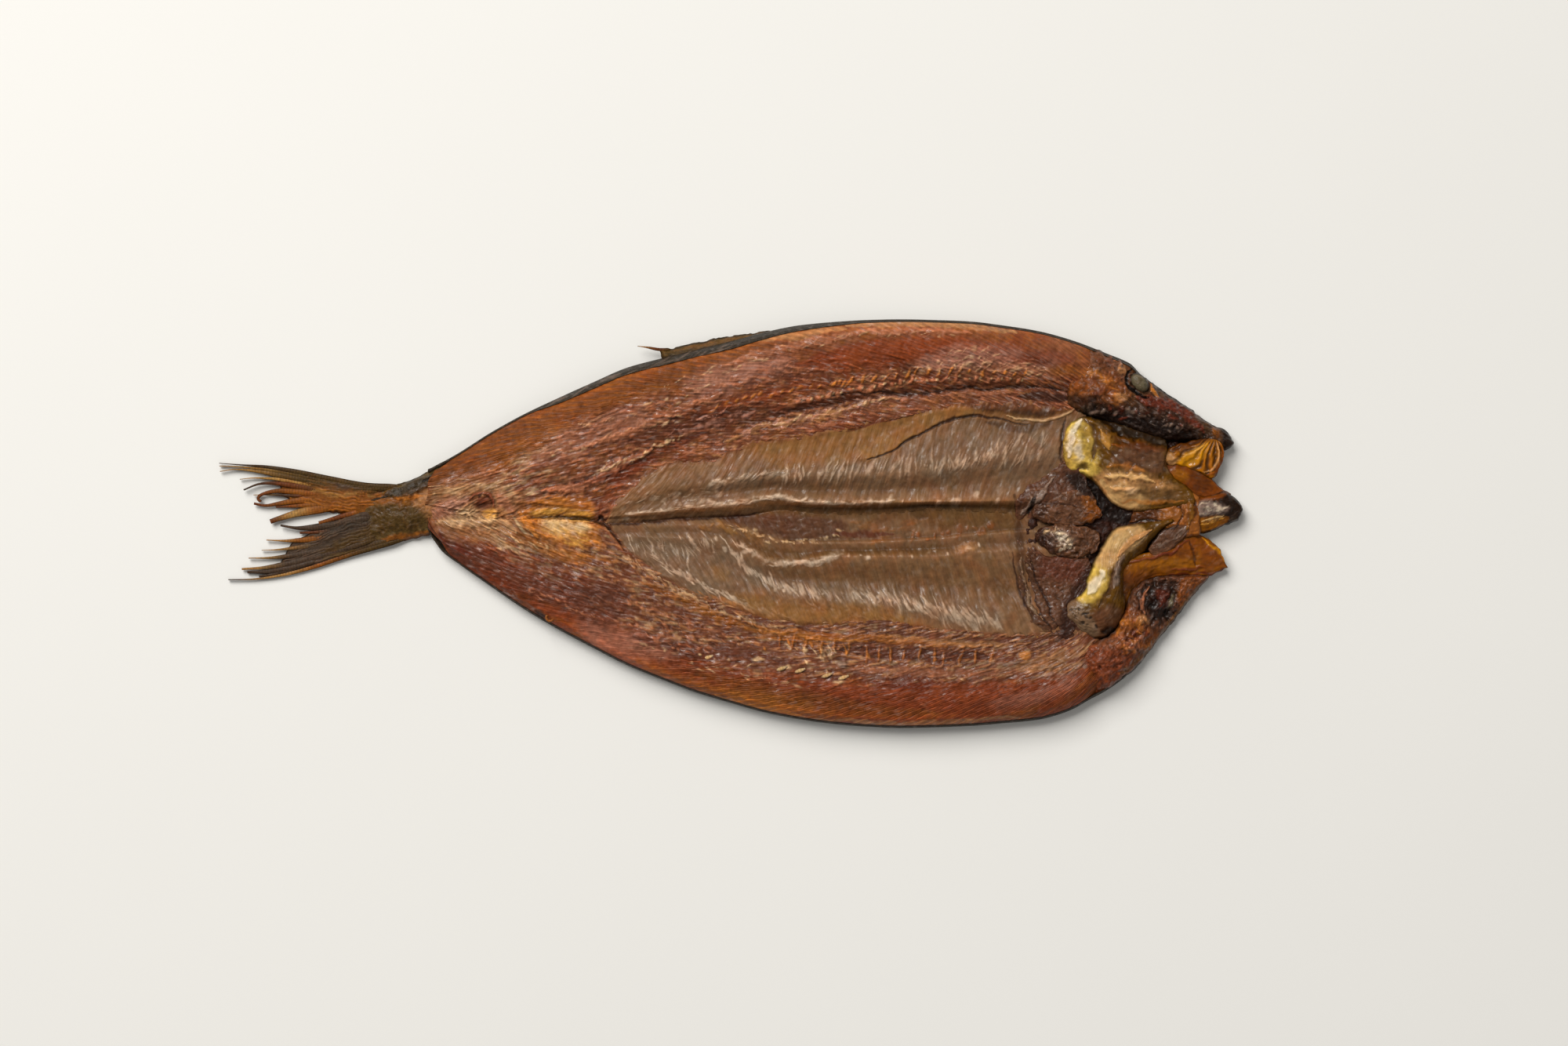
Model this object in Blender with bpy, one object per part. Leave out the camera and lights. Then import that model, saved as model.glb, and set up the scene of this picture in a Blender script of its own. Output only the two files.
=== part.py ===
"""A whole smoked herring, split along its back and opened flat with the flesh side up.

It is one solid, because the real fish is one piece: two fillets that meet at the belly crease,
the halved head with its gill covers and jaws, the tail stock with its frayed fin, and the fin of
the back. Metres, +Z up, +X towards the snout, +Y towards the fillet that keeps the back fin. The
origin lies under the middle of the fish, on the surface that it rests on.
"""

import math

import bmesh
import bpy
import numpy as np
from mathutils import Matrix, Vector

MM = 0.001

# Driving dimensions, in millimetres.
LENGTH = 300.0
HALF_WIDTH = 59.5
TAIL_END = -LENGTH / 2
SNOUT_END = LENGTH / 2
FILLET_START = -89.0
FILLET_END = 128.0
CREST_HEIGHT = 11.0
RIM_HEIGHT = 4.6
RIM_UNDERSIDE = 2.6
FIN_THICKNESS = 1.1
MOUTH_SKIN_THICKNESS = 1.5
# The head, jaws and tail stock hang this far clear of the surface that the fillets lie on.
CLEARANCE = 0.35

# The rim of each fillet, as (distance along the fish, distance from its axis).
BACK_RIM = (
    (-89, 15.0), (-80, 20.0), (-60, 31.8), (-40, 41.0), (-20, 48.0), (0, 52.6), (20, 57.6),
    (35, 59.0), (50, HALF_WIDTH), (65, 59.0), (80, 57.6), (100, 53.0), (110, 48.0), (120, 37.0),
    (128, 21.0),
)
FRONT_RIM = (
    (-89, -1.5), (-84, -8.0), (-70, -18.0), (-50, -30.7), (-30, -41.3), (-10, -49.0), (20, -56.6),
    (35, -58.8), (50, -HALF_WIDTH), (65, -59.1), (85, -57.8), (100, -53.6), (110, -46.8),
    (120, -33.0), (128, -14.0),
)
# The belly crease where the fillets meet, and the border of the belly lining on each of them.
CREASE = ((-89, 5.0), (-65, 1.5), (-36, -0.5), (0, 1.6), (15, 3.0), (60, 1.0), (128, 3.0))
BACK_LINING = (
    (-89, 11.0), (-36, 6.0), (-20, 18.5), (10, 27.0), (50, 38.0), (80, 39.5), (105, 33.0), (128, 14.0),
)
FRONT_LINING = (
    (-89, 1.5), (-36, -5.0), (-20, -17.0), (0, -25.0), (20, -30.5), (60, -33.0), (105, -29.0),
    (128, -7.0),
)

# Height of the flesh across one fillet, as (share of the way to the rim, height), where the belly
# was opened and towards the tail, where the fillet is all muscle.
OPENED_PROFILE = (
    (0.0, 3.4), (0.1, 5.8), (0.3, 5.0), (0.5, 6.0), (0.6, 6.6), (0.68, 7.6), (0.8, CREST_HEIGHT),
    (0.88, 10.4), (0.95, 8.0), (1.0, RIM_HEIGHT),
)
SOLID_PROFILE = (
    (0.0, 5.4), (0.1, 6.4), (0.3, 8.2), (0.5, 9.4), (0.68, 9.6), (0.8, 9.0), (0.88, 8.0),
    (0.95, 6.2), (1.0, RIM_HEIGHT),
)
BORDER_SHARE = 0.6
BELLY_OPENS = (-48.0, -26.0)
# Thickness along the fish, as a share of the profile's height.
BULK = ((-89, 0.68), (-70, 0.86), (-40, 1.0), (60, 1.0), (95, 0.92), (112, 0.8), (128, 0.42))
FILLET_STATIONS = 46
ACROSS = 16

# The tips of the tail fin's rays from the back to the front, each with the cleft before the next
# tip. A width is half of the tip's own.
TAIL_TIPS = (
    ((-149.0, 17.5), 0.35, (-139.0, 16.9)),
    ((TAIL_END, 16.6), 0.35, (-137.0, 16.2)),
    ((-148.0, 15.3), 0.5, (-136.0, 13.9)),
    ((-143.0, 13.2), 0.35, (-136.0, 12.9)),
    ((-142.0, 10.3), 0.5, (-133.0, 10.6)),
    ((-139.0, 8.1), 0.6, (-129.0, 7.7)),
    ((-139.5, 5.7), 0.7, (-126.0, 5.0)),
    ((-134.5, 0.6), 0.8, (-117.0, 2.2)),
    ((-120.0, 0.2), 0.5, (-119.0, -0.3)),
    ((-131.5, -0.8), 0.5, (-124.5, -3.6)),
    ((-135.8, -4.8), 0.5, (-126.0, -6.2)),
    ((-137.0, -7.7), 0.4, (-128.0, -8.2)),
    ((-141.0, -10.1), 0.5, (-131.0, -11.4)),
    ((-143.0, -13.3), 0.8, (-137.0, -15.0)),
    ((-147.0, -16.5), 0.4, None),
)
TAIL_BACK_EDGE = ((-98.0, 10.8), (-106.0, 11.1), (-116.0, 13.0), (-130.0, 16.3), (-139.0, 17.4))
TAIL_FRONT_EDGE = ((-138.0, -16.8), (-130.0, -15.2), (-116.0, -11.4), (-104.0, -8.2), (-98.0, -6.4))
BACK_FIN = (
    (-21.0, 46.0), (-19.8, 49.0), (-21.5, 50.6), (-27.0, 51.9), (-20.0, 51.5), (-14.0, 52.2),
    (-8.0, 53.6), (2.0, 55.2), (12.0, 56.8), (18.0, 57.2), (16.0, 54.0),
)
FIN_BASE_HEIGHT = 1.4


def smooth_line(knots):
    """A function through the knots (x, y): a cubic Hermite curve whose slopes are those of its
    neighbouring knots."""
    xs, ys = np.array(knots, float).T
    slopes = np.gradient(ys, xs)

    def at(x):
        x = np.clip(x, xs[0], xs[-1])
        i = np.clip(np.searchsorted(xs, x) - 1, 0, len(xs) - 2)
        width = xs[i + 1] - xs[i]
        t = (x - xs[i]) / width
        rise = 3 * t**2 - 2 * t**3
        lead = (t**3 - 2 * t**2 + t) * width * slopes[i]
        trail = (t**3 - t**2) * width * slopes[i + 1]
        return ys[i] + (ys[i + 1] - ys[i]) * rise + lead + trail

    return at


def smoothstep(low, high, x):
    t = min(max((x - low) / (high - low), 0.0), 1.0)
    return t * t * (3 - 2 * t)


def clear_scene():
    for obj in list(bpy.data.objects):
        bpy.data.objects.remove(obj)


def new_collection(name):
    found = bpy.data.collections.new(name)
    bpy.context.scene.collection.children.link(found)
    return found


def mesh_object(name, mesh, collection):
    obj = bpy.data.objects.new(name, mesh)
    collection.objects.link(obj)
    return obj


def loft(name, rings, collection):
    """A closed solid through rings of equal count, each a list of points in millimetres, with a
    flat cap on the first and the last."""
    bm = bmesh.new()
    made = [[bm.verts.new(Vector(p) * MM) for p in ring] for ring in rings]
    count = len(made[0])
    for near, far in zip(made, made[1:]):
        for i in range(count):
            j = (i + 1) % count
            bm.faces.new((near[i], near[j], far[j], far[i]))
    bm.faces.new(made[0])
    bm.faces.new(made[-1])
    bmesh.ops.recalc_face_normals(bm, faces=bm.faces)
    mesh = bpy.data.meshes.new(name)
    bm.to_mesh(mesh)
    bm.free()
    return mesh_object(name, mesh, collection)


def fillets(collection):
    """Both fillets as one loft along the fish: a flat underside that rises to the rims, and the
    flesh profile over it, stretched so that the lining's border falls on its own line."""
    back_rim, front_rim = smooth_line(BACK_RIM), smooth_line(FRONT_RIM)
    crease, bulk = smooth_line(CREASE), smooth_line(BULK)
    linings = {1: smooth_line(BACK_LINING), -1: smooth_line(FRONT_LINING)}
    opened, solid = smooth_line(OPENED_PROFILE), smooth_line(SOLID_PROFILE)

    def top_half(x, side):
        """Points from beside the crease to the rim."""
        middle, border = crease(x), linings[side](x)
        rim = back_rim(x) if side > 0 else front_rim(x)
        share = np.arange(1, ACROSS + 1) / ACROSS
        at_border = np.array([(0, middle), (BORDER_SHARE, border), (1, rim)])
        across = np.interp(share, at_border[:, 0], at_border[:, 1])
        openness = smoothstep(*BELLY_OPENS, x)
        height = opened(share) * openness + solid(share) * (1 - openness)
        height = np.maximum(height * bulk(x), RIM_UNDERSIDE + 0.6)
        return [(x, y, z) for y, z in zip(across, height)]

    def ring(x):
        openness = smoothstep(*BELLY_OPENS, x)
        middle = crease(x)
        depth = (opened(0.0) * openness + solid(0.0) * (1 - openness)) * bulk(x)
        back, front = top_half(x, 1), top_half(x, -1)
        top = front[::-1] + [(x, middle, depth)] + back
        underside = []
        for share, height in ((0.97, RIM_UNDERSIDE), (0.9, 0.8), (0.8, 0.0), (0.35, 0.0)):
            underside.append((x, middle + (back[-1][1] - middle) * share, height))
        for share, height in ((0.0, 0.0), (0.35, 0.0), (0.8, 0.0), (0.9, 0.8), (0.97, RIM_UNDERSIDE)):
            underside.append((x, middle + (front[-1][1] - middle) * share, height))
        return top + underside

    stations = np.linspace(FILLET_START, FILLET_END, FILLET_STATIONS)
    return loft("fillets", [ring(x) for x in stations], collection)


def lobe(name, stations, collection, sides=12):
    """A loft of flattened round sections across a bent path. A station is (x, y, height of the
    middle, half width, half height)."""
    path = np.array(stations, float)
    along = np.gradient(path[:, :2], axis=0)
    along /= np.linalg.norm(along, axis=1)[:, None]
    rings = []
    for (x, y, z, half_width, half_height), (dx, dy) in zip(path, along):
        ring = []
        for k in range(sides):
            turn = 2 * math.pi * k / sides
            reach = half_width * math.cos(turn)
            height = max(z + half_height * math.sin(turn), CLEARANCE)
            ring.append((x - dy * reach, y + dx * reach, height))
        rings.append(ring)
    return loft(name, rings, collection)


def head_half(name, stations, collection):
    """One half of the skull: sections across the fish with a flat base and a rounded top. A
    station is (x, inner edge, outer edge, height)."""
    shape = ((0, 0.25), (0.12, 0.7), (0.35, 1.0), (0.65, 0.95), (0.88, 0.7), (1, 0.4), (0.92, 0.12))
    rings = []
    for x, inner, outer, height in stations:
        ring = [(x, inner + (outer - inner) * share, height * rise) for share, rise in shape]
        ring += [(x, inner + (outer - inner) * share, CLEARANCE) for share in (0.75, 0.15)]
        rings.append(ring)
    return loft(name, rings, collection)


def plate(name, outline, low, thickness, collection):
    """A thin flat piece cut to an outline: a filled 2D curve, extruded both ways, made a mesh."""
    curve = bpy.data.curves.new(name, "CURVE")
    curve.dimensions = "2D"
    curve.fill_mode = "BOTH"
    curve.extrude = thickness / 2 * MM
    spline = curve.splines.new("POLY")
    spline.points.add(len(outline) - 1)
    for point, (x, y) in zip(spline.points, outline):
        point.co = (x * MM, y * MM, 0.0, 1.0)
    spline.use_cyclic_u = True
    guide = mesh_object(name + "_outline", curve, collection)
    guide.location.z = (low + thickness / 2) * MM
    bpy.context.view_layer.update()
    graph = bpy.context.evaluated_depsgraph_get()
    mesh = bpy.data.meshes.new_from_object(guide.evaluated_get(graph))
    mesh.transform(guide.matrix_world)
    bpy.data.objects.remove(guide)
    bm = bmesh.new()
    bm.from_mesh(mesh)
    bmesh.ops.remove_doubles(bm, verts=bm.verts, dist=1e-6)
    bmesh.ops.recalc_face_normals(bm, faces=bm.faces)
    bm.to_mesh(mesh)
    bm.free()
    return mesh_object(name, mesh, collection)


def ellipsoid(name, centre, radii, collection):
    mesh = bpy.data.meshes.new(name)
    bm = bmesh.new()
    place = Matrix.Translation(Vector(centre) * MM) @ Matrix.Diagonal((*(r * MM for r in radii), 1.0))
    bmesh.ops.create_uvsphere(bm, u_segments=16, v_segments=10, radius=1.0, matrix=place)
    bm.to_mesh(mesh)
    bm.free()
    return mesh_object(name, mesh, collection)


def tail_fin(collection):
    """The fin's outline: its back edge, each ray's tip with the cleft after it, its front edge."""
    outline = list(TAIL_BACK_EDGE)
    for (x, y), half_width, cleft in TAIL_TIPS:
        outline += [(x, y + half_width), (x, y - half_width)]
        if cleft:
            outline.append(cleft)
    outline += TAIL_FRONT_EDGE
    return plate("tail_fin", outline, 0.0, FIN_THICKNESS, collection)


def tail_stock(collection):
    """The unsplit stalk between the fillets and the tail fin, which twists as it dries."""
    stations = (
        (-76.0, 4.4, 2.6, 5.0, 1.2), (-88.0, 5.2, 3.0, 9.2, 3.2), (-94.0, 3.9, 3.0, 8.9, 3.0),
        (-100.0, 2.1, 2.0, 9.2, 2.0), (-106.0, 1.4, 1.2, 10.0, 1.2), (-114.0, 1.0, 0.7, 11.6, 0.65),
    )
    return lobe("tail_stock", stations, collection)


def halved_head(collection):
    """Both halves of the skull, the back one with the eye."""
    back = head_half(
        "back_skull",
        (
            (93.0, 37.0, 50.0, 6.0), (102.0, 33.6, 51.6, 9.8), (110.0, 31.0, 49.4, 10.6),
            (116.0, 30.0, 47.0, 10.4), (122.0, 28.0, 42.2, 9.6), (130.0, 25.6, 36.6, 8.4),
            (138.0, 23.6, 31.4, 7.0), (143.0, 21.8, 28.0, 6.2), (146.4, 21.6, 26.2, 5.0),
        ),
        collection,
    )
    front = head_half(
        "front_skull",
        (
            (93.0, -37.0, -50.0, 6.0), (102.0, -35.0, -52.0, 9.2), (110.0, -30.0, -48.4, 10.0),
            (116.0, -20.0, -44.2, 9.8), (122.0, -17.0, -38.4, 9.2), (128.0, -15.6, -30.4, 8.0),
            (134.0, -14.8, -22.8, 6.4), (138.6, -14.2, -17.2, 4.6),
        ),
        collection,
    )
    eye = ellipsoid("eye", (119.0, 41.0, 8.6), (3.9, 2.7, 2.4), collection)
    return [back, front, eye]


def gill_covers(collection):
    """The two gill covers, folded inwards, which meet in a V behind the lower jaw."""
    back = lobe(
        "back_gill_cover",
        (
            (97.4, 23.0, 5.0, 5.0, 3.6), (100.0, 22.0, 6.0, 8.4, 5.6), (107.0, 18.0, 6.6, 9.6, 6.2),
            (115.0, 12.6, 6.4, 8.6, 5.6), (123.0, 9.2, 5.8, 6.6, 4.8), (133.0, 6.4, 5.4, 3.4, 3.6),
        ),
        collection,
    )
    front = lobe(
        "front_gill_cover",
        (
            (101.2, -29.6, 4.0, 2.6, 3.0), (103.0, -26.0, 5.4, 4.6, 5.0), (107.0, -18.6, 6.2, 5.0, 5.8),
            (111.0, -11.6, 6.2, 5.6, 5.5), (118.0, -4.6, 6.0, 6.2, 4.9), (126.0, -0.4, 5.5, 4.6, 4.3),
            (133.4, 2.7, 5.1, 3.2, 3.3),
        ),
        collection,
    )
    return [back, front]


def mouth_skins(collection):
    """The stretched skin of the mouth's floor, on either side of the lower jaw."""
    back = plate(
        "back_mouth_skin",
        (
            (112.6, 11.0), (112.6, 31.6), (140.0, 26.0), (144.0, 20.5), (143.6, 17.4), (141.2, 14.0),
            (136.0, 12.0),
        ),
        2.15,
        MOUTH_SKIN_THICKNESS,
        collection,
    )
    front = plate(
        "front_mouth_skin",
        (
            (113.4, -1.0), (113.4, -21.0), (134.0, -17.0), (140.2, -15.0), (144.6, -13.6),
            (145.2, -11.8), (142.6, -7.2), (137.6, -4.2), (132.0, -1.0),
        ),
        1.3,
        MOUTH_SKIN_THICKNESS,
        collection,
    )
    return [back, front]


def jaw_and_heart(collection):
    """The lower jaw, and the heart's two lobes in the gap behind the gill covers."""
    jaw = lobe(
        "lower_jaw",
        (
            (124.0, 5.4, 3.0, 9.0, 3.2), (132.0, 6.4, 3.4, 8.8, 3.6), (138.0, 5.9, 3.8, 8.2, 4.0),
            (143.0, 5.0, 4.2, 5.6, 4.0), (147.0, 4.2, 4.2, 3.8, 3.2), (SNOUT_END, 4.2, 4.0, 1.2, 1.6),
        ),
        collection,
    )
    heart = [
        ellipsoid("heart_back_lobe", (98.0, 3.6, 4.4), (9.6, 6.6, 3.6), collection),
        ellipsoid("heart_front_lobe", (99.0, -5.0, 4.8), (9.2, 5.6, 4.2), collection),
    ]
    return [jaw, *heart]


def smoked_skin_material():
    """Cold-smoked flesh and skin: a red brown with an oily shine."""
    material = bpy.data.materials.new("smoked_flesh")
    material.use_nodes = True
    shader = material.node_tree.nodes["Principled BSDF"]
    shader.inputs["Base Color"].default_value = (0.22, 0.08, 0.035, 1.0)
    shader.inputs["Roughness"].default_value = 0.36
    shader.inputs["Metallic"].default_value = 0.0
    return material


def smoked_herring():
    """Joins every form into one closed body."""
    fish = new_collection("smoked_herring")
    forms = new_collection("joined_forms")
    body = fillets(fish)
    body.name = "smoked_herring"
    joined = [tail_stock(forms), tail_fin(forms)]
    joined.append(plate("back_fin", BACK_FIN, FIN_BASE_HEIGHT, FIN_THICKNESS * 2, forms))
    joined += mouth_skins(forms) + halved_head(forms) + gill_covers(forms) + jaw_and_heart(forms)
    for form in joined:
        form.hide_render = True
        form.display_type = "WIRE"
        union = body.modifiers.new("join_" + form.name, "BOOLEAN")
        union.operation = "UNION"
        union.object = form
    body.data.materials.append(smoked_skin_material())
    return body


clear_scene()
smoked_herring()
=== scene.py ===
"""The looks of a whole smoked herring, split along its back and opened flat, flesh side up.

Every piece is a closed surface worked out on a grid, in millimetres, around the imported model:
+X runs to the snout, +Y to the fillet that keeps the back fin, and the fish rests on z = 0.
"""

import logging
import math
from dataclasses import KW_ONLY, dataclass
from enum import Enum
from typing import Any, Callable, Optional, Sequence, Union

import bmesh
import bpy
import numpy as np
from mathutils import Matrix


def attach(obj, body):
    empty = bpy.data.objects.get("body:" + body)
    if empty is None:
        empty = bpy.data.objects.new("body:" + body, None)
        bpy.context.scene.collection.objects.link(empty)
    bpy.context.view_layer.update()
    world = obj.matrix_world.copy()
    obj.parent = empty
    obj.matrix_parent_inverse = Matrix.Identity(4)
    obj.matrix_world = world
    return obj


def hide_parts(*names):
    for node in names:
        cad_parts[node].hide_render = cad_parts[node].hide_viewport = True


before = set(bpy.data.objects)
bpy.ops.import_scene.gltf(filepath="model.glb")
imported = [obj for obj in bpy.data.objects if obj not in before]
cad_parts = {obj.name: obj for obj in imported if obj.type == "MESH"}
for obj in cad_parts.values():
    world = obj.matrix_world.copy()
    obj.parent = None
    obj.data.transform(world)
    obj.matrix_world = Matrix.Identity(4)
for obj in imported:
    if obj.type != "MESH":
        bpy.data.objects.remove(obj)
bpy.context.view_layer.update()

LOG = logging.getLogger("smoked_herring")
MM = 0.001
Array = np.ndarray
Knots = tuple[tuple[float, float], ...]
Trio = tuple[float, float, float]
Colour = Trio


# ---------------------------------------------------------------- curves, noise and masks


def smoothstep(low: float, high: float, value: Array) -> Array:
    """0 below low and 1 above high, with an S-shaped rise 3t^2 - 2t^3 between them."""
    share = np.clip((value - low) / (high - low), 0.0, 1.0)
    return share * share * (3.0 - 2.0 * share)


def bell(distance: Array, reach: float) -> Array:
    """1 at no distance, falling as a Gaussian to about a third at reach."""
    return np.exp(-((distance / reach) ** 2))


def harmonic(first: Array, second: Array) -> Array:
    """The harmonic mean of two slopes, or 0 where one rises and the other falls."""
    same = first * second > 0
    return np.where(same, 2.0 * first * second / np.where(same, first + second, 1.0), 0.0)


def hermite(t: Array, width: Array, values: Sequence[Array], slopes: Sequence[Array]) -> Array:
    """The cubic from one value to the next over a width, with a slope at either end.

    With t from 0 to 1 it is v0 + (v1 - v0)(3t^2 - 2t^3) + w s0 t(1 - t)^2 + w s1 t^2(t - 1).

    Args:
        t: Share of the width.
        width: The width.
        values: The values at its start and end.
        slopes: The slopes there.

    Returns:
        The values at t.
    """
    rise = t * t * (3.0 - 2.0 * t)
    lead = t * (1.0 - t) ** 2 * width * slopes[0]
    trail = t * t * (t - 1.0) * width * slopes[1]
    return values[0] + (values[1] - values[0]) * rise + lead + trail


@dataclass(frozen=True)
class Line:
    """A value that changes smoothly along the fish.

    Attributes:
        knots: Places along the fish, each with the value there.
    """

    knots: Knots

    def __call__(self, x: Array) -> Array:
        """The value at x: a cubic Hermite curve that never passes its knots.

        Args:
            x: Places along the fish, in millimetres.

        Returns:
            The values, of x's shape.
        """
        places, values = np.array(self.knots, float).T
        secants = np.diff(values) / np.diff(places)
        slopes = np.zeros(len(places))
        slopes[1:-1] = harmonic(secants[:-1], secants[1:])
        x = np.clip(x, places[0], places[-1])
        i = np.clip(np.searchsorted(places, x) - 1, 0, len(places) - 2)
        width = places[i + 1] - places[i]
        ends = (values[i], values[i + 1])
        return hermite((x - places[i]) / width, width, ends, (slopes[i], slopes[i + 1]))


@dataclass(frozen=True)
class Path:
    """A smooth plane curve through points, as a Catmull-Rom spline.

    Attributes:
        points: The points (x, y), in millimetres.
        closed: Whether the curve runs back to its first point.
    """

    points: Knots
    closed: bool = False

    def at(self, share: Array) -> Array:
        """Points on the curve, where 0 is its first knot and 1 its last.

        Args:
            share: Share of the way from knot to knot, from 0 to 1.

        Returns:
            The points (x, y).
        """
        knots = np.array(self.points, float)
        if self.closed:
            knots = np.vstack([knots, knots[:1]])
            padded = np.vstack([knots[-2], knots, knots[1]])
        else:
            padded = np.vstack([2 * knots[0] - knots[1], knots, 2 * knots[-1] - knots[-2]])
        place = np.clip(share, 0.0, 1.0) * (len(knots) - 1)
        i = np.clip(place.astype(int), 0, len(knots) - 2)
        t = (place - i)[..., None]
        a, b, c, d = (padded[i + k] for k in range(4))
        cubic = 3 * (b - c) + d - a
        return b + 0.5 * t * (c - a + t * (2 * a - 5 * b + 4 * c - d + t * cubic))

    def even(self, count: int) -> Array:
        """Points at equal steps of length along the curve.

        Args:
            count: How many points.

        Returns:
            The points (x, y).
        """
        dense = self.at(np.linspace(0.0, 1.0, 12 * len(self.points)))
        steps = np.linalg.norm(np.diff(dense, axis=0), axis=1)
        length = np.concatenate([[0.0], np.cumsum(steps)])
        wanted = np.linspace(0.0, length[-1], count)
        return np.stack([np.interp(wanted, length, column) for column in dense.T], axis=1)

    def length(self) -> float:
        """The curve's length."""
        return float(np.linalg.norm(np.diff(self.even(60), axis=0), axis=1).sum())

    def near(self, x: Array, y: Array, reach: float) -> tuple[Array, Array]:
        """How far each point is from the curve, and where along the curve it is nearest.

        Args:
            x: Places along the fish.
            y: Places across the fish.
            reach: Distance past which the exact value doesn't matter.

        Returns:
            The distances, and the shares of the curve's length at the nearest points.
        """
        line = self.even(5 * len(self.points))
        low, high = line.min(axis=0) - reach, line.max(axis=0) + reach
        close = (x > low[0]) & (x < high[0]) & (y > low[1]) & (y < high[1])
        px, py = x[close], y[close]
        best = np.full(px.shape, (2.0 * reach) ** 2)
        where = np.zeros(px.shape)
        for k, (start, end) in enumerate(zip(line, line[1:])):
            step = end - start
            size = max(step @ step, 1e-9)
            share = ((px - start[0]) * step[0] + (py - start[1]) * step[1]) / size
            share = np.clip(share, 0.0, 1.0)
            gap = (px - start[0] - share * step[0]) ** 2 + (py - start[1] - share * step[1]) ** 2
            closer = gap < best
            best = np.where(closer, gap, best)
            where = np.where(closer, (k + share) / (len(line) - 1), where)
        distance = np.full(x.shape, 2.0 * reach)
        along = np.zeros(x.shape)
        distance[close], along[close] = np.sqrt(best), where
        return distance, along

    def holds(self, x: Array, y: Array) -> Array:
        """Whether each point lies inside the closed curve, by the even-odd rule.

        Args:
            x: Places along the fish.
            y: Places across the fish.

        Returns:
            True for the points inside.
        """
        line = self.even(8 * len(self.points))
        inside = np.zeros(x.shape, bool)
        for (ax, ay), (bx, by) in zip(line, np.roll(line, -1, axis=0)):
            if ay == by:
                continue
            crosses = (ay > y) != (by > y)
            inside ^= crosses & (x < (bx - ax) * (y - ay) / (by - ay) + ax)
        return inside


def lattice(i: Array, j: Array, seed: int) -> Array:
    """A repeatable value from 0 to 1 for each whole-number point (i, j).

    Args:
        i: First whole numbers.
        j: Second whole numbers.
        seed: Seed.

    Returns:
        The values.
    """
    mixed = (i * 374761393 + j * 668265263 + seed * 1442695041) & 0xFFFFFFFF
    mixed = ((mixed ^ (mixed >> 13)) * 1274126177) & 0xFFFFFFFF
    return ((mixed ^ (mixed >> 16)) & 0xFFFF) / 65535.0


def value_noise(x: Array, y: Array, seed: int) -> Array:
    """Noise from -1 to 1 with features one unit wide: lattice values blended by a quintic.

    Args:
        x: First coordinates.
        y: Second coordinates.
        seed: Seed.

    Returns:
        The noise.
    """
    i, j = np.floor(x).astype(np.int64), np.floor(y).astype(np.int64)
    u, v = x - i, y - j
    u = u**3 * (u * (6 * u - 15) + 10)
    v = v**3 * (v * (6 * v - 15) + 10)
    low = lattice(i, j, seed) * (1 - u) + lattice(i + 1, j, seed) * u
    high = lattice(i, j + 1, seed) * (1 - u) + lattice(i + 1, j + 1, seed) * u
    return 2.0 * (low * (1 - v) + high * v) - 1.0


def noise(x: Array, y: Array, size: float, seed: int, octaves: int = 3) -> Array:
    """Fractal noise from about -1 to 1: each octave has half the size and 0.55 of the height.

    Args:
        x: First coordinates.
        y: Second coordinates.
        size: Size of the largest features.
        seed: Seed.
        octaves: How many sizes are added up.

    Returns:
        The noise.
    """
    total, height, weight = np.zeros(np.shape(x)), 1.0, 0.0
    for k in range(octaves):
        scale = 2.0**k / size
        total += height * value_noise(x * scale + 17.3 * k, y * scale - 9.1 * k, seed + k)
        weight += height
        height *= 0.55
    return total / weight


def turned(x: Array, y: Array, degrees: float, stretch: float = 1.0) -> tuple[Array, Array]:
    """Coordinates along and across a direction, with the one along shrunk by stretch."""
    c, s = math.cos(math.radians(degrees)), math.sin(math.radians(degrees))
    return (x * c + y * s) / stretch, y * c - x * s


def averaged(field: Array, rows: int, columns: int) -> Array:
    """The mean of a grid over a box of so many rows and columns on either side of each point.

    Args:
        field: The grid of values.
        rows: Rows on either side.
        columns: Columns on either side.

    Returns:
        The grid of means.
    """
    for axis, reach in ((0, max(1, rows)), (1, max(1, columns))):
        pad = [(0, 0), (0, 0)]
        pad[axis] = (reach + 1, reach)
        total = np.cumsum(np.pad(field, pad, mode="edge"), axis=axis)
        wide = 2 * reach + 1
        if axis == 0:
            field = (total[wide:] - total[:-wide]) / wide
        else:
            field = (total[:, wide:] - total[:, :-wide]) / wide
    return field


def waves(phase: Array) -> Array:
    """From 0 to 1 and back once for each whole number."""
    return 0.5 + 0.5 * np.cos(2.0 * math.pi * phase)


# ---------------------------------------------------------------- colours and finishes


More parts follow.
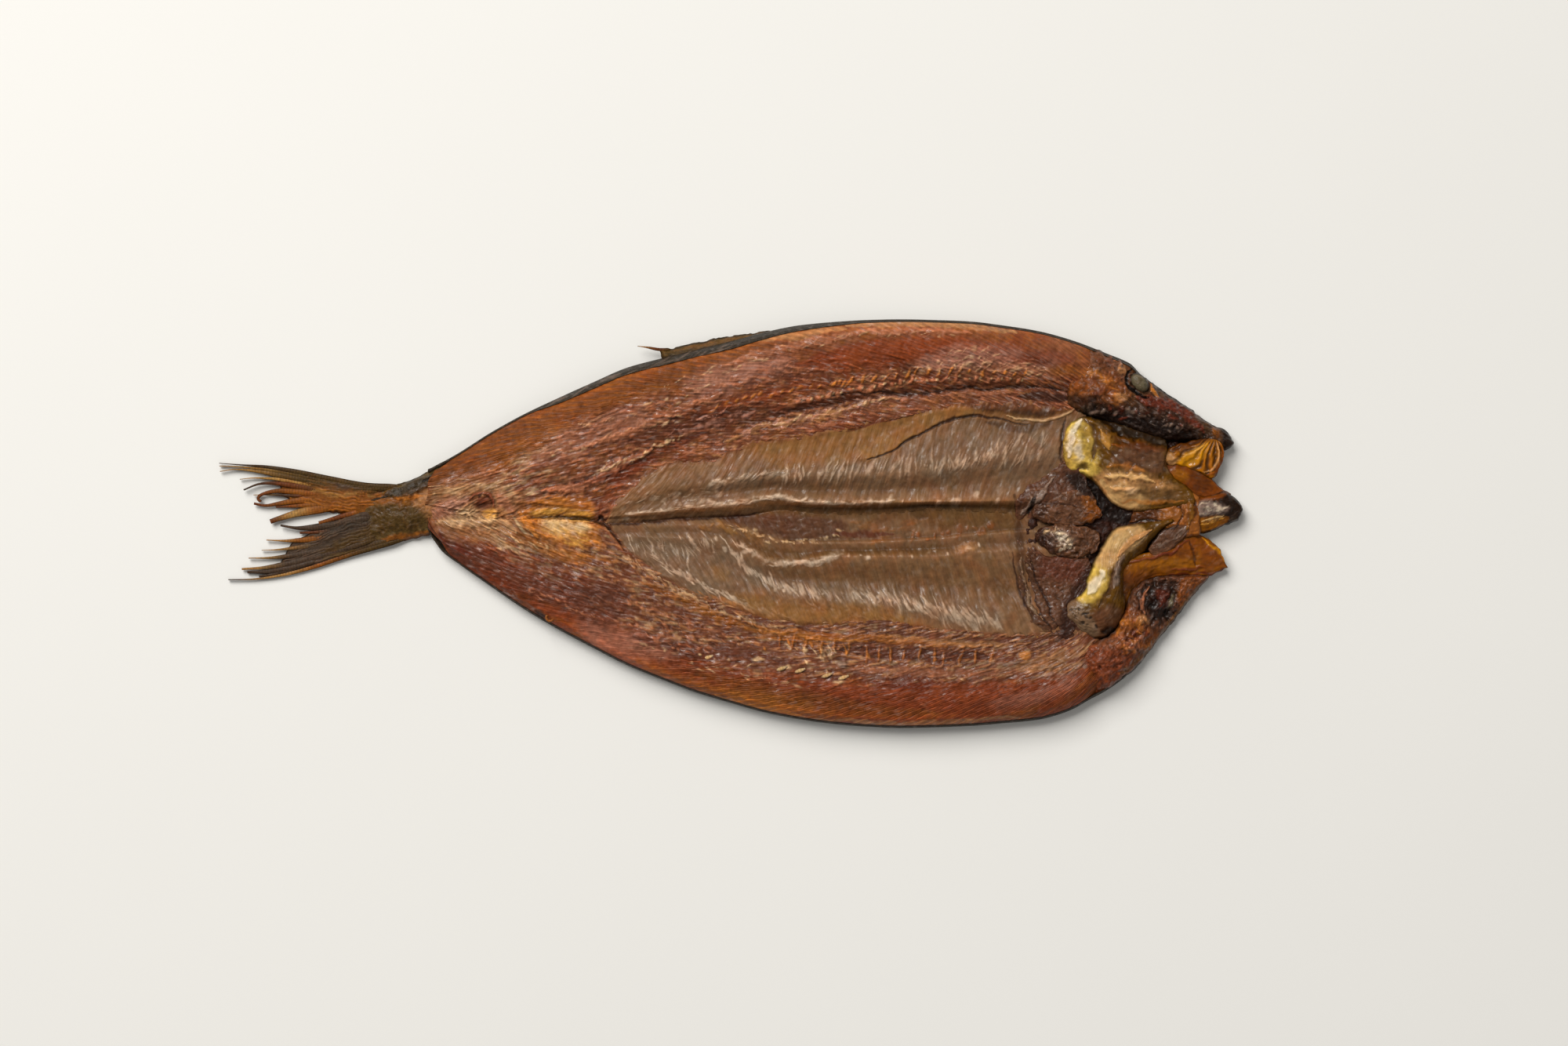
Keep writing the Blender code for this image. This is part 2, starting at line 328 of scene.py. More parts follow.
class Tone(Enum):
    """The colours of the smoked fish, as linear red, green and blue."""

    # Some of these colours also stand for painted light: the pale, grey and silver ones are partly
    # painted highlights, and the darkest ones partly painted shadow.
    ORANGE_FLESH = (0.185, 0.050, 0.007)
    AMBER_FLESH = (0.245, 0.078, 0.012)
    RED_FLESH = (0.195, 0.038, 0.008)
    DEEP_RED = (0.105, 0.018, 0.007)
    ROSE_FLESH = (0.285, 0.100, 0.045)
    # Partly the pink of the flesh, partly painted sheen.
    PINK_SHEEN = (0.370, 0.165, 0.110)
    SCARLET = (0.190, 0.036, 0.008)
    PURPLE_FLESH = (0.105, 0.030, 0.014)
    BROWN_FLESH = (0.150, 0.048, 0.018)
    TAN_FLESH = (0.330, 0.150, 0.055)
    # Cream fat and bone, and also painted glints: short pale dashes on wet flesh, lining and
    # heart.
    CREAM_AND_GLINT = (0.500, 0.330, 0.170)
    PALE_FAT = (0.560, 0.360, 0.150)
    YELLOW_FAT = (0.480, 0.235, 0.040)
    ORANGE_FAT = (0.400, 0.135, 0.018)
    LINING = (0.185, 0.094, 0.042)
    LINING_TAN = (0.225, 0.106, 0.042)
    LINING_OLIVE = (0.128, 0.060, 0.017)
    LINING_OCHRE = (0.235, 0.105, 0.026)
    LINING_DARK = (0.062, 0.026, 0.009)
    # Grey of the lining, mostly used as painted sheen where the light catches the wet lining.
    LINING_GREY_AND_SHEEN = (0.165, 0.100, 0.056)
    # Painted highlight: the colour of the light's reflection on the wet lining.
    SHEEN = (0.500, 0.370, 0.260)
    TROUGH = (0.085, 0.032, 0.015)
    # Dark blood, and also painted shadow in creases and beside raised edges.
    BLOOD_AND_SHADOW = (0.026, 0.008, 0.004)
    # Also painted shadow where the skull's lower edge overhangs the gill cover.
    BLACK = (0.006, 0.003, 0.002)
    SKIN_DARK = (0.026, 0.018, 0.010)
    SKIN_OLIVE = (0.092, 0.056, 0.016)
    SKIN_COPPER = (0.260, 0.130, 0.045)
    SKIN_SILVER = (0.420, 0.320, 0.190)
    FIN_OLIVE = (0.064, 0.033, 0.006)
    FIN_ORANGE = (0.215, 0.068, 0.007)
    FIN_RED = (0.120, 0.032, 0.006)
    FIN_STRAW = (0.360, 0.190, 0.050)
    FIN_GREY = (0.058, 0.034, 0.019)
    # Silver of the gill covers, and painted highlights on them, on the heart and on the jaw.
    GILL_SILVER_AND_HIGHLIGHT = (0.620, 0.520, 0.370)
    GILL_GOLD = (0.640, 0.430, 0.080)
    GILL_BRONZE = (0.100, 0.042, 0.002)
    GILL_OLIVE = (0.050, 0.018, 0.001)
    GILL_PINK = (0.470, 0.230, 0.080)
    GILL_CREAM = (0.520, 0.320, 0.125)
    AMBER = (0.255, 0.082, 0.001)
    # Painted glow of the light that passes through the thin membranes, and painted highlights on
    # them.
    AMBER_BRIGHT = (0.500, 0.205, 0.002)
    AMBER_RED = (0.165, 0.038, 0.001)
    AMBER_DARK = (0.060, 0.014, 0.001)
    JAW_DARK = (0.016, 0.006, 0.002)
    # Painted shine.
    JAW_SHINE = (0.210, 0.145, 0.115)
    HEART_BROWN = (0.105, 0.044, 0.020)
    HEART_ORANGE = (0.185, 0.052, 0.003)
    EYE_GREEN = (0.110, 0.090, 0.050)
    # Grey tissue, and also painted glints and sheen on wet flesh, skull and heart.
    GREY_TISSUE_AND_GLINT = (0.170, 0.115, 0.085)


@dataclass(frozen=True)
class Finish:
    """How one kind of tissue takes light. Heights and sizes are in millimetres.

    Attributes:
        slot: The record's material slot, and the material's name.
        dry: Roughness where no oil lies.
        wet: Roughness where oil lies.
        coat: Weight of the oil film where it is thickest.
        film: Roughness of the oil film.
        specular: Level of the surface's own reflection.
        mottle: Share by which the colour varies from spot to spot.
        mottle_size: Size of those spots.
        hue: Share by which the spots turn redder or greyer.
        pebble: Height of the lumps.
        pebble_size: Size of the lumps.
        fibre: Height of the fine streaks that run along the grain.
        fibre_size: Distance from one streak to the next.
        septum: Height of the thin walls between the muscle's layers.
        metallic: How far the surface mirrors as scales do.
        fleck: Size of the oily flecks along the grain, which are also painted a pale colour.
        sheen: Share of that pale colour painted on the flecks, as painted glints.
        pale: That colour: partly the tissue's own pale fascia, partly painted glint.
    """

    slot: str
    dry: float = 0.6
    wet: float = 0.4
    coat: float = 0.9
    film: float = 0.17
    specular: float = 0.13
    mottle: float = 0.3
    mottle_size: float = 0.8
    hue: float = 0.2
    pebble: float = 0.10
    pebble_size: float = 0.8
    fibre: float = 0.05
    fibre_size: float = 0.3
    septum: float = 0.0
    metallic: float = 0.0
    fleck: float = 0.8
    sheen: float = 0.3
    pale: Colour = (0.60, 0.42, 0.35)


class Value:
    """A number on a node's socket. An expression on such numbers adds its Math nodes."""

    def __init__(self, nodes: "Nodes", socket: bpy.types.NodeSocket) -> None:
        """Keeps the node tree and the socket."""
        self.nodes = nodes
        self.socket = socket

    def _join(self, operation: str, first: Any, second: Any) -> "Value":
        """A Math node of that operation on two numbers."""
        return self.nodes.value("ShaderNodeMath", {"operation": operation}, {0: first, 1: second})

    def __add__(self, other: Any) -> "Value":
        """The sum."""
        return self._join("ADD", self, other)

    def __sub__(self, other: Any) -> "Value":
        """The difference."""
        return self._join("SUBTRACT", self, other)

    def __rsub__(self, other: Any) -> "Value":
        """The difference, from the other."""
        return self._join("SUBTRACT", other, self)

    def __mul__(self, other: Any) -> "Value":
        """The product."""
        return self._join("MULTIPLY", self, other)

    def __pow__(self, other: Any) -> "Value":
        """The power."""
        return self._join("POWER", self, other)

    def above(self, level: float, slope: float) -> "Value":
        """0 up to a level, and from there a slope up to 1."""
        settings = {"operation": "MULTIPLY", "use_clamp": True}
        return self.nodes.value("ShaderNodeMath", settings, {0: self - level, 1: slope})

    def wave(self) -> "Value":
        """From 0 to 1 and back once for each whole number: the size of a triangle wave."""
        return self._join("PINGPONG", self, 0.5) * 2.0

    __radd__ = __add__
    __rmul__ = __mul__


class Nodes:
    """The node tree of one material."""

    def __init__(self, name: str) -> None:
        """Makes an empty material of that name.

        Args:
            name: The material's name.
        """
        self.material = bpy.data.materials.new(name)
        self.material.use_nodes = True
        self.tree = self.material.node_tree
        self.tree.nodes.clear()

    def add(self, kind: str, settings: dict[str, Any], inputs: dict[Any, Any]) -> bpy.types.Node:
        """Adds a node.

        Args:
            kind: The node's type.
            settings: Its properties, which are set first.
            inputs: For each input's name or number, a value, a socket or a Value.

        Returns:
            The node.
        """
        node = self.tree.nodes.new(kind)
        for name, value in settings.items():
            setattr(node, name, value)
        for name, value in inputs.items():
            if isinstance(value, Value):
                value = value.socket
            if isinstance(value, bpy.types.NodeSocket):
                self.tree.links.new(value, node.inputs[name])
            else:
                node.inputs[name].default_value = value
        return node

    def value(
        self, kind: str, settings: dict[str, Any], inputs: dict[Any, Any], output: Any = 0
    ) -> Value:
        """Adds a node and gives one of its outputs as a Value."""
        return Value(self, self.add(kind, settings, inputs).outputs[output])

    def attribute(self, name: str, output: str = "Fac") -> Value:
        """Reads one of the piece's own attributes."""
        return self.value("ShaderNodeAttribute", {"attribute_name": name}, {}, output)

    def texture(self, place: Any, scale: Sequence[float], detail: float = 2.0) -> Value:
        """Fractal noise from 0 to 1 at a place that is first multiplied by scale.

        Args:
            place: The place.
            scale: Features along each axis, for each unit of the place.
            detail: How many finer sizes are added.

        Returns:
            The noise.
        """
        moved = self.add("ShaderNodeMapping", {}, {"Vector": place, "Scale": scale})
        inputs = {"Vector": moved.outputs[0], "Scale": 1.0, "Detail": detail}
        return self.value("ShaderNodeTexNoise", {}, inputs)

    def shaded(self, colour: Any, amount: Any) -> Any:
        """A colour multiplied by a number."""
        settings, inputs = {"operation": "SCALE"}, {0: colour, "Scale": amount}
        return self.add("ShaderNodeVectorMath", settings, inputs).outputs[0]

    def mixed(self, colour: Any, other: Colour, amount: Any, blend: str = "MIX") -> Any:
        """A colour mixed with another, or multiplied by it, as far as amount says.

        Args:
            colour: The first colour.
            other: The other colour.
            amount: Share of the other colour.
            blend: The Mix node's way to blend.

        Returns:
            The socket of the mixed colour.
        """
        settings = {"data_type": "RGBA", "blend_type": blend}
        inputs = {0: amount, 6: colour, 7: (*other, 1.0)}
        return self.add("ShaderNodeMix", settings, inputs).outputs[2]


class Finisher:
    """Makes each finish's material once and hands it out."""

    def __init__(self) -> None:
        """Starts with no material made."""
        self.made: dict[str, bpy.types.Material] = {}

    def material(self, finish: Finish) -> bpy.types.Material:
        """The material of a finish.

        The colour is the piece's own tint, lightened and darkened by noise. The bump is the sum of
        pebbles (even noise), fibres (noise drawn out along the grain) and septa (narrow crests
        where the layer number is whole). Oil lies mostly on the flecks, which are also painted a
        pale colour that stands for glints of light.

        Args:
            finish: The tissue's finish.

        Returns:
            The material.
        """
        if finish.slot in self.made:
            return self.made[finish.slot]
        nodes = Nodes(finish.slot)
        place = nodes.add("ShaderNodeTexCoord", {}, {}).outputs["Object"]
        grain = nodes.add("ShaderNodeUVMap", {"uv_map": "grain"}, {}).outputs[0]
        tint = nodes.attribute("tint", "Color")
        wet = nodes.attribute("wet")
        septa = nodes.attribute("septa")
        layer = nodes.attribute("layer")
        spots = nodes.texture(place, [1.0 / MM / finish.mottle_size] * 3, 4.0)
        patches = nodes.texture(place, [0.35 / MM / finish.mottle_size] * 3, 3.0)
        lumps = nodes.texture(place, [1.0 / MM / finish.pebble_size] * 3, 1.0)
        streak_scale = [0.16 / finish.fibre_size, 1.0 / finish.fibre_size, 1.0]
        streaks = nodes.texture(grain, streak_scale, 3.0)
        wander = nodes.texture(grain, [0.25, 0.7, 1.0], 1.0)
        wall = (layer + wander * 0.9).wave() ** 5.0 * septa
        light = 1.0 + (spots - 0.5) * (4.0 * finish.mottle)
        light = light + (streaks - 0.5) * (3.0 * finish.mottle) + (wall - septa * 0.2)
        colour = nodes.shaded(tint.socket, light)
        turn = (patches - 0.4) * (6.0 * finish.hue)
        colour = nodes.mixed(colour, (1.08, 0.72, 0.52), turn, "MULTIPLY")
        fleck_scale = [0.45 / finish.fleck, 1.0 / finish.fleck, 1.0]
        zones = nodes.texture(place, [0.22 / MM] * 3, 1.0).above(0.44, 7.0)
        flecks = nodes.texture(grain, fleck_scale, 2.5).above(0.52, 6.0)
        flecks = flecks * (zones * 0.75 + 0.25)
        # The flecks are painted a pale colour: painted glints, partly the tissue's own pale
        # fascia.
        colour = nodes.mixed(colour, finish.pale, flecks * wet * finish.sheen)
        height = lumps * finish.pebble + streaks * finish.fibre
        if finish.septum:
            height = height + wall * finish.septum
        inputs = {"Strength": 1.0, "Distance": MM, "Height": height}
        bump = nodes.add("ShaderNodeBump", {}, inputs)
        inputs = {
            "Base Color": colour,
            "Roughness": finish.dry + wet * (finish.wet - finish.dry),
            "Coat Weight": wet * (flecks * 0.92 + 0.08) * finish.coat,
            "Coat Roughness": finish.film,
            "Specular IOR Level": finish.specular,
            "Metallic": finish.metallic,
            "Normal": bump.outputs[0],
        }
        shader = nodes.add("ShaderNodeBsdfPrincipled", {}, inputs)
        nodes.add("ShaderNodeOutputMaterial", {}, {"Surface": shader.outputs[0]})
        self.made[finish.slot] = nodes.material
        return nodes.material


FLESH = Finish(
    slot="flesh", coat=1.0, film=0.16, septum=0.3, pebble=0.5, pebble_size=1.9, fibre=0.10,
    fibre_size=0.7, mottle=0.26, mottle_size=1.6, fleck=1.3, sheen=0.34,
)
LINING = Finish(
    slot="belly_lining", coat=0.8, film=0.22, mottle=0.2, mottle_size=1.8, pebble=0.2,
    pebble_size=1.8, fibre=0.10, fibre_size=0.7, hue=0.3, fleck=1.3, sheen=0.12,
    pale=(0.50, 0.38, 0.28),
)
SKIN = Finish(slot="skin", coat=0.5, pebble=0.2, sheen=0.1)
FIN = Finish(
    slot="fin", coat=0.3, pebble=0.1, fibre=0.12, fibre_size=0.25, septum=0.04, sheen=0.03
)
GILL = Finish(
    slot="gill_cover", coat=1.0, film=0.1, pebble=0.12, pebble_size=2.4, fibre=0.04,
    fibre_size=1.0, mottle=0.2, mottle_size=2.0, fleck=2.2, sheen=0.08, pale=(0.75, 0.55, 0.36),
)
MEMBRANE = Finish(
    slot="mouth_membrane", coat=1.0, film=0.09, pebble=0.1, pebble_size=2.4, fibre=0.04,
    fibre_size=1.0, mottle=0.2, mottle_size=1.8, hue=0.15, fleck=2.0, sheen=0.04,
    pale=(0.65, 0.36, 0.16),
)
TISSUE = Finish(
    slot="dark_tissue", coat=1.0, film=0.13, pebble=0.35, pebble_size=1.5, fibre=0.04,
    mottle=0.35, fleck=1.1, sheen=0.14,
)
HEART = Finish(
    slot="heart", coat=1.0, film=0.1, pebble=0.35, pebble_size=1.2, fibre=0.04, mottle=0.35,
    sheen=0.3,
)
EYE = Finish(slot="eye", coat=0.8, film=0.14, pebble=0.15, fibre=0.0, mottle=0.25, sheen=0.1)
BONE = Finish(slot="bone", coat=0.5, film=0.25, pebble=0.15, mottle=0.2, mottle_size=0.6)


# ---------------------------------------------------------------- surfaces and marks


class Canvas:
    """The surface of one piece: a grid of points with a colour, oil and muscle walls on each.

    Attributes:
        x: Place along the fish of every point, in millimetres.
        y: Place across the fish.
        z: Height above what the fish rests on.
        tint: The colour.
        wet: Oil, from 0 to 1.
        septa: How far the thin walls between the muscle's layers show, from 0 to 1.
        layer: A number that is whole on each of those walls.
        grain: Coordinates along and across the fibres, in millimetres.
        look_x: Where marks take each point to be along the fish, so that outlines wander.
        look_y: The same across the fish.
    """

    def __init__(self, x: Array, y: Array, z: Array, tone: Tone) -> None:
        """Starts a plain surface of one colour.

        Args:
            x: Places along the fish.
            y: Places across the fish.
            z: Heights.
            tone: The colour.
        """
        self.x, self.y, self.z = x, y, z
        self.tint = np.ones(x.shape + (3,)) * np.array(tone.value)
        self.wet = np.full(x.shape, 0.5)
        self.septa = np.zeros(x.shape)
        self.layer = np.zeros(x.shape)
        self.grain = np.stack([x, y], axis=-1)
        self.look_x, self.look_y = x.copy(), y.copy()

    @property
    def index(self) -> Array:
        """The number of every grid point."""
        return np.arange(self.x.size).reshape(self.x.shape)

    @property
    def points(self) -> Array:
        """The grid points as one list of (x, y, z)."""
        return np.stack([self.x, self.y, self.z], axis=-1).reshape(-1, 3)

    def roughen(self, amount: float, size: float, seed: int) -> None:
        """Makes the outlines of all later marks wander by about amount millimetres."""
        self.look_x = self.x + amount * noise(self.x, self.y, size, seed)
        self.look_y = self.y + amount * noise(self.x, self.y, size, seed + 50)

    def noise(
        self, size: float, seed: int, octaves: int = 3, degrees: float = 0.0, stretch: float = 1.0
    ) -> Array:
        """Fractal noise over the surface, drawn out by stretch along a direction."""
        along, across = turned(self.x, self.y, degrees, stretch)
        return noise(along, across, size, seed, octaves)

    def flow_noise(self, size: float, seed: int, stretch: float, octaves: int = 2) -> Array:
        """Fractal noise drawn out by stretch along the grain."""
        return noise(self.grain[..., 0] / stretch, self.grain[..., 1], size, seed, octaves)

    def paint(self, mask: Array, tone: Union[Tone, Colour], strength: float = 1.0) -> None:
        """Mixes a colour in where the mask is.

        Args:
            mask: Where the colour goes.
            tone: The colour.
            strength: Share of the colour.
        """
        colour = np.array(tone.value if isinstance(tone, Tone) else tone)
        share = np.clip(mask * strength, 0.0, 1.0)[..., None]
        self.tint = self.tint * (1.0 - share) + colour * share

    def cloud(
        self, tone: Tone, strength: float, span: tuple[float, float], size: float, seed: int,
        stretch: Optional[float] = None, within: Union[float, Array] = 1.0
    ) -> None:
        """Mixes a colour in where noise is high.

        Args:
            tone: The colour.
            strength: Share of the colour.
            span: Noise levels at which the cloud begins and is full.
            size: Size of the noise.
            seed: Seed of the noise.
            stretch: How far it is drawn out along the grain, or nothing for even noise.
            within: A mask that the cloud stays in.
        """
        even = stretch is None
        field = self.noise(size, seed) if even else self.flow_noise(size, seed, stretch)
        self.paint(smoothstep(*span, field) * within, tone, strength)

    def shade(self, amount: Array) -> None:
        """Multiplies the colour by an amount."""
        self.tint = self.tint * np.clip(amount, 0.05, 4.0)[..., None]

    def lift(self, mask: Array, height: float) -> None:
        """Raises the surface where the mask is."""
        self.z = self.z + mask * height

    def paint_relief_shading(self, size: float, strength: float) -> None:
        """Darkens what lies below the height around it and lightens what stands above.

        Args:
            size: Width of the square over which the height is averaged.
            strength: Share of painted light gained or lost per millimetre.
        """
        step_x = np.hypot(*(np.diff(axis, axis=0).mean() for axis in (self.x, self.y)))
        step_y = np.hypot(*(np.diff(axis, axis=1).mean() for axis in (self.x, self.y)))
        spread = averaged(self.z, round(size / 2 / step_x), round(size / 2 / step_y))
        # Painted shade in the low places and painted light on the crests.
        self.shade(1.0 + np.clip((self.z - spread) * strength, -0.7, 0.5))

    def oil(self, mask: Array, level: float) -> None:
        """Moves the oil towards a level where the mask is."""
        self.wet = self.wet * (1.0 - mask) + level * mask

    def dress(self, marks: Sequence["Mark"]) -> None:
        """Puts each mark on the surface, in order, its edge broken up by a fine noise.

        Args:
            marks: The marks.
        """
        grit = self.noise(0.9, 201) + 0.7 * self.noise(2.4, 202)
        for mark in marks:
            mask = mark.mask(self)
            if not mask.any():
                continue
            mask = np.clip(mask * (1.0 + 1.7 * grit * (1.0 - mask)), 0.0, 1.0)
            if mark.tone is not None:
                self.paint(mask, mark.tone, mark.strength)
            if mark.lift:
                self.lift(mask, mark.lift)
            if mark.oil is not None:
                self.oil(mask, mark.oil)


@dataclass(frozen=True)
class Mark:
    """Something on a surface: a colour, a change of height, more or less oil.

    Attributes:
        tone: The colour, or nothing where the mark leaves it.
        strength: Share of the colour.
        lift: Height added, in millimetres.
        oil: Oil level.
    """

    tone: Optional[Tone] = None
    _: KW_ONLY
    strength: float = 0.85
    lift: float = 0.0
    oil: Optional[float] = None

    def mask(self, canvas: Canvas) -> Array:
        """Where the mark is, from 0 to 1."""
        raise NotImplementedError


@dataclass(frozen=True)
class Stroke(Mark):
    """A brush mark along a curve.

    Attributes:
        path: Points of the curve.
        width: Half its full width.
        soft: Distance over which its edge fades.
        taper: Share of the width that is lost at both ends.
        broken: How far noise breaks the stroke up.
    """

    path: Knots = ()
    width: float = 1.0
    soft: float = 0.6
    taper: float = 0.8
    broken: float = 0.0

    def mask(self, canvas: Canvas) -> Array:
        """Full within the width, fading past it, thinner towards the curve's ends.

        Args:
            canvas: The surface.

        Returns:
            The mask.
        """
        reach = self.width + self.soft + 0.1
        distance, along = Path(self.path).near(canvas.look_x, canvas.look_y, reach)
        thin = 1.0 - self.taper * np.abs(2.0 * along - 1.0) ** 2
        if self.broken:
            thin = thin * (1.0 + self.broken * noise(canvas.x, canvas.y, 1.6, len(self.path) + 7))
        return 1.0 - smoothstep(0.0, 1.0, (distance - (self.width - self.soft * 0.5) * thin)
                                / (self.soft * np.maximum(thin, 0.25)))


@dataclass(frozen=True)
class Spot(Mark):
    """A soft oval.

    Attributes:
        at: Its centre.
        size: Its half axes.
        degrees: How far its first axis is turned from +X.
    """

    at: tuple[float, float] = (0.0, 0.0)
    size: tuple[float, float] = (1.0, 1.0)
    degrees: float = 0.0

    def mask(self, canvas: Canvas) -> Array:
        """A Gaussian over the oval, sharpened so that its middle is even.

        Args:
            canvas: The surface.

        Returns:
            The mask.
        """
        dx, dy = canvas.look_x - self.at[0], canvas.look_y - self.at[1]
        along, across = turned(dx, dy, self.degrees)
        return bell(np.hypot(along / self.size[0], across / self.size[1]) ** 2, 1.0)


@dataclass(frozen=True)
class Area(Mark):
    """The inside of a closed curve.

    Attributes:
        outline: Points of the curve.
        soft: Distance over which the edge fades on either side.
    """

    outline: Knots = ()
    soft: float = 1.0

    def mask(self, canvas: Canvas) -> Array:
        """1 well inside the curve and 0 well outside.

        Args:
            canvas: The surface.

        Returns:
            The mask.
        """
        path = Path(self.outline, closed=True)
        distance, _ = path.near(canvas.look_x, canvas.look_y, self.soft + 0.2)
        inside = path.holds(canvas.look_x, canvas.look_y)
        signed = np.where(inside, distance, -distance)
        return smoothstep(-self.soft, self.soft, np.clip(signed, -self.soft, self.soft))


@dataclass(frozen=True)
class Beads(Mark):
    """A row of small ovals along a curve, uneven in place, size and turn.

    Attributes:
        path: Points of the curve.
        pitch: Distance from one oval to the next.
        size: Half axes of an oval.
        degrees: How far an oval's first axis is turned from +X.
        uneven: Share by which they vary.
        seed: Seed of the variation.
    """

    path: Knots = ()
    pitch: float = 3.0
    size: tuple[float, float] = (1.0, 0.6)
    degrees: float = 0.0
    uneven: float = 0.3
    seed: int = 1

    def mask(self, canvas: Canvas) -> Array:
        """The largest of the ovals at each point, some fainter than others.

        Args:
            canvas: The surface.

        Returns:
            The mask.
        """
        path = Path(self.path)
        count = max(2, round(path.length() / self.pitch))
        rng = np.random.default_rng(self.seed)
        found = np.zeros(canvas.x.shape)
        for x, y in path.even(count):
            shift = rng.normal(0.0, self.uneven * 0.3 * (self.pitch + self.size[0]), 2)
            scale = 1.0 + self.uneven * rng.uniform(-1.0, 1.0, 2)
            turn = self.degrees + self.uneven * rng.uniform(-22.0, 22.0)
            reach = 3.0 * max(self.size)
            dx, dy = canvas.look_x - x - shift[0], canvas.look_y - y - shift[1]
            close = (np.abs(dx) < reach) & (np.abs(dy) < reach)
            along, across = turned(dx[close], dy[close], turn)
            size = np.hypot(along / (self.size[0] * scale[0]), across / (self.size[1] * scale[1]))
            level = 1.0 - self.uneven * rng.uniform(0.0, 0.6)
            found[close] = np.maximum(found[close], bell(size**2, 1.0) * level)
        return found


# ---------------------------------------------------------------- closed pieces


def cells(index: Array) -> list[Sequence[int]]:
    """The four corners of each cell of a grid of point numbers."""
    corners = [index[:-1, :-1], index[1:, :-1], index[1:, 1:], index[:-1, 1:]]
    return np.stack(corners, axis=-1).reshape(-1, 4).tolist()


@dataclass
class Piece:
    """A closed mesh with its attributes on every point.

    Attributes:
        name: The piece's name.
        points: The points, in millimetres.
        faces: The faces, as lists of point numbers.
        values: The numbers that the material reads on each point.
    """

    name: str
    points: Array
    faces: list[Sequence[int]]
    values: dict[str, Array]

    @staticmethod
    def from_canvas(
        name: str, points: Array, faces: list[Sequence[int]], canvas: Canvas, source: Array
    ) -> "Piece":
        """A piece whose points take their values from the canvas points that source names.

        Args:
            name: The piece's name.
            points: The points, in millimetres.
            faces: The faces, as lists of point numbers.
            canvas: The surface.
            source: For each point, the number of a grid point.

        Returns:
            The piece.
        """
        values = {
            "tint": canvas.tint.reshape(-1, 3)[source],
            "wet": canvas.wet.ravel()[source],
            "septa": canvas.septa.ravel()[source],
            "layer": canvas.layer.ravel()[source],
            "grain": canvas.grain.reshape(-1, 2)[source],
        }
        return Piece(name, points, faces, values)

    @staticmethod
    def joined(name: str, pieces: Sequence["Piece"]) -> "Piece":
        """Several closed meshes as one piece.

        Args:
            name: The new piece's name.
            pieces: The meshes.

        Returns:
            The piece.
        """
        faces: list[Sequence[int]] = []
        start = 0
        for piece in pieces:
            faces += [[start + i for i in face] for face in piece.faces]
            start += len(piece.points)
        values = {
            key: np.concatenate([piece.values[key] for piece in pieces])
            for key in pieces[0].values
        }
        return Piece(name, np.vstack([piece.points for piece in pieces]), faces, values)

    def build(self, finish: Finish, finisher: Finisher) -> bpy.types.Object:
        """Makes the object, dresses it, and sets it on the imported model.

        Args:
            finish: The piece's finish.
            finisher: Where its material comes from.

        Returns:
            The object.
        """
        mesh = bpy.data.meshes.new(self.name)
        mesh.from_pydata((self.points * MM).tolist(), [], self.faces)
        bm = bmesh.new()
        bm.from_mesh(mesh)
        bmesh.ops.recalc_face_normals(bm, faces=bm.faces)
        bm.to_mesh(mesh)
        bm.free()
        mesh.shade_smooth()
        tint = mesh.attributes.new("tint", "FLOAT_COLOR", "POINT")
        colours = np.ones((len(self.points), 4), np.float32)
        colours[:, :3] = self.values["tint"]
        tint.data.foreach_set("color", colours.ravel())
        for name in ("wet", "septa", "layer"):
            attribute = mesh.attributes.new(name, "FLOAT", "POINT")
            attribute.data.foreach_set("value", self.values[name].astype(np.float32))
        corner = np.zeros(len(mesh.loops), np.int64)
        mesh.loops.foreach_get("vertex_index", corner)
        uv = mesh.uv_layers.new(name="grain")
        uv.data.foreach_set("uv", self.values["grain"][corner].astype(np.float32).ravel())
        mesh.materials.append(finisher.material(finish))
        thing = bpy.data.objects.new(self.name, mesh)
        bpy.context.scene.collection.objects.link(thing)
        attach(thing, "root")
        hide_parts("smoked_herring")
        LOG.info("%s: %d points, %d faces", self.name, len(mesh.vertices), len(mesh.polygons))
        return thing


def slab(name: str, canvas: Canvas, underside: Union[float, Array]) -> Piece:
    """A closed piece under a grid whose two dimensions are both open.

    Walls run down from the grid's four edges to the underside, which is closed by strips that
    join the first point of each row to its last.

    Args:
        name: The piece's name.
        canvas: The grid's surface.
        underside: Height of the underside, one number or one for each grid point.

    Returns:
        The piece.
    """
    rows, columns = canvas.x.shape
    index, top = canvas.index, canvas.points
    rim = np.concatenate([index[0], index[1:-1, -1], index[-1, ::-1], index[-2:0:-1, 0]])
    low = top[rim].copy()
    low[:, 2] = np.broadcast_to(underside, canvas.x.shape).ravel()[rim]
    below = rows * columns + np.arange(len(rim))
    faces = cells(index)
    around = np.roll(np.arange(len(rim)), -1)
    faces += np.stack([rim, rim[around], below[around], below], axis=-1).tolist()
    last = columns - 1
    right = below[last : last + rows]
    left = below[np.r_[0, len(rim) - np.arange(1, rows)]]
    first_end = below[:columns].tolist()
    far_end = below[last + rows - 1 : last + rows - 1 + columns].tolist()
    faces.append(first_end + [right[1], left[1]])
    faces += [[left[i], right[i], right[i + 1], left[i + 1]] for i in range(1, rows - 2)]
    faces.append(far_end + [left[rows - 2], right[rows - 2]])
    source = np.concatenate([index.ravel(), rim])
    return Piece.from_canvas(name, np.vstack([top, low]), faces, canvas, source)


# ---------------------------------------------------------------- the body's shape


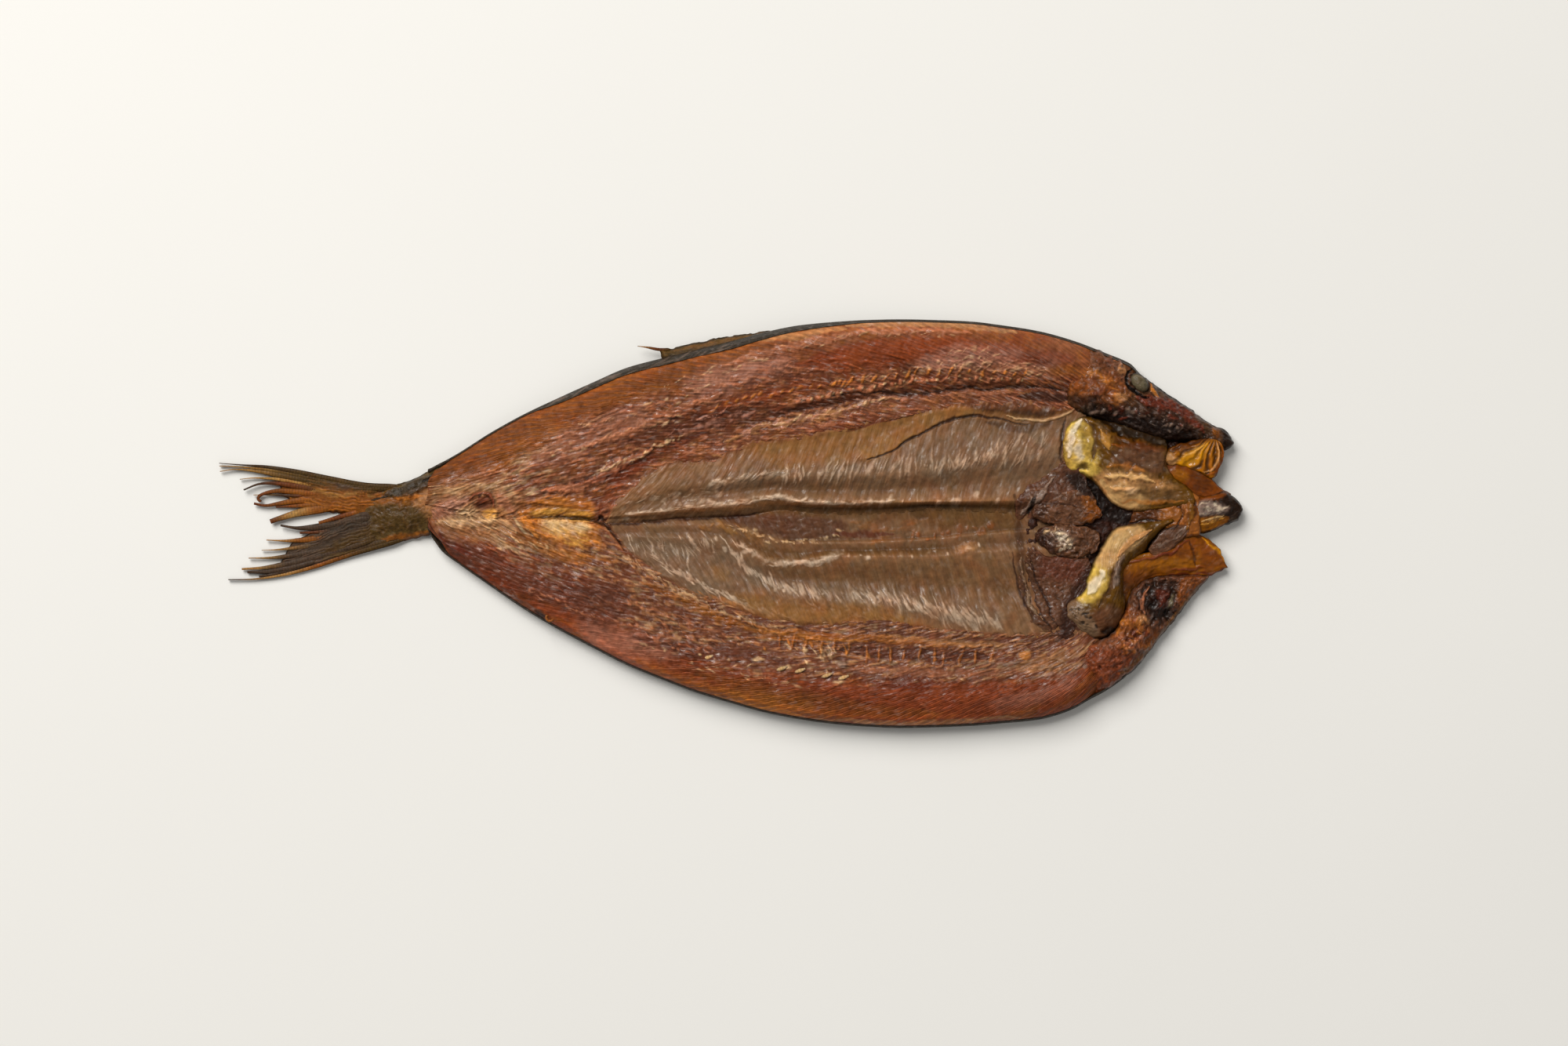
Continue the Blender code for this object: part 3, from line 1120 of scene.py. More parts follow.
BACK_RIM = Line((
    (-89, 15.6), (-85, 17.3), (-80, 20), (-70, 26.3), (-60, 31.8), (-50, 36.5), (-40, 41),
    (-30, 45.3), (-20, 48), (-10, 50.6), (0, 53), (10, 55.6), (20, 57.6), (30, 58.6), (40, 59.2),
    (50, 59.4), (60, 59.2), (70, 58.8), (80, 57.6), (90, 56), (100, 53.3), (110, 49.5),
    (117, 46.5), (121, 43),
))
FRONT_RIM = Line((
    (-89, -1.0), (-87, -4), (-84, -8), (-80, -11), (-70, -18), (-60, -24.8), (-50, -30.7),
    (-40, -36), (-30, -41.1), (-20, -45.2), (-10, -49), (0, -52), (10, -54.8), (20, -56.8),
    (30, -58.2), (40, -59), (50, -59.4), (60, -59.2), (70, -58.8), (80, -58), (90, -57),
    (95, -55.8), (100, -54), (105, -51.2), (110, -48.5), (115, -45), (121, -39.5),
))
CREASE = Line((
    (-89, 4.2), (-80, 3.0), (-65, 1.6), (-45, 0.8), (-36, 0.2), (-25, 0.5), (-15, 1.5), (-5, 1.8),
    (5, 2.3), (10, 3.2), (15, 3.9), (25, 3.0), (35, 2.7), (50, 3.2), (57, 4.0), (75, 3.4),
    (100, 2.5),
))
BACK_BORDER = Line((
    (-45, -1.0), (-37, 1.2), (-35, 5), (-30, 11), (-25, 15.2), (-20, 18.0), (-10, 20.0),
    (-4, 20.6), (0, 22.4), (5, 24.6), (10, 25.6), (20, 27), (30, 29), (40, 31), (50, 33.4),
    (60, 35.4), (75, 36.2), (103, 35),
))
FRONT_BORDER = Line((
    (-45, 1.0), (-37, -0.8), (-33, -5), (-30, -9), (-25, -13), (-20, -16.5), (-15, -20),
    (-10, -22.5), (0, -25.4), (10, -28.5), (20, -30.4), (30, -31), (44, -30.6), (60, -32.8),
    (80, -34.2), (103, -34),
))
SPINE_GROOVE = Line((
    (-60, 9.0), (-40, 12.0), (-30, 16.5), (-15, 23.5), (0, 27.2), (10, 30), (20, 32.6), (30, 34.2),
    (40, 36.2), (50, 37.8), (60, 38.6), (70, 39.3), (90, 39.5), (100, 38.2), (121, 33),
))


@dataclass(frozen=True)
class Contour:
    """A line that runs the length of the body at a height.

    Attributes:
        across: Its distance from the fish's axis, along the fish.
        height: Its height, along the fish.
    """

    across: Callable[[Array], Array]
    height: Line


def heights(tall: Sequence[float]) -> Line:
    """Heights at the tail, vent, cavity's tip, first third, middle, last third and gills."""
    return Line(tuple(zip((-89, -62, -36, 0, 45, 85, 121), tall)))


def between(first: Callable, second: Callable, share: float) -> Callable[[Array], Array]:
    """A line that lies at a share of the way from one line to another."""
    return lambda x: first(x) * (1.0 - share) + second(x) * share


def beside(line: Callable, step: float) -> Callable[[Array], Array]:
    """A line at a step from another."""
    return lambda x: line(x) + step


class Body:
    """The height of the opened fish, from contours that run from the tail to the gills.

    Attributes:
        least_gap: Least distance between one contour and the next.
        roll: The fold beside the crease.
        hump: The rise between that fold and the back fillet.
        lip: The front lining's edge at the trough.
        ridge: The crest of its fold.
        bench: The hollow outside that fold.
        rise: The slope up to the front fillet.
    """

    least_gap = 0.15
    roll = Line((
        (-60, 3.6), (-36, 2.2), (-30, 2.6), (-10, 5.2), (0, 6.0), (7, 7.2), (14, 8.0), (20, 6.8),
        (40, 6.4), (75, 6.8), (100, 7.5),
    ))
    hump = Line((
        (-60, 6), (-36, 4.2), (-25, 8.5), (0, 13), (20, 14), (50, 15), (65, 17.5), (80, 20),
        (100, 21),
    ))
    lip = Line((
        (-60, -1), (-36, -1.2), (0, -0.4), (5, -2.2), (10, -4), (15, -5.4), (20, -5.8), (40, -5.6),
        (50, -5.2), (60, -4.6), (70, -3.6), (90, -2.4),
    ))
    ridge = Line((
        (-60, -4), (-30, -4), (-10, -4.6), (0, -6), (5, -8.4), (10, -10.8), (14, -11.8),
        (20, -11.2), (30, -9.8), (58, -9.8), (75, -8.4), (100, -7.6),
    ))
    bench = Line((
        (-60, -6), (-30, -5.4), (-10, -7.6), (0, -11), (10, -15), (40, -16.5), (100, -18),
    ))
    rise = Line((
        (-60, -9), (-30, -7.6), (-10, -14), (0, -18.5), (15, -21.5), (40, -23.5), (60, -25.5),
        (100, -28.5),
    ))

    def __init__(self) -> None:
        """Lists the contours from the front rim to the back rim."""
        back, front, crease = BACK_RIM, FRONT_RIM, CREASE
        border, groove = FRONT_BORDER, SPINE_GROOVE
        foot = beside(border, -2.2)
        rows = (
            (front, (3.4, 4.0, 4.4, 4.6, 4.6, 4.4, 4.0)),
            (beside(front, 0.9), (4.2, 5.4, 6.4, 7.0, 7.0, 6.6, 5.8)),
            (beside(front, 3.0), (5.2, 7.2, 8.6, 9.4, 9.4, 9.0, 8.0)),
            (between(front, foot, 0.36), (5.8, 8.4, 10.0, 10.4, 10.4, 10.2, 9.4)),
            (between(front, foot, 0.66), (6.0, 8.6, 9.2, 8.8, 8.6, 8.6, 8.6)),
            (foot, (5.8, 7.8, 7.2, 7.4, 7.2, 7.2, 7.0)),
            (border, (5.6, 7.6, 6.8, 7.2, 7.0, 6.8, 6.6)),
            (self.rise, (5.4, 7.4, 6.0, 6.5, 6.7, 6.6, 6.0)),
            (self.bench, (5.3, 7.2, 5.6, 4.6, 4.2, 4.3, 4.8)),
            (self.ridge, (5.2, 7.0, 5.4, 5.3, 5.6, 5.0, 4.6)),
            (between(self.ridge, self.lip, 0.55), (5.1, 6.8, 5.2, 4.3, 4.0, 4.0, 4.1)),
            (self.lip, (5.0, 6.6, 5.2, 4.5, 4.3, 4.1, 3.8)),
            (beside(self.lip, 1.2), (5.0, 6.6, 5.2, 3.9, 3.5, 3.6, 3.5)),
            (crease, (5.0, 6.5, 5.2, 3.3, 3.5, 3.7, 3.5)),
            (beside(crease, 1.1), (5.0, 6.5, 5.6, 4.1, 3.7, 3.85, 3.6)),
            (self.roll, (5.4, 7.0, 6.5, 6.8, 6.9, 6.3, 4.8)),
            (between(self.roll, self.hump, 0.45), (5.6, 7.2, 6.6, 5.7, 5.5, 5.3, 4.8)),
            (self.hump, (5.8, 7.6, 7.0, 7.0, 7.3, 7.1, 6.0)),
            (between(self.hump, BACK_BORDER, 0.75), (5.8, 7.9, 7.0, 6.0, 5.2, 5.0, 5.4)),
            (BACK_BORDER, (5.8, 8.0, 7.0, 6.4, 5.8, 5.5, 5.4)),
            (beside(groove, 0.2), (5.8, 8.0, 7.6, 6.5, 5.7, 5.6, 5.7)),
            (beside(groove, 2.0), (5.9, 8.0, 7.9, 7.2, 7.0, 6.9, 6.8)),
            (between(groove, back, 0.32), (6.0, 8.4, 9.4, 9.2, 8.8, 8.8, 8.4)),
            (between(groove, back, 0.62), (5.8, 8.2, 10.0, 10.4, 10.4, 10.0, 9.4)),
            (beside(back, -3.2), (5.2, 7.0, 8.6, 9.4, 9.5, 9.0, 8.2)),
            (beside(back, -0.9), (4.2, 5.4, 6.4, 7.0, 7.0, 6.6, 6.0)),
            (back, (3.4, 4.0, 4.4, 4.6, 4.6, 4.4, 4.0)),
        )
        self.contours = tuple(Contour(line, heights(tall)) for line, tall in rows)

    def height(self, x: Array, y: Array) -> Array:
        """The smooth height at any place: across the fish, a Hermite curve through the contours.

        Args:
            x: Places along the fish.
            y: Places across the fish.

        Returns:
            The heights.
        """
        across = [contour.across(x) for contour in self.contours]
        for k in range(1, len(across)):
            across[k] = np.maximum(across[k], across[k - 1] + self.least_gap)
        tall = [contour.height(x) for contour in self.contours]
        steep = [(b - a) / (d - c) for a, b, c, d in zip(tall, tall[1:], across, across[1:])]
        level = np.zeros(x.shape)
        slopes = [level, *(harmonic(*pair) for pair in zip(steep, steep[1:])), level]
        found = np.where(y < across[0], tall[0], tall[-1])
        for k, (a, b) in enumerate(zip(across, across[1:])):
            width = b - a
            t = (y - a) / width
            here = hermite(t, width, tall[k : k + 2], slopes[k : k + 2])
            found = np.where((t >= 0.0) & (t <= 1.0), here, found)
        return found


BODY = Body()
TAIL_CUT = -88.6


class Side(Enum):
    """Which fillet: the one that keeps the back fin, or the other."""

    BACK = 1
    FRONT = -1

    @property
    def rim(self) -> Line:
        """The fillet's outer edge."""
        return BACK_RIM if self is Side.BACK else FRONT_RIM

    @property
    def border(self) -> Line:
        """The belly lining's outer edge on this side."""
        return BACK_BORDER if self is Side.BACK else FRONT_BORDER

    def named(self, thing: str) -> str:
        """The name of this side's own thing."""
        return f"{self.name.lower()}_{thing}"


# ---------------------------------------------------------------- fillets


VENT_MARKS: tuple[Mark, ...] = (
    Area(Tone.TAN_FLESH, ((-88, 9), (-80, 11), (-70, 12), (-62, 9), (-60, 2), (-66, -4), (-76, -5),
        (-86, -1)), 2.5, strength=0.55, oil=0.3),
    Area(Tone.ORANGE_FAT, ((-62, 2), (-57, 7), (-50, 8), (-42, 7.4), (-39, 4), (-41, 1),
        (-50, 0.5)), 1.2, lift=0.3, oil=0.75),
    Area(Tone.YELLOW_FAT, ((-59, 3), (-52, 4.6), (-43, 4.4), (-40, 2.5), (-42, 0.8), (-52, 1.2)),
        0.8),
    Area(Tone.ORANGE_FAT, ((-60, 1), (-50, 1), (-41, 0), (-38, -3), (-38, -7), (-47, -6),
        (-54, -5)), 2, lift=0.3, oil=0.55),
    Area(Tone.PALE_FAT, ((-55, 1), (-48, 1), (-42, 0), (-41, -2), (-46, -3), (-51, -3)), 1.6,
        lift=0.2),
    Beads(Tone.CREAM_AND_GLINT, ((-53, -0.4), (-49, 0.2), (-45, 0), (-42, -1), (-45, -2), (-49, -1.6)), 1,
        (1.7, 0.28), -28, 0.9, 81, lift=0.2, oil=0.9),
    Beads(Tone.YELLOW_FAT, ((-52, -2), (-48, -3), (-44, -3.4), (-41, -4.4), (-44, -5), (-49, -4)),
        0.9, (1.6, 0.3), -25, 0.9, 82, lift=0.15),
    Stroke(Tone.BLOOD_AND_SHADOW, ((-58, 1.9), (-50, 1.9), (-41, 1.2)), 0.22, 0.3, broken=0.5, lift=-0.2),
    Beads(Tone.ORANGE_FLESH, ((-58, 5), (-52, 6.4), (-46, 6.6), (-42, 5), (-48, 4)), 1.4, (2, 0.5),
        5, 0.8, 84, strength=0.6, lift=-0.15),
    Beads(Tone.CREAM_AND_GLINT, ((-88, 7), (-84, 9.4), (-78, 10.6), (-72, 11.6), (-66, 11), (-62, 8)), 1.5,
        (1.8, 0.45), 8, 1, 85, strength=0.6, lift=0.25, oil=0.9),
    Beads(Tone.TAN_FLESH, ((-88, 5), (-82, 3.4), (-78, 5), (-73, 2.4), (-68, 1), (-64, 3)), 1.3,
        (1.5, 0.7), 0, 1, 86, lift=0.3),
    Beads(Tone.CREAM_AND_GLINT, ((-80, 3.6), (-76, 2), (-71, 1.6), (-67, 4.4), (-64, 6.4)), 1.3, (1.1, 0.4),
        -20, 1, 87, lift=0.3, oil=0.9),
    Stroke(Tone.ORANGE_FAT, ((-62, 3.4), (-59, 0.5), (-56, -4)), lift=0.25),
    Stroke(Tone.CREAM_AND_GLINT, ((-63.5, 2), (-60.5, -1.5), (-58, -4.6)), 0.4),
    Stroke(Tone.AMBER_FLESH, ((-64, -3), (-56, -6), (-48, -9), (-40, -11)), 2.4, 1.6, oil=0.35),
    Stroke(Tone.ORANGE_FAT, ((-56, -6), (-48, -8.2), (-40, -9.6), (-33, -11)), 0.8, 1,
        strength=0.5),
    Beads(Tone.TAN_FLESH, ((-84, 0), (-76, -1.6), (-69, -2), (-62, -4.6), (-54, -6.6),
        (-46, -8.4)), 1, (1.4, 0.4), -28, 0.9, 89, lift=0.25, oil=0.8),
    Beads(Tone.CREAM_AND_GLINT, ((-72, -0.6), (-66, -2.6), (-60, -4.4), (-53, -6.4)), 1.6, (1.1, 0.3), -28,
        0.9, 90, lift=0.25, oil=0.9),
    Area(Tone.PINK_SHEEN, ((-87, 4), (-82, 7), (-77, 8), (-78, 5), (-84, 2)), 1.4, strength=0.7,
        lift=0.3, oil=0.8),
    Area(Tone.CREAM_AND_GLINT, ((-86, 0.6), (-80, 2), (-74, 1.6), (-69, 2.6), (-70, 0.4), (-78, -0.6)),
        strength=0.6, lift=0.4, oil=0.9),
    Spot(Tone.DEEP_RED, (-72, 6), (3.6, 2.4), 20, lift=-0.7),
    Stroke(Tone.DEEP_RED, ((-76.6, 6.6), (-74.4, 8.6), (-71.4, 8.8), (-69.4, 7), (-68.8, 4.4)),
        0.5, lift=0.7, oil=0.8),
    Area(Tone.ROSE_FLESH, ((-68.6, 9), (-64, 8), (-62.6, 3), (-65.6, 1), (-67.6, 4)), 1.2,
        lift=0.5, oil=0.8),
    Spot(Tone.YELLOW_FAT, (-70, 3), (2.4, 1.5), lift=0.3),
    Spot(Tone.TAN_FLESH, (-66, 3), (2.4, 1.6), -30),
    Spot(Tone.CREAM_AND_GLINT, (-76, 3), (3, 1.4), strength=0.5),
    Stroke(Tone.BLOOD_AND_SHADOW, ((-38.6, 1), (-37.4, 1.6), (-36.6, 0.4)), 0.7, lift=-0.8),
)

BACK_MARKS: tuple[Mark, ...] = (
    Area(Tone.ORANGE_FLESH, ((-84, 14), (-66, 26), (-50, 36), (-34, 43), (-30, 38), (-46, 29),
        (-62, 20), (-76, 12)), 3.5, strength=0.7),
    Area(Tone.AMBER_FLESH, ((-80, 12), (-66, 22), (-54, 29), (-50, 24), (-62, 16), (-74, 10)), 3.5,
        strength=0.5),
    Area(Tone.PINK_SHEEN, ((-8, 37), (4, 41), (18, 46), (16, 49), (0, 47), (-12, 42)), 3,
        strength=0.6),
    Area(Tone.PINK_SHEEN, ((-58, 17), (-48, 20), (-36, 25), (-24, 29), (-26, 34), (-40, 30),
        (-54, 23)), 3, strength=0.35),
    Area(Tone.SCARLET, ((24, 44), (40, 45), (56, 47), (60, 50), (46, 50), (28, 48)), 2.5),
    Area(Tone.SCARLET, ((62, 50), (80, 50), (98, 47), (96, 49), (80, 53), (64, 54)), 2,
        strength=0.7),
    Area(Tone.PINK_SHEEN, ((56, 45), (72, 46), (92, 45), (94, 48), (74, 50), (58, 49)), 2.4),
    Area(Tone.ORANGE_FLESH, ((-30, 42), (-8, 48), (12, 53), (10, 50), (-10, 45), (-28, 38)), 2.4,
        strength=0.6),
    Area(Tone.TAN_FLESH, ((-88, 8), (-82, 14), (-74, 13), (-78, 10)), 2, strength=0.6),
    Stroke(Tone.ROSE_FLESH, ((-88, 10), (-80, 13), (-72, 14), (-64, 13), (-58, 15)), 2.2, 2,
        broken=0.7, strength=0.55, oil=0.7),
    Stroke(Tone.CREAM_AND_GLINT, ((-84, 8.4), (-77, 10.2), (-70, 10.4), (-64, 8)), 0.7, 0.8, broken=1.2,
        strength=0.5),
    # Partly rose flesh, partly painted sheen along a glossy ridge.
    Stroke(Tone.ROSE_FLESH, ((-55, 10), (-49, 10), (-43, 11), (-37, 14), (-30, 18), (-23, 22)),
        1.5, 1.6, broken=0.7, strength=0.7, lift=0.55, oil=1),
    Stroke(Tone.DEEP_RED, ((-46, 12), (-38, 13), (-30, 15), (-24, 19), (-16, 23), (-8, 26)), 1.9,
        1.6, strength=0.6, oil=0.8),
    Stroke(Tone.RED_FLESH, ((-38, 3), (-36, 7), (-33, 12), (-28, 16), (-22, 20)), 1.5, 1.6,
        strength=0.6, lift=-0.1),
    Stroke(Tone.PURPLE_FLESH, ((-34, 24), (-26, 25), (-16, 28), (-6, 30), (4, 32), (14, 35)), 2.6,
        2.4, strength=0.6, lift=-0.15, oil=0.75),
    # Painted glints: short pale dashes on the wet flesh, here and in the pale rows that follow.
    Beads(Tone.CREAM_AND_GLINT, ((-39, 15.4), (-34, 16.8), (-29, 18.6), (-24, 21), (-20, 23.6), (-14, 25)),
        0.8, (0.9, 0.2), 26, 0.8, 101, lift=0.3, oil=1),
    # Partly rose flesh, partly painted glints along that ridge.
    Beads(Tone.ROSE_FLESH, ((-54, 9.4), (-48, 10), (-43, 11.6), (-38, 13.6)), 0.6, (0.9, 0.3), 20,
        1, 102, lift=0.35, oil=1),
    Beads(Tone.CREAM_AND_GLINT, ((-54, 19), (-48, 21.4), (-42, 22.4), (-36, 25), (-30, 27), (-22, 28.6),
        (-14, 31)), 1.1, (0.8, 0.22), 24, 1, 104, lift=0.25, oil=1),
    Beads(Tone.CREAM_AND_GLINT, ((-44, 28), (-36, 30.4), (-28, 31.6), (-22, 35), (-14, 37.4), (-6, 39)), 1.3,
        (0.9, 0.2), 18, 1, 105, strength=0.65, lift=0.25, oil=1),
    Beads(Tone.CREAM_AND_GLINT, ((-20, 40), (-8, 43), (4, 46.6), (14, 50), (26, 53), (38, 54.8), (52, 55.4),
        (66, 54)), 1.4, (0.9, 0.2), 14, 1, 106, strength=0.7, lift=0.2, oil=1),
    Beads(Tone.ROSE_FLESH, ((-4, 41), (6, 43), (16, 45.4), (30, 46.6), (20, 43.4), (6, 40.4)), 1.1,
        (1, 0.3), 16, 1, 107, lift=0.2, oil=1),
    Beads(Tone.CREAM_AND_GLINT, ((38, 41.8), (50, 44), (64, 45.4), (78, 45.6), (92, 44.4), (84, 47),
        (66, 48.2)), 1.3, (0.8, 0.25), 12, 1, 108, strength=0.7, lift=0.25, oil=1),
    Stroke(Tone.ROSE_FLESH, ((-42, 23), (-34, 25), (-26, 28), (-18, 32), (-10, 35), (-2, 38)), 1.5,
        2, broken=0.6, lift=0.4, oil=0.9),
    Stroke(Tone.ROSE_FLESH, ((-55, 20), (-46, 23), (-38, 27), (-30, 30), (-20, 35)), 3.2, 3,
        broken=0.9, strength=0.55, oil=0.85),
    Stroke(Tone.ROSE_FLESH, ((-2, 46), (10, 49.6), (22, 52.2), (34, 54.2)), 1.3, 1.6, broken=0.8,
        lift=0.25, oil=1),
    Stroke(Tone.TAN_FLESH, ((8, 53.4), (16, 54.6), (26, 56), (34, 56.8)), 1.3, 1, broken=0.4,
        strength=0.7),
    Stroke(Tone.TAN_FLESH, ((34, 57.8), (50, 58.4), (66, 57.8), (84, 56)), 1.3, 1.2, broken=0.5,
        oil=0.4),
    Stroke(Tone.ROSE_FLESH, ((30, 54.6), (42, 55.8), (56, 56.2), (70, 55.2)), 0.9, 1.4, broken=0.8,
        lift=0.2, oil=1),
    Stroke(Tone.RED_FLESH, ((20, 46), (36, 50), (56, 51), (76, 50), (92, 47)), 3.4, 2.6, oil=0.45),
    Stroke(Tone.ROSE_FLESH, ((55, 46), (68, 46), (84, 45), (98, 43)), 2.2, 2.2, broken=0.8,
        strength=0.6, oil=0.8),
    Stroke(Tone.PURPLE_FLESH, ((84, 50), (96, 47), (106, 44)), 3.4, 2.6, strength=0.5),
    Spot(Tone.ORANGE_FAT, (107, 42), (6, 3.4), -20, strength=0.6),
    Spot(Tone.AMBER_FLESH, (98, 44.5), (5, 1.8), -5, strength=0.7),
    Stroke(Tone.RED_FLESH, ((-10, 31), (0, 35), (12, 38), (24, 40), (36, 41)), 1.6, 1.6,
        broken=0.5, strength=0.6, oil=0.8),
    Beads(Tone.ORANGE_FAT, ((-6, 33.6), (6, 36.8), (20, 39.2), (34, 41.2)), 2.6, (1, 0.42), 50,
        seed=3, strength=0.6, lift=0.25),
    Stroke(Tone.TAN_FLESH, ((-2, 23.4), (4, 26), (12, 28.8), (22, 30.6), (32, 33), (44, 36.2),
        (50, 37)), 1, 1.6, broken=1.6, strength=0.7, lift=0.3, oil=1),
    Stroke(Tone.PURPLE_FLESH, ((8, 31.6), (20, 33.8), (32, 36.2), (44, 38.4)), 1, 1.2,
        strength=0.7, lift=-0.2, oil=0.9),
    # Painted sheen and glints on the wet flesh.
    Beads(Tone.PINK_SHEEN, ((4, 26.4), (14, 29.4), (26, 31.6), (36, 34), (46, 36.6), (52, 37)),
        0.8, (0.9, 0.3), 25, 1, 109, lift=0.2, oil=1),
    Beads(Tone.CREAM_AND_GLINT, ((10, 28.6), (22, 31.2), (34, 33.8), (46, 36.6)), 1.3, (0.7, 0.2), 30, 0.9,
        110, strength=0.7, lift=0.2, oil=1),
    Stroke(Tone.BLOOD_AND_SHADOW, ((30, 37.4), (44, 38.4), (51, 38.1), (55, 38), (62, 38.6), (69, 39.4),
        (76, 39.2), (84, 40), (92, 39.6), (101, 38)), 0.4, 0.9, 0.4, 0.9, lift=-0.3),
    Area(Tone.PINK_SHEEN, ((60, 45), (72, 46), (84, 49), (80, 52), (66, 51), (56, 48)), 2.4,
        strength=0.6, oil=0.9),
    Area(Tone.PURPLE_FLESH, ((-16, 26), (-6, 27), (4, 31), (2, 34), (-8, 32), (-18, 29)), 2,
        strength=0.5),
    Beads(Tone.PINK_SHEEN, ((-16, 26.4), (-8, 28), (0, 30.4), (6, 32.6), (-4, 31.4), (-12, 29.4)),
        1.2, (1.1, 0.4), 25, 1, 145, lift=0.3, oil=1),
    # Painted glints on the wet flesh.
    Beads(Tone.CREAM_AND_GLINT, ((62, 46.6), (70, 48), (78, 49.6), (72, 50.4), (64, 49.4)), 1.3, (0.9, 0.3),
        30, 1, 146, strength=0.6, lift=0.2, oil=1),
    Beads(Tone.ROSE_FLESH, ((20, 35.4), (32, 38), (44, 40.4), (56, 41.4), (70, 41.9), (84, 41.6)),
        2.9, (0.95, 0.8), 60, seed=11, lift=0.75, oil=1),
    Beads(Tone.CREAM_AND_GLINT, ((21, 35.8), (33, 38.4), (45, 40.8), (57, 41.8), (71, 42.3), (85, 42)), 2.9,
        (0.45, 0.35), 60, seed=11, lift=0.2),
    Beads(Tone.ORANGE_FAT, ((30, 40.4), (44, 42.8), (58, 43.9), (72, 44.4), (86, 43.8)), 2.9,
        (1.1, 0.42), 55, seed=12, lift=0.45),
    Beads(Tone.CREAM_AND_GLINT, ((56, 44.8), (66, 45.6), (78, 45.8), (90, 44.6)), 2.2, (0.8, 0.5), 30, 0.9,
        14, strength=0.5, lift=0.3),
    Stroke(Tone.ROSE_FLESH, ((62, 37.4), (72, 38), (84, 38.4)), 0.8, 0.9, strength=0.6, lift=0.3),
    Stroke(Tone.BLOOD_AND_SHADOW, ((84, 37), (92, 37), (100, 36)), 1.5, 1.2),
)

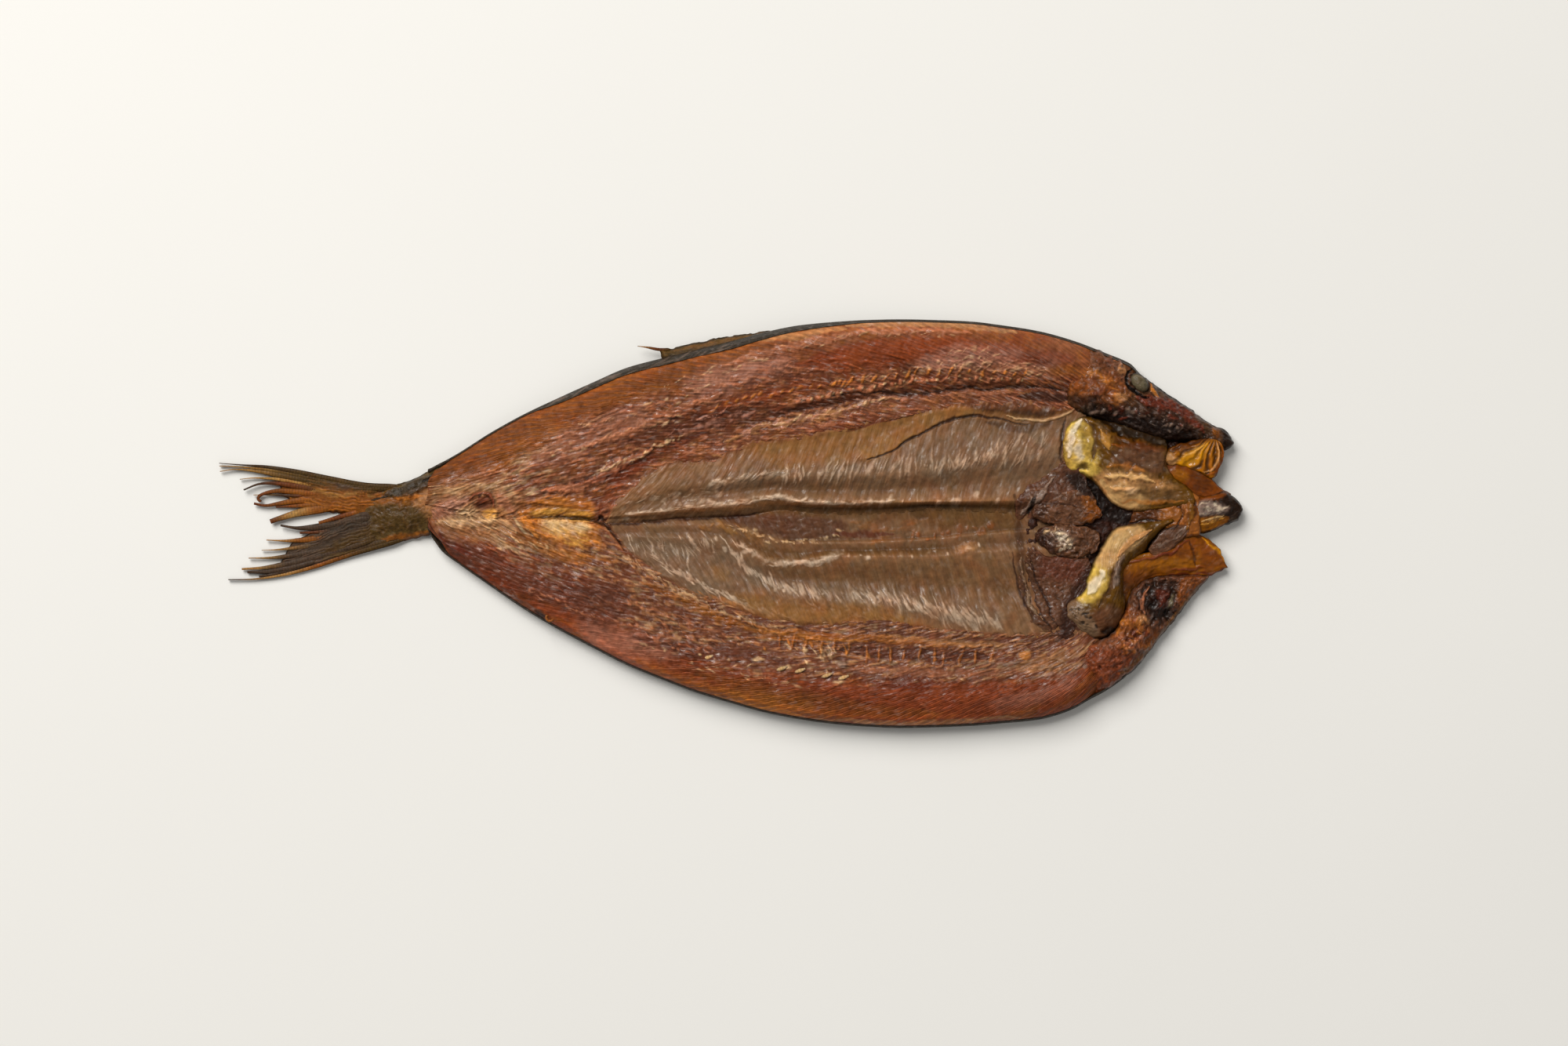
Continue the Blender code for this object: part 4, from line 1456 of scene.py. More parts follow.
FRONT_MARKS: tuple[Mark, ...] = (
    Area(Tone.DEEP_RED, ((-88, -1), (-76, -4), (-62, -9), (-50, -13), (-40, -17), (-44, -25),
        (-56, -25), (-72, -17), (-84, -8)), 3.5, strength=0.55, oil=0.7),
    Area(Tone.PINK_SHEEN, ((-44, -28), (-30, -31), (-16, -34), (-18, -39), (-30, -38), (-42, -33)),
        2.6, strength=0.45),
    Area(Tone.SCARLET, ((26, -46), (44, -48), (66, -48), (84, -46), (82, -53), (60, -55),
        (36, -54)), 2.8),
    Area(Tone.AMBER_FLESH, ((-24, -41), (-6, -47), (14, -51), (30, -55), (20, -56), (0, -52),
        (-22, -44)), 2.2, strength=0.65),
    Area(Tone.PINK_SHEEN, ((76, -48), (88, -47), (98, -44), (100, -48), (90, -52), (78, -54)), 2.4,
        strength=0.3),
    Area(Tone.PURPLE_FLESH, ((-88, 1), (-80, -2), (-70, -9), (-60, -14), (-48, -17), (-34, -17),
        (-28, -22), (-36, -30), (-52, -24), (-68, -15), (-80, -10)), 2, oil=0.85),
    Stroke(Tone.DEEP_RED, ((-87, -1), (-82, -5), (-75, -9.5)), 1.2, 1.2),
    Stroke(Tone.TAN_FLESH, ((-79, -2.6), (-71, -4.2), (-64, -6)), 0.8, 0.9, broken=0.9,
        strength=0.6),
    # Cream streaks along the lining's border, partly painted glints.
    Beads(Tone.CREAM_AND_GLINT, ((-30, -9.6), (-24, -13.8), (-18, -17.6), (-12, -21), (-4, -24.6),
        (6, -28.4), (14, -30.6)), 0.9, (1.3, 0.3), -45, 0.9, 111, strength=0.6, lift=0.3),
    Beads(Tone.TAN_FLESH, ((-28, -12), (-20, -17.6), (-12, -22), (-2, -26.4), (10, -30.6),
        (22, -32.4)), 1, (1.6, 0.35), -35, 1, 112, strength=0.7, lift=0.25),
    Stroke(Tone.AMBER_FLESH, ((-26, -16.6), (-16, -21.4), (-6, -26), (4, -30), (14, -33),
        (28, -35)), 1.2, 1.2, broken=0.8),
    Stroke(Tone.AMBER_FLESH, ((4, -28.6), (18, -31.8), (32, -33.2), (46, -33.6), (60, -35),
        (76, -36)), 1.1, 1, strength=0.7, lift=0.3),
    Stroke(Tone.ORANGE_FAT, ((10, -31), (24, -33.4), (40, -34.4)), 0.5, broken=0.6, strength=0.7),
    Stroke(Tone.TAN_FLESH, ((46, -32.4), (58, -34), (72, -35.2), (86, -35.6)), 0.9, 0.9,
        strength=0.6),
    Stroke(Tone.PURPLE_FLESH, ((-28, -33), (-16, -36), (-4, -38), (8, -39), (20, -40)), 2.2, 1.8,
        oil=0.95),
    Stroke(Tone.PURPLE_FLESH, ((32, -36.6), (44, -37.6), (58, -38.4), (76, -38.6)), 1.9, 1,
        lift=-0.35, oil=0.9),
    Beads(Tone.AMBER_FLESH, ((14, -34), (22, -35.6), (32, -37), (44, -37.8), (58, -38.6),
        (76, -38.8)), 3.8, (2.2, 0.42), 80, 0.2, 23, lift=0.4),
    Stroke(Tone.ROSE_FLESH, ((26, -41.6), (40, -42.6), (60, -43.4), (80, -43), (96, -40.4)), 1.1,
        1.2, broken=0.6, strength=0.7, oil=0.9),
    Beads(Tone.CREAM_AND_GLINT, ((-9, -38), (-2, -39.4), (6, -40.6), (14, -41.8), (22, -42.6), (33, -44.4)),
        3.6, (1.2, 0.42), 20, 0.9, 25, lift=0.4),
    Beads(Tone.ROSE_FLESH, ((-60, -19), (-50, -22), (-44, -26), (-36, -28), (-26, -31), (-18, -35),
        (-6, -37)), 0.9, (0.8, 0.28), -25, 1, 113, lift=0.3, oil=1),
    Beads(Tone.ROSE_FLESH, ((-30, -22), (-18, -27), (-6, -31), (4, -35), (-8, -34), (-22, -30)), 1,
        (0.9, 0.3), -30, 1, 115, lift=0.25, oil=1),
    # Painted glints: short pale dashes on the wet flesh.
    Beads(Tone.CREAM_AND_GLINT, ((-24, -35), (-12, -39.6), (0, -43), (14, -45.6), (30, -47), (50, -46.4),
        (70, -44.6)), 1.5, (0.8, 0.2), -12, 1, 116, strength=0.6, lift=0.2, oil=1),
    Beads(Tone.ROSE_FLESH, ((-36, -33), (-24, -38), (-10, -43), (6, -47.6), (24, -50), (44, -51),
        (66, -50.4), (84, -48)), 1.1, (1.1, 0.28), -14, 1, 117, strength=0.5, lift=0.15, oil=0.9),
    Beads(Tone.GREY_TISSUE_AND_GLINT, ((76, -40), (86, -42), (96, -41), (104, -40), (96, -44), (84, -46)),
        1.2, (0.9, 0.3), 10, 1, 118, lift=0.2, oil=1),
    Beads(Tone.ORANGE_FAT, ((12, -33.6), (24, -35.6), (38, -38)), 4.4, (1.5, 0.45), -65, 0.5, 26,
        lift=0.3),
    Spot(Tone.GREY_TISSUE_AND_GLINT, (33, -41), (1.8, 1.2), lift=0.6, oil=1),
    Stroke(Tone.RED_FLESH, ((20, -46), (36, -49), (56, -49), (76, -49), (94, -46)), 3, 2.4,
        oil=0.5),
    Stroke(Tone.DEEP_RED, ((42, -46), (52, -46), (62, -46)), 2, 1.8, strength=0.6),
    Stroke(Tone.ORANGE_FLESH, ((-10, -44), (6, -47), (22, -51), (40, -54), (60, -55)), 2.4, 2.4,
        strength=0.7, oil=0.5),
    Stroke(Tone.ORANGE_FAT, ((-4, -50), (8, -53.6), (22, -55.8)), 0.9, 0.7, broken=0.5),
    Stroke(Tone.TAN_FLESH, ((24, -56.6), (44, -58), (64, -57.8), (84, -56.4)), 0.8, 0.8,
        broken=0.5, strength=0.6, oil=0.4),
    Stroke(Tone.TAN_FLESH, ((84, -42), (96, -40), (108, -36)), 2.6, 2, broken=0.6, strength=0.5),
    Stroke(Tone.DEEP_RED, ((98, -40), (108, -37.4), (116, -36)), 1.1, 1.2, strength=0.7),
    Spot(Tone.ORANGE_FAT, (86, -38.5), (1.7, 1.3), lift=0.3),
    Area(Tone.AMBER_FLESH, ((-2, -48), (10, -49), (24, -51), (20, -54), (4, -53)), 2),
    Beads(Tone.CREAM_AND_GLINT, ((18, -36), (24, -36.6), (30, -37.6), (26, -38.6)), 1, (1, 0.35), -50, 1,
        147, lift=0.3, oil=1),
    Stroke(Tone.BLACK, ((102, -38.8), (105, -37.6), (107.4, -37.2)), 0.3, 0.3, lift=-0.4),
    Spot(Tone.BLACK, (-55.4, -26.8), (2.2, 0.9), -30),
)


@dataclass
class Fillet:
    """One fillet's flesh, from the belly crease or the lining's border out to its rim.

    Attributes:
        side: Which fillet it is.
        end: Where it ends under the head, along the fish.
        stations: Grid points along it.
        points: Grid points across it.
        tuck: How far it reaches under the lining.
        under: Height of its underside.
        opening: Where the belly cavity opens, from its tip to its full width.
        walls: Distance between the muscle's walls, across the grain.
    """

    side: Side
    end: float = 110.0
    stations: int = 790
    points: int = 122
    tuck: float = 2.5
    under: float = 1.6
    opening: tuple[float, float] = (-38.0, -33.0)
    walls: float = 1.45

    def surface(self) -> Canvas:
        """The grid: rows at equal steps along the fish, columns at equal shares across.

        Returns:
            The surface.
        """
        sign, rim, border = self.side.value, self.side.rim, self.side.border
        along = np.linspace(TAIL_CUT, self.end, self.stations)
        share = np.linspace(0.0, 1.0, self.points)
        seam = CREASE(along) - 0.25 * sign
        tucked = border(along) - self.tuck * sign
        opened = smoothstep(*self.opening, along)
        inner = seam * (1.0 - opened) + tucked * opened
        inner = np.maximum(inner * sign, seam * sign) * sign
        x, v = np.meshgrid(along, share, indexing="ij")
        y = inner[:, None] * (1.0 - v) + rim(along)[:, None] * v
        y = y + 0.22 * sign * v**6 * noise(x, y * 0.0, 3.0, 5 + sign)
        blunt = 1.0 - smoothstep(0.0, 9.0, x - TAIL_CUT)
        x = x + blunt * (0.32 * np.sin(y * 0.9) + 0.018 * (y - 5.0) ** 2)
        head = 3.0 * smoothstep(103.0, self.end, x)
        canvas = Canvas(x, y, BODY.height(x, y) - head, Tone.BROWN_FLESH)
        self.depth = np.abs(rim(x) - y)
        return canvas

    def layers(self, canvas: Canvas) -> None:
        """Sets the grain: muscle walls leave the rim at 25 degrees and flatten inwards.

        Args:
            canvas: The surface.
        """
        depth = np.minimum(self.depth, 18.0)
        lead = 2.1 * depth + 0.06 * depth**2 + 4.4 * (self.depth - depth)
        wander = 1.1 * canvas.noise(8.0, 31) * smoothstep(2.0, 14.0, depth)
        across = 0.42 * (canvas.x - lead) + wander
        canvas.layer = across / self.walls
        canvas.grain = np.stack([canvas.x + 0.3 * self.depth, across], axis=-1)

    def build(self, finisher: Finisher) -> bpy.types.Object:
        """Makes the fillet.

        Args:
            finisher: Puts the mesh into the scene.

        Returns:
            The object.
        """
        canvas = self.surface()
        self.layers(canvas)
        self.relief(canvas)
        canvas.roughen(0.9, 5.0, 11)
        if self.side is Side.BACK:
            self.colour_back(canvas)
            marks = BACK_MARKS + VENT_MARKS
        else:
            self.colour_front(canvas)
            marks = FRONT_MARKS + VENT_MARKS
        canvas.dress(marks)
        # Painted shade in the low places and painted light on the crests of the relief.
        canvas.paint_relief_shading(1.6, 1.5)
        canvas.paint_relief_shading(6.0, 0.3)
        glint = canvas.flow_noise(5.0, 91, 1.6)
        canvas.wet = np.clip(canvas.wet * (1.0 + 0.9 * glint), 0.0, 1.0)
        canvas.shade(1.0 + 0.22 * canvas.flow_noise(7.0, 92, 1.8, 3))
        return slab(self.side.named("fillet"), canvas, self.under).build(FLESH, finisher)

    def relief(self, canvas: Canvas) -> None:
        """Uneven muscle: broad waves, layers that stand proud, and small drawn-out flakes.

        Args:
            canvas: The surface.
        """
        fade = smoothstep(0.4, 3.2, self.depth)
        self.inner = smoothstep(6.0, 13.0, self.depth + 2.0 * canvas.noise(7.0, 20))
        self.flakes = smoothstep(-0.15, 0.55, canvas.flow_noise(1.25, 23, 2.2, 3))
        canvas.lift(fade * canvas.noise(14.0, 21), 0.5)
        canvas.lift(fade * canvas.noise(4.0, 22), 0.3)
        canvas.lift(fade * waves(canvas.layer) ** 2, 0.12)
        canvas.lift(fade * (0.12 + 0.88 * self.inner) * self.flakes, 0.36)
        self.tail = 1.0 - smoothstep(-62.0, -44.0, canvas.x)
        canvas.lift(fade * (0.4 + self.tail) * canvas.flow_noise(3.2, 24, 1.6, 3), 0.32)

    def blotch(self, canvas: Canvas, where: Array) -> None:
        """Broad cream, rose and purple blotches, as on the flesh by the tail.

        Args:
            canvas: The surface.
            where: A mask that the blotches stay in.
        """
        for tone, size, seed, level in (
            (Tone.ROSE_FLESH, 3.4, 141, 0.8), (Tone.CREAM_AND_GLINT, 2.6, 142, 0.7),
            (Tone.PURPLE_FLESH, 2.8, 143, 0.75), (Tone.AMBER_FLESH, 2.2, 144, 0.6),
        ):
            spots = smoothstep(0.08, 0.4, canvas.flow_noise(size, seed, 1.5, 3))
            canvas.paint(where * spots, tone, level)

    def colour_back(self, canvas: Canvas) -> None:
        """The muscle's colours on the side of the back fin: orange outside, rose inside.

        Args:
            canvas: The surface.
        """
        x, depth = canvas.look_x, self.depth
        left = 1.0 - smoothstep(-25.0, 30.0, x)
        outer = 1.0 - smoothstep(7.0, 14.0, depth + 3.0 * canvas.noise(6.0, 33))
        canvas.paint(np.ones(x.shape), Tone.ROSE_FLESH, 0.45)
        canvas.cloud(Tone.RED_FLESH, 0.6, (-0.2, 0.5), 7.0, 51)
        canvas.cloud(Tone.PURPLE_FLESH, 0.6, (0.1, 0.6), 2.2, 52, 3.0)
        canvas.cloud(Tone.AMBER_FLESH, 0.7, (0.0, 0.6), 3.0, 53)
        # Partly the flesh's own colour, partly painted light: lighter on the raised flakes, darker
        # in the gaps between them.
        canvas.paint(self.inner * (1.0 - self.flakes), Tone.PURPLE_FLESH, 0.35)
        canvas.paint(self.inner * self.flakes**2, Tone.ROSE_FLESH, 0.8)
        canvas.cloud(Tone.TAN_FLESH, 0.6, (0.3, 0.7), 1.4, 55, 2.0, self.inner)
        canvas.paint(outer * (0.35 + 0.65 * left), Tone.ORANGE_FLESH, 0.9)
        self.blotch(canvas, (1.0 - outer) * self.tail)
        canvas.cloud(Tone.AMBER_FLESH, 0.7, (0.0, 0.6), 3.0, 54, 5.0, outer * left)
        canvas.septa = outer * (0.25 + 0.75 * left)
        canvas.wet = 0.12 + 0.8 * smoothstep(6.0, 14.0, depth)

    def colour_front(self, canvas: Canvas) -> None:
        """The muscle's colours on the other side: dark and purple near the tail, red outside.

        Args:
            canvas: The surface.
        """
        x, depth = canvas.look_x, self.depth
        outer = 1.0 - smoothstep(9.0, 15.0, depth + 3.0 * canvas.noise(6.0, 34))
        canvas.paint(np.ones(x.shape), Tone.BROWN_FLESH, 0.6)
        canvas.cloud(Tone.ROSE_FLESH, 0.6, (-0.1, 0.6), 5.0, 61)
        canvas.cloud(Tone.PURPLE_FLESH, 0.6, (0.0, 0.6), 2.0, 62, 3.0)
        # Partly the flesh's own colour, partly painted light: lighter on the raised flakes, darker
        # in the gaps between them.
        canvas.paint(self.inner * (1.0 - self.flakes), Tone.PURPLE_FLESH, 0.35)
        canvas.paint(self.inner * self.flakes**2, Tone.TAN_FLESH, 0.5)
        canvas.cloud(Tone.CREAM_AND_GLINT, 0.35, (0.2, 0.6), 1.4, 65, 2.0, self.inner)
        canvas.paint(outer, Tone.RED_FLESH, 0.8)
        self.blotch(canvas, (1.0 - outer) * self.tail)
        canvas.cloud(Tone.ORANGE_FLESH, 0.8, (0.0, 0.5), 2.4, 63, 5.0, outer)
        canvas.septa = outer * (0.3 + 0.7 * smoothstep(-30.0, 0.0, x))
        canvas.wet = 0.18 + 0.75 * smoothstep(6.0, 13.0, depth)


# ---------------------------------------------------------------- belly lining and skin


LINING_MARKS: tuple[Mark, ...] = (
    Area(Tone.LINING_TAN, ((-36, 1), (-32, 8), (-24, 15), (-10, 20), (2, 23), (10, 20), (0, 16),
        (-14, 13), (-26, 7)), 2.5),
    # Painted sheen: a grey band where the light catches the lining.
    Area(Tone.LINING_GREY_AND_SHEEN, ((-34, -2), (-24, -3), (-10, -3), (2, -8), (12, -14), (6, -20),
        (-8, -20), (-22, -14), (-32, -6)), 2.5, strength=0.6),
    Area(Tone.LINING_OCHRE, ((18, 16), (38, 18), (45, 20), (50, 23), (55, 26), (60, 29), (65, 31),
        (72, 32), (80, 31), (88, 30), (98, 32), (103, 36), (80, 38), (60, 37), (40, 33), (20, 28),
        (4, 26), (8, 20)), 2.2, oil=0.5),
    Area(Tone.LINING_OCHRE, ((38, 18.2), (45, 20.4), (50, 23), (55, 26), (60, 29), (65, 31),
        (72, 32), (70, 34), (60, 33), (48, 27), (38, 21)), 0.7, strength=0.6, lift=0.25, oil=0.5),
    # Painted sheen along the upper hump of the lining.
    Area(Tone.LINING_GREY_AND_SHEEN, ((28, 17), (44, 18), (56, 22), (66, 25), (80, 27), (90, 27), (96, 20),
        (92, 14), (78, 15), (60, 13), (40, 13), (20, 12), (8, 12)), 3, strength=0.7),
    # Painted highlights along the lining's folds and ribs, here and below.
    Beads(Tone.SHEEN, ((16, 14.6), (26, 14.6), (36, 15.4), (44, 17), (54, 17), (64, 17.4),
        (72, 19), (78, 21)), 0.8, (2.1, 0.28), 76, 0.8, 121, strength=0.5, lift=0.2, oil=1),
    Beads(Tone.SHEEN, ((66, 17), (72, 18.6), (78, 21.6), (84, 24), (92, 25), (88, 20), (80, 17.6)),
        0.9, (2.3, 0.26), 66, 0.8, 122, strength=0.5, lift=0.2, oil=1),
    Beads(Tone.SHEEN, ((-5, 11.4), (0, 12.6), (6, 13.6), (12, 14.4), (18, 15.2)), 0.7, (1.2, 0.4),
        35, 1, 123, lift=0.25, oil=1),
    Beads(Tone.SHEEN, ((-30, 5.4), (-22, 7.6), (-12, 9), (-2, 9.4), (-8, 7), (-18, 6.4)), 1.2,
        (0.9, 0.4), 25, 1, 124, strength=0.45, lift=0.15, oil=0.9),
    Stroke(Tone.SHEEN, ((-30, 2.8), (-20, 3.6), (-10, 4.5), (0, 5.6), (6, 6.2), (14, 7.8),
        (20, 6.8), (28, 5.8), (40, 6.2), (48, 6.8)), 0.5, 1.3, 0.4, 1.6, strength=0.7, lift=0.1,
        oil=1),
    Beads(Tone.SHEEN, ((-30, 3), (-20, 3.8), (-10, 4.7), (0, 5.8), (6, 6.4), (14, 7.9), (20, 6.9),
        (28, 5.9)), 1, (1, 0.32), 8, 0.9, 142, lift=0.12, oil=1),
    Stroke(Tone.TAN_FLESH, ((-32, 2.2), (-20, 3.2), (-8, 4.2), (4, 5), (14, 6.2), (26, 5.2),
        (40, 5.4)), 0.8, 1.4, strength=0.7),
    Beads(Tone.SHEEN, ((24, 5.9), (36, 6.2), (48, 6.8), (60, 6.2), (72, 7.2), (76, 7)), 3.6,
        (1, 0.6), 70, 0.7, 125, strength=0.6, lift=0.25, oil=1),
    Stroke(Tone.SHEEN, ((2, -6), (6, -8), (12, -10.4), (18, -11.4), (26, -10.6), (33, -9)), 0.6,
        1.3, 0.6, 1.5, strength=0.7, lift=0.15, oil=1),
    Beads(Tone.SHEEN, ((4, -7), (12, -10.4), (18, -11.4), (26, -10.6), (33, -9)), 0.8, (0.9, 0.4),
        20, 1, 143, lift=0.15, oil=1),
    # Painted sheen in grey bands on the lower half of the lining.
    Area(Tone.LINING_GREY_AND_SHEEN, ((-3, -4), (2, -9), (8, -13), (16, -16), (26, -18), (36, -18),
        (36, -22), (24, -22), (12, -20), (4, -17), (-2, -12)), 1.6, strength=0.7),
    Area(Tone.LINING_GREY_AND_SHEEN, ((-30, -4), (-20, -5), (-8, -6), (-6, -10), (-14, -12), (-22, -10)), 2,
        strength=0.7),
    Area(Tone.LINING_GREY_AND_SHEEN, ((-24, -12), (-14, -15), (-4, -19.4), (6, -23), (16, -25.6),
        (14, -28.4), (2, -25), (-10, -20.6), (-20, -15)), 1.2),
    Beads(Tone.SHEEN, ((30, -8.8), (40, -9), (50, -9), (60, -9.2), (68, -7), (72, -7)), 3.4,
        (0.6, 0.5), 0, 0.6, 126, lift=0.3, oil=1),
    Beads(Tone.SHEEN, ((-1, -6.4), (3, -11), (7, -14.4), (12, -16.8), (18, -18.8), (26, -20),
        (34, -20.6)), 0.6, (1.4, 0.35), -60, 0.8, 127, lift=0.2, oil=1),
    # Painted sheen: the broad silvery band on the lower half.
    Area(Tone.LINING_GREY_AND_SHEEN, ((24, -18), (40, -19), (52, -20), (62, -23), (74, -24), (80, -28),
        (70, -30), (60, -28), (48, -25), (34, -23)), 2.2),
    Beads(Tone.SHEEN, ((36, -20.6), (44, -21), (51, -22.2), (57, -23.8), (63, -25.4), (70, -27),
        (78, -28.6)), 0.45, (1.9, 0.32), -58, 0.7, 128, strength=0.65, lift=0.2, oil=1),
    Beads(Tone.SHEEN, ((40, -22.4), (48, -23.6), (56, -25.4), (64, -28), (74, -30)), 0.8,
        (1.7, 0.3), -55, 0.8, 129, strength=0.4, lift=0.15, oil=1),
    Beads(Tone.SHEEN, ((-29, -4.6), (-24, -7), (-18, -6), (-12, -9), (-8, -5), (-4, -8)), 0.7,
        (1.9, 0.22), -66, 0.9, 130, strength=0.55, lift=0.15, oil=1),
    Beads(Tone.SHEEN, ((-22, -10), (-16, -14), (-10, -16.6), (-4, -20), (2, -22.6), (9, -25),
        (16, -27)), 0.5, (1.5, 0.28), -42, 0.8, 131, lift=0.2, oil=1),
    Beads(Tone.ORANGE_FAT, ((-14, -19), (-8, -21), (0, -24), (10, -27.4)), 1.4, (1.4, 0.35), -30,
        1, 132, strength=0.6),
    Beads(Tone.LINING_OLIVE, ((24, -23), (32, -25), (40, -27), (50, -28.6), (40, -29)), 1,
        (1.6, 0.25), -40, 0.9, 133, lift=-0.15),
    Beads(Tone.SHEEN, ((22, -23), (32, -26), (42, -28), (52, -29.4)), 1.2, (1.2, 0.2), -40, 0.9,
        134, strength=0.6, lift=0.1, oil=1),
    # The flap's torn edge, with painted shadow along it.
    Stroke(Tone.BLOOD_AND_SHADOW, ((40, 18.8), (45, 20.3), (50, 22.8), (55, 25.8), (60, 28.6), (66, 30.6),
        (73, 31.2), (80, 30.2), (87, 28.8)), 0.4, 0.5, 0.6, lift=-0.3),
    Stroke(Tone.DEEP_RED, ((34, 27), (44, 29.6), (55, 32.6)), 0.5, broken=0.4),
    Stroke(Tone.ORANGE_FLESH, ((4, 25.4), (16, 27.4), (28, 29.4), (40, 32), (52, 34.6)), 1, 1.2,
        broken=0.5, lift=0.2),
    Area(Tone.BLOOD_AND_SHADOW, ((66, 36.4), (76, 37), (90, 37.4), (102, 36), (100, 33.6), (90, 31.4),
        (80, 32.4), (72, 33)), lift=0.3, oil=1),
    Stroke(Tone.CREAM_AND_GLINT, ((81, 31.6), (86, 30.6), (92, 30.4), (98, 32), (102, 34.4)), 0.5, 0.5,
        strength=0.55, lift=0.5, oil=0.9),
    Stroke(Tone.LINING_DARK, ((75, 29.6), (82, 28), (88, 28.2), (94, 29.4)), 1.3, 1.6,
        strength=0.7),
    # Painted sheen on the upper hump.
    Stroke(Tone.LINING_GREY_AND_SHEEN, ((-6, 10), (2, 12), (8, 13), (16, 15)), 1.6, 2, broken=0.6, lift=0.15,
        oil=1),
    Spot(Tone.LINING_OCHRE, (-3, -14.5), (3.4, 2.2), -30, strength=0.5),
    Area(Tone.LINING_OCHRE, ((2, -21), (20, -23), (40, -24), (54, -28), (60, -32), (44, -31),
        (26, -31), (10, -29)), 2.4),
    Area(Tone.LINING_OLIVE, ((6, -6.6), (20, -8), (40, -7.4), (64, -6.4), (58, -9.2), (30, -9.4),
        (12, -11)), 0.9),
    Area(Tone.LINING_OLIVE, ((16, -13), (40, -11), (76, -10), (86, -20), (60, -20), (36, -19),
        (18, -17)), 2.4, strength=0.35),
    Area(Tone.TROUGH, ((-2, 2), (6, 3), (14, 3), (30, 2), (34, 0), (33, -4), (20, -5), (12, -3),
        (4, -1)), 1.4, oil=0.8),
    Beads(Tone.HEART_BROWN, ((8, 1), (18, 1.4), (28, 0), (18, -2), (12, -1), (26, -3)), 1.3,
        (1.6, 0.4), 0, 0.9, 135, lift=0.15, oil=0.9),
    Beads(Tone.AMBER_FLESH, ((38, 1), (46, -1), (54, 0), (48, -2.4), (40, -1.6)), 1.4, (1.8, 0.5),
        5, 1, 137, strength=0.5, lift=0.1),
    # Painted shade on the lower side of the fold, along the crease.
    Area(Tone.LINING_DARK, ((14, 3.6), (30, 2.8), (44, 3.4), (56, 4.4), (58, 5.4), (40, 5.2),
        (20, 5.6)), 0.8, strength=0.55),
    Spot(Tone.LINING_DARK, (55.4, 2.8), (2.6, 1.7), lift=-0.3),
    Area(Tone.LINING_OLIVE, ((59, 5), (72, 5), (84, 5), (84, -2), (70, -1), (59, -1)), 1.4),
    # Painted shadow along the crease, under the fold.
    Stroke(Tone.BLOOD_AND_SHADOW, ((-36, 0.2), (-25, 0.5), (-15, 1.5), (-5, 1.8), (5, 2.3), (10, 3.2)), 0.5,
        1, 0.3),
    Stroke(Tone.LINING_OLIVE, ((8, 2.8), (15, 3.9), (25, 3.2), (45, 3.4), (80, 3.6)), 1.2, 2.6,
        0.3, 0.6, strength=0.7),
    Beads(Tone.LINING_OCHRE, ((-6, -0.6), (1, -1.8), (6, -3), (10, -5)), 1, (1.6, 0.5), -35, 0.9,
        138, lift=0.25),
    Beads(Tone.SHEEN, ((-14, -3), (-8, -3.6), (-2, -4.6), (4, -6.4)), 2.6, (1.6, 0.35), -62, 0.5,
        139, strength=0.7, lift=0.2, oil=1),
    # Painted glints along the trough's lower lip.
    Beads(Tone.CREAM_AND_GLINT, ((1, -1.2), (6, -2), (9.6, -3.6), (12.4, -5), (18, -5.2), (25, -5),
        (30, -3.8), (33, -1.6)), 0.7, (0.6, 0.28), -20, 1, 140, lift=0.3, oil=1),
    Stroke(Tone.PURPLE_FLESH, ((30, -2.6), (38, -3.4), (48, -3.2)), 0.9, 0.9, broken=1, oil=1),
    Beads(Tone.ORANGE_FLESH, ((53, -3.6), (60, -3.4), (68, -2), (76, -1.4)), 1.9, (1.2, 0.8), 70,
        0.7, 33, strength=0.7, lift=0.35, oil=1),
    Spot(Tone.GILL_PINK, (69, -7), (3.4, 1.4), 15, strength=0.4, lift=0.4, oil=1),
    Stroke(Tone.BLACK, ((44, -30.6), (50, -31.2), (60, -32.4), (70, -33.2), (80, -33.6),
        (88, -33.2)), 0.55, 0.5, 0.5, 0.4, lift=-0.8),
    Area(Tone.LINING_GREY_AND_SHEEN, ((80, 9), (88, 12), (96, 18), (100, 30), (92, 29), (84, 18)), 2.5,
        strength=0.35),
    Stroke(Tone.LINING_DARK, ((83, 8), (84.6, 0), (85, -10), (86, -20), (89, -28), (93, -32)), 1.4,
        1.8),
    Stroke(Tone.BLOOD_AND_SHADOW, ((82.4, -8), (84.4, -19), (88.4, -28)), 0.35, 0.5, broken=0.8),
    # Painted shadow beside the gill cover's edge.
    Stroke(Tone.BLOOD_AND_SHADOW, ((98, 31), (96.6, 25), (96.8, 18), (98.4, 14)), 0.5, 1, lift=-0.4),
    Area(Tone.LINING_OLIVE, ((36, 6), (60, 6.2), (84, 6.4), (86, 1), (60, 1), (36, 1.4)), 1.6,
        strength=0.5),
)


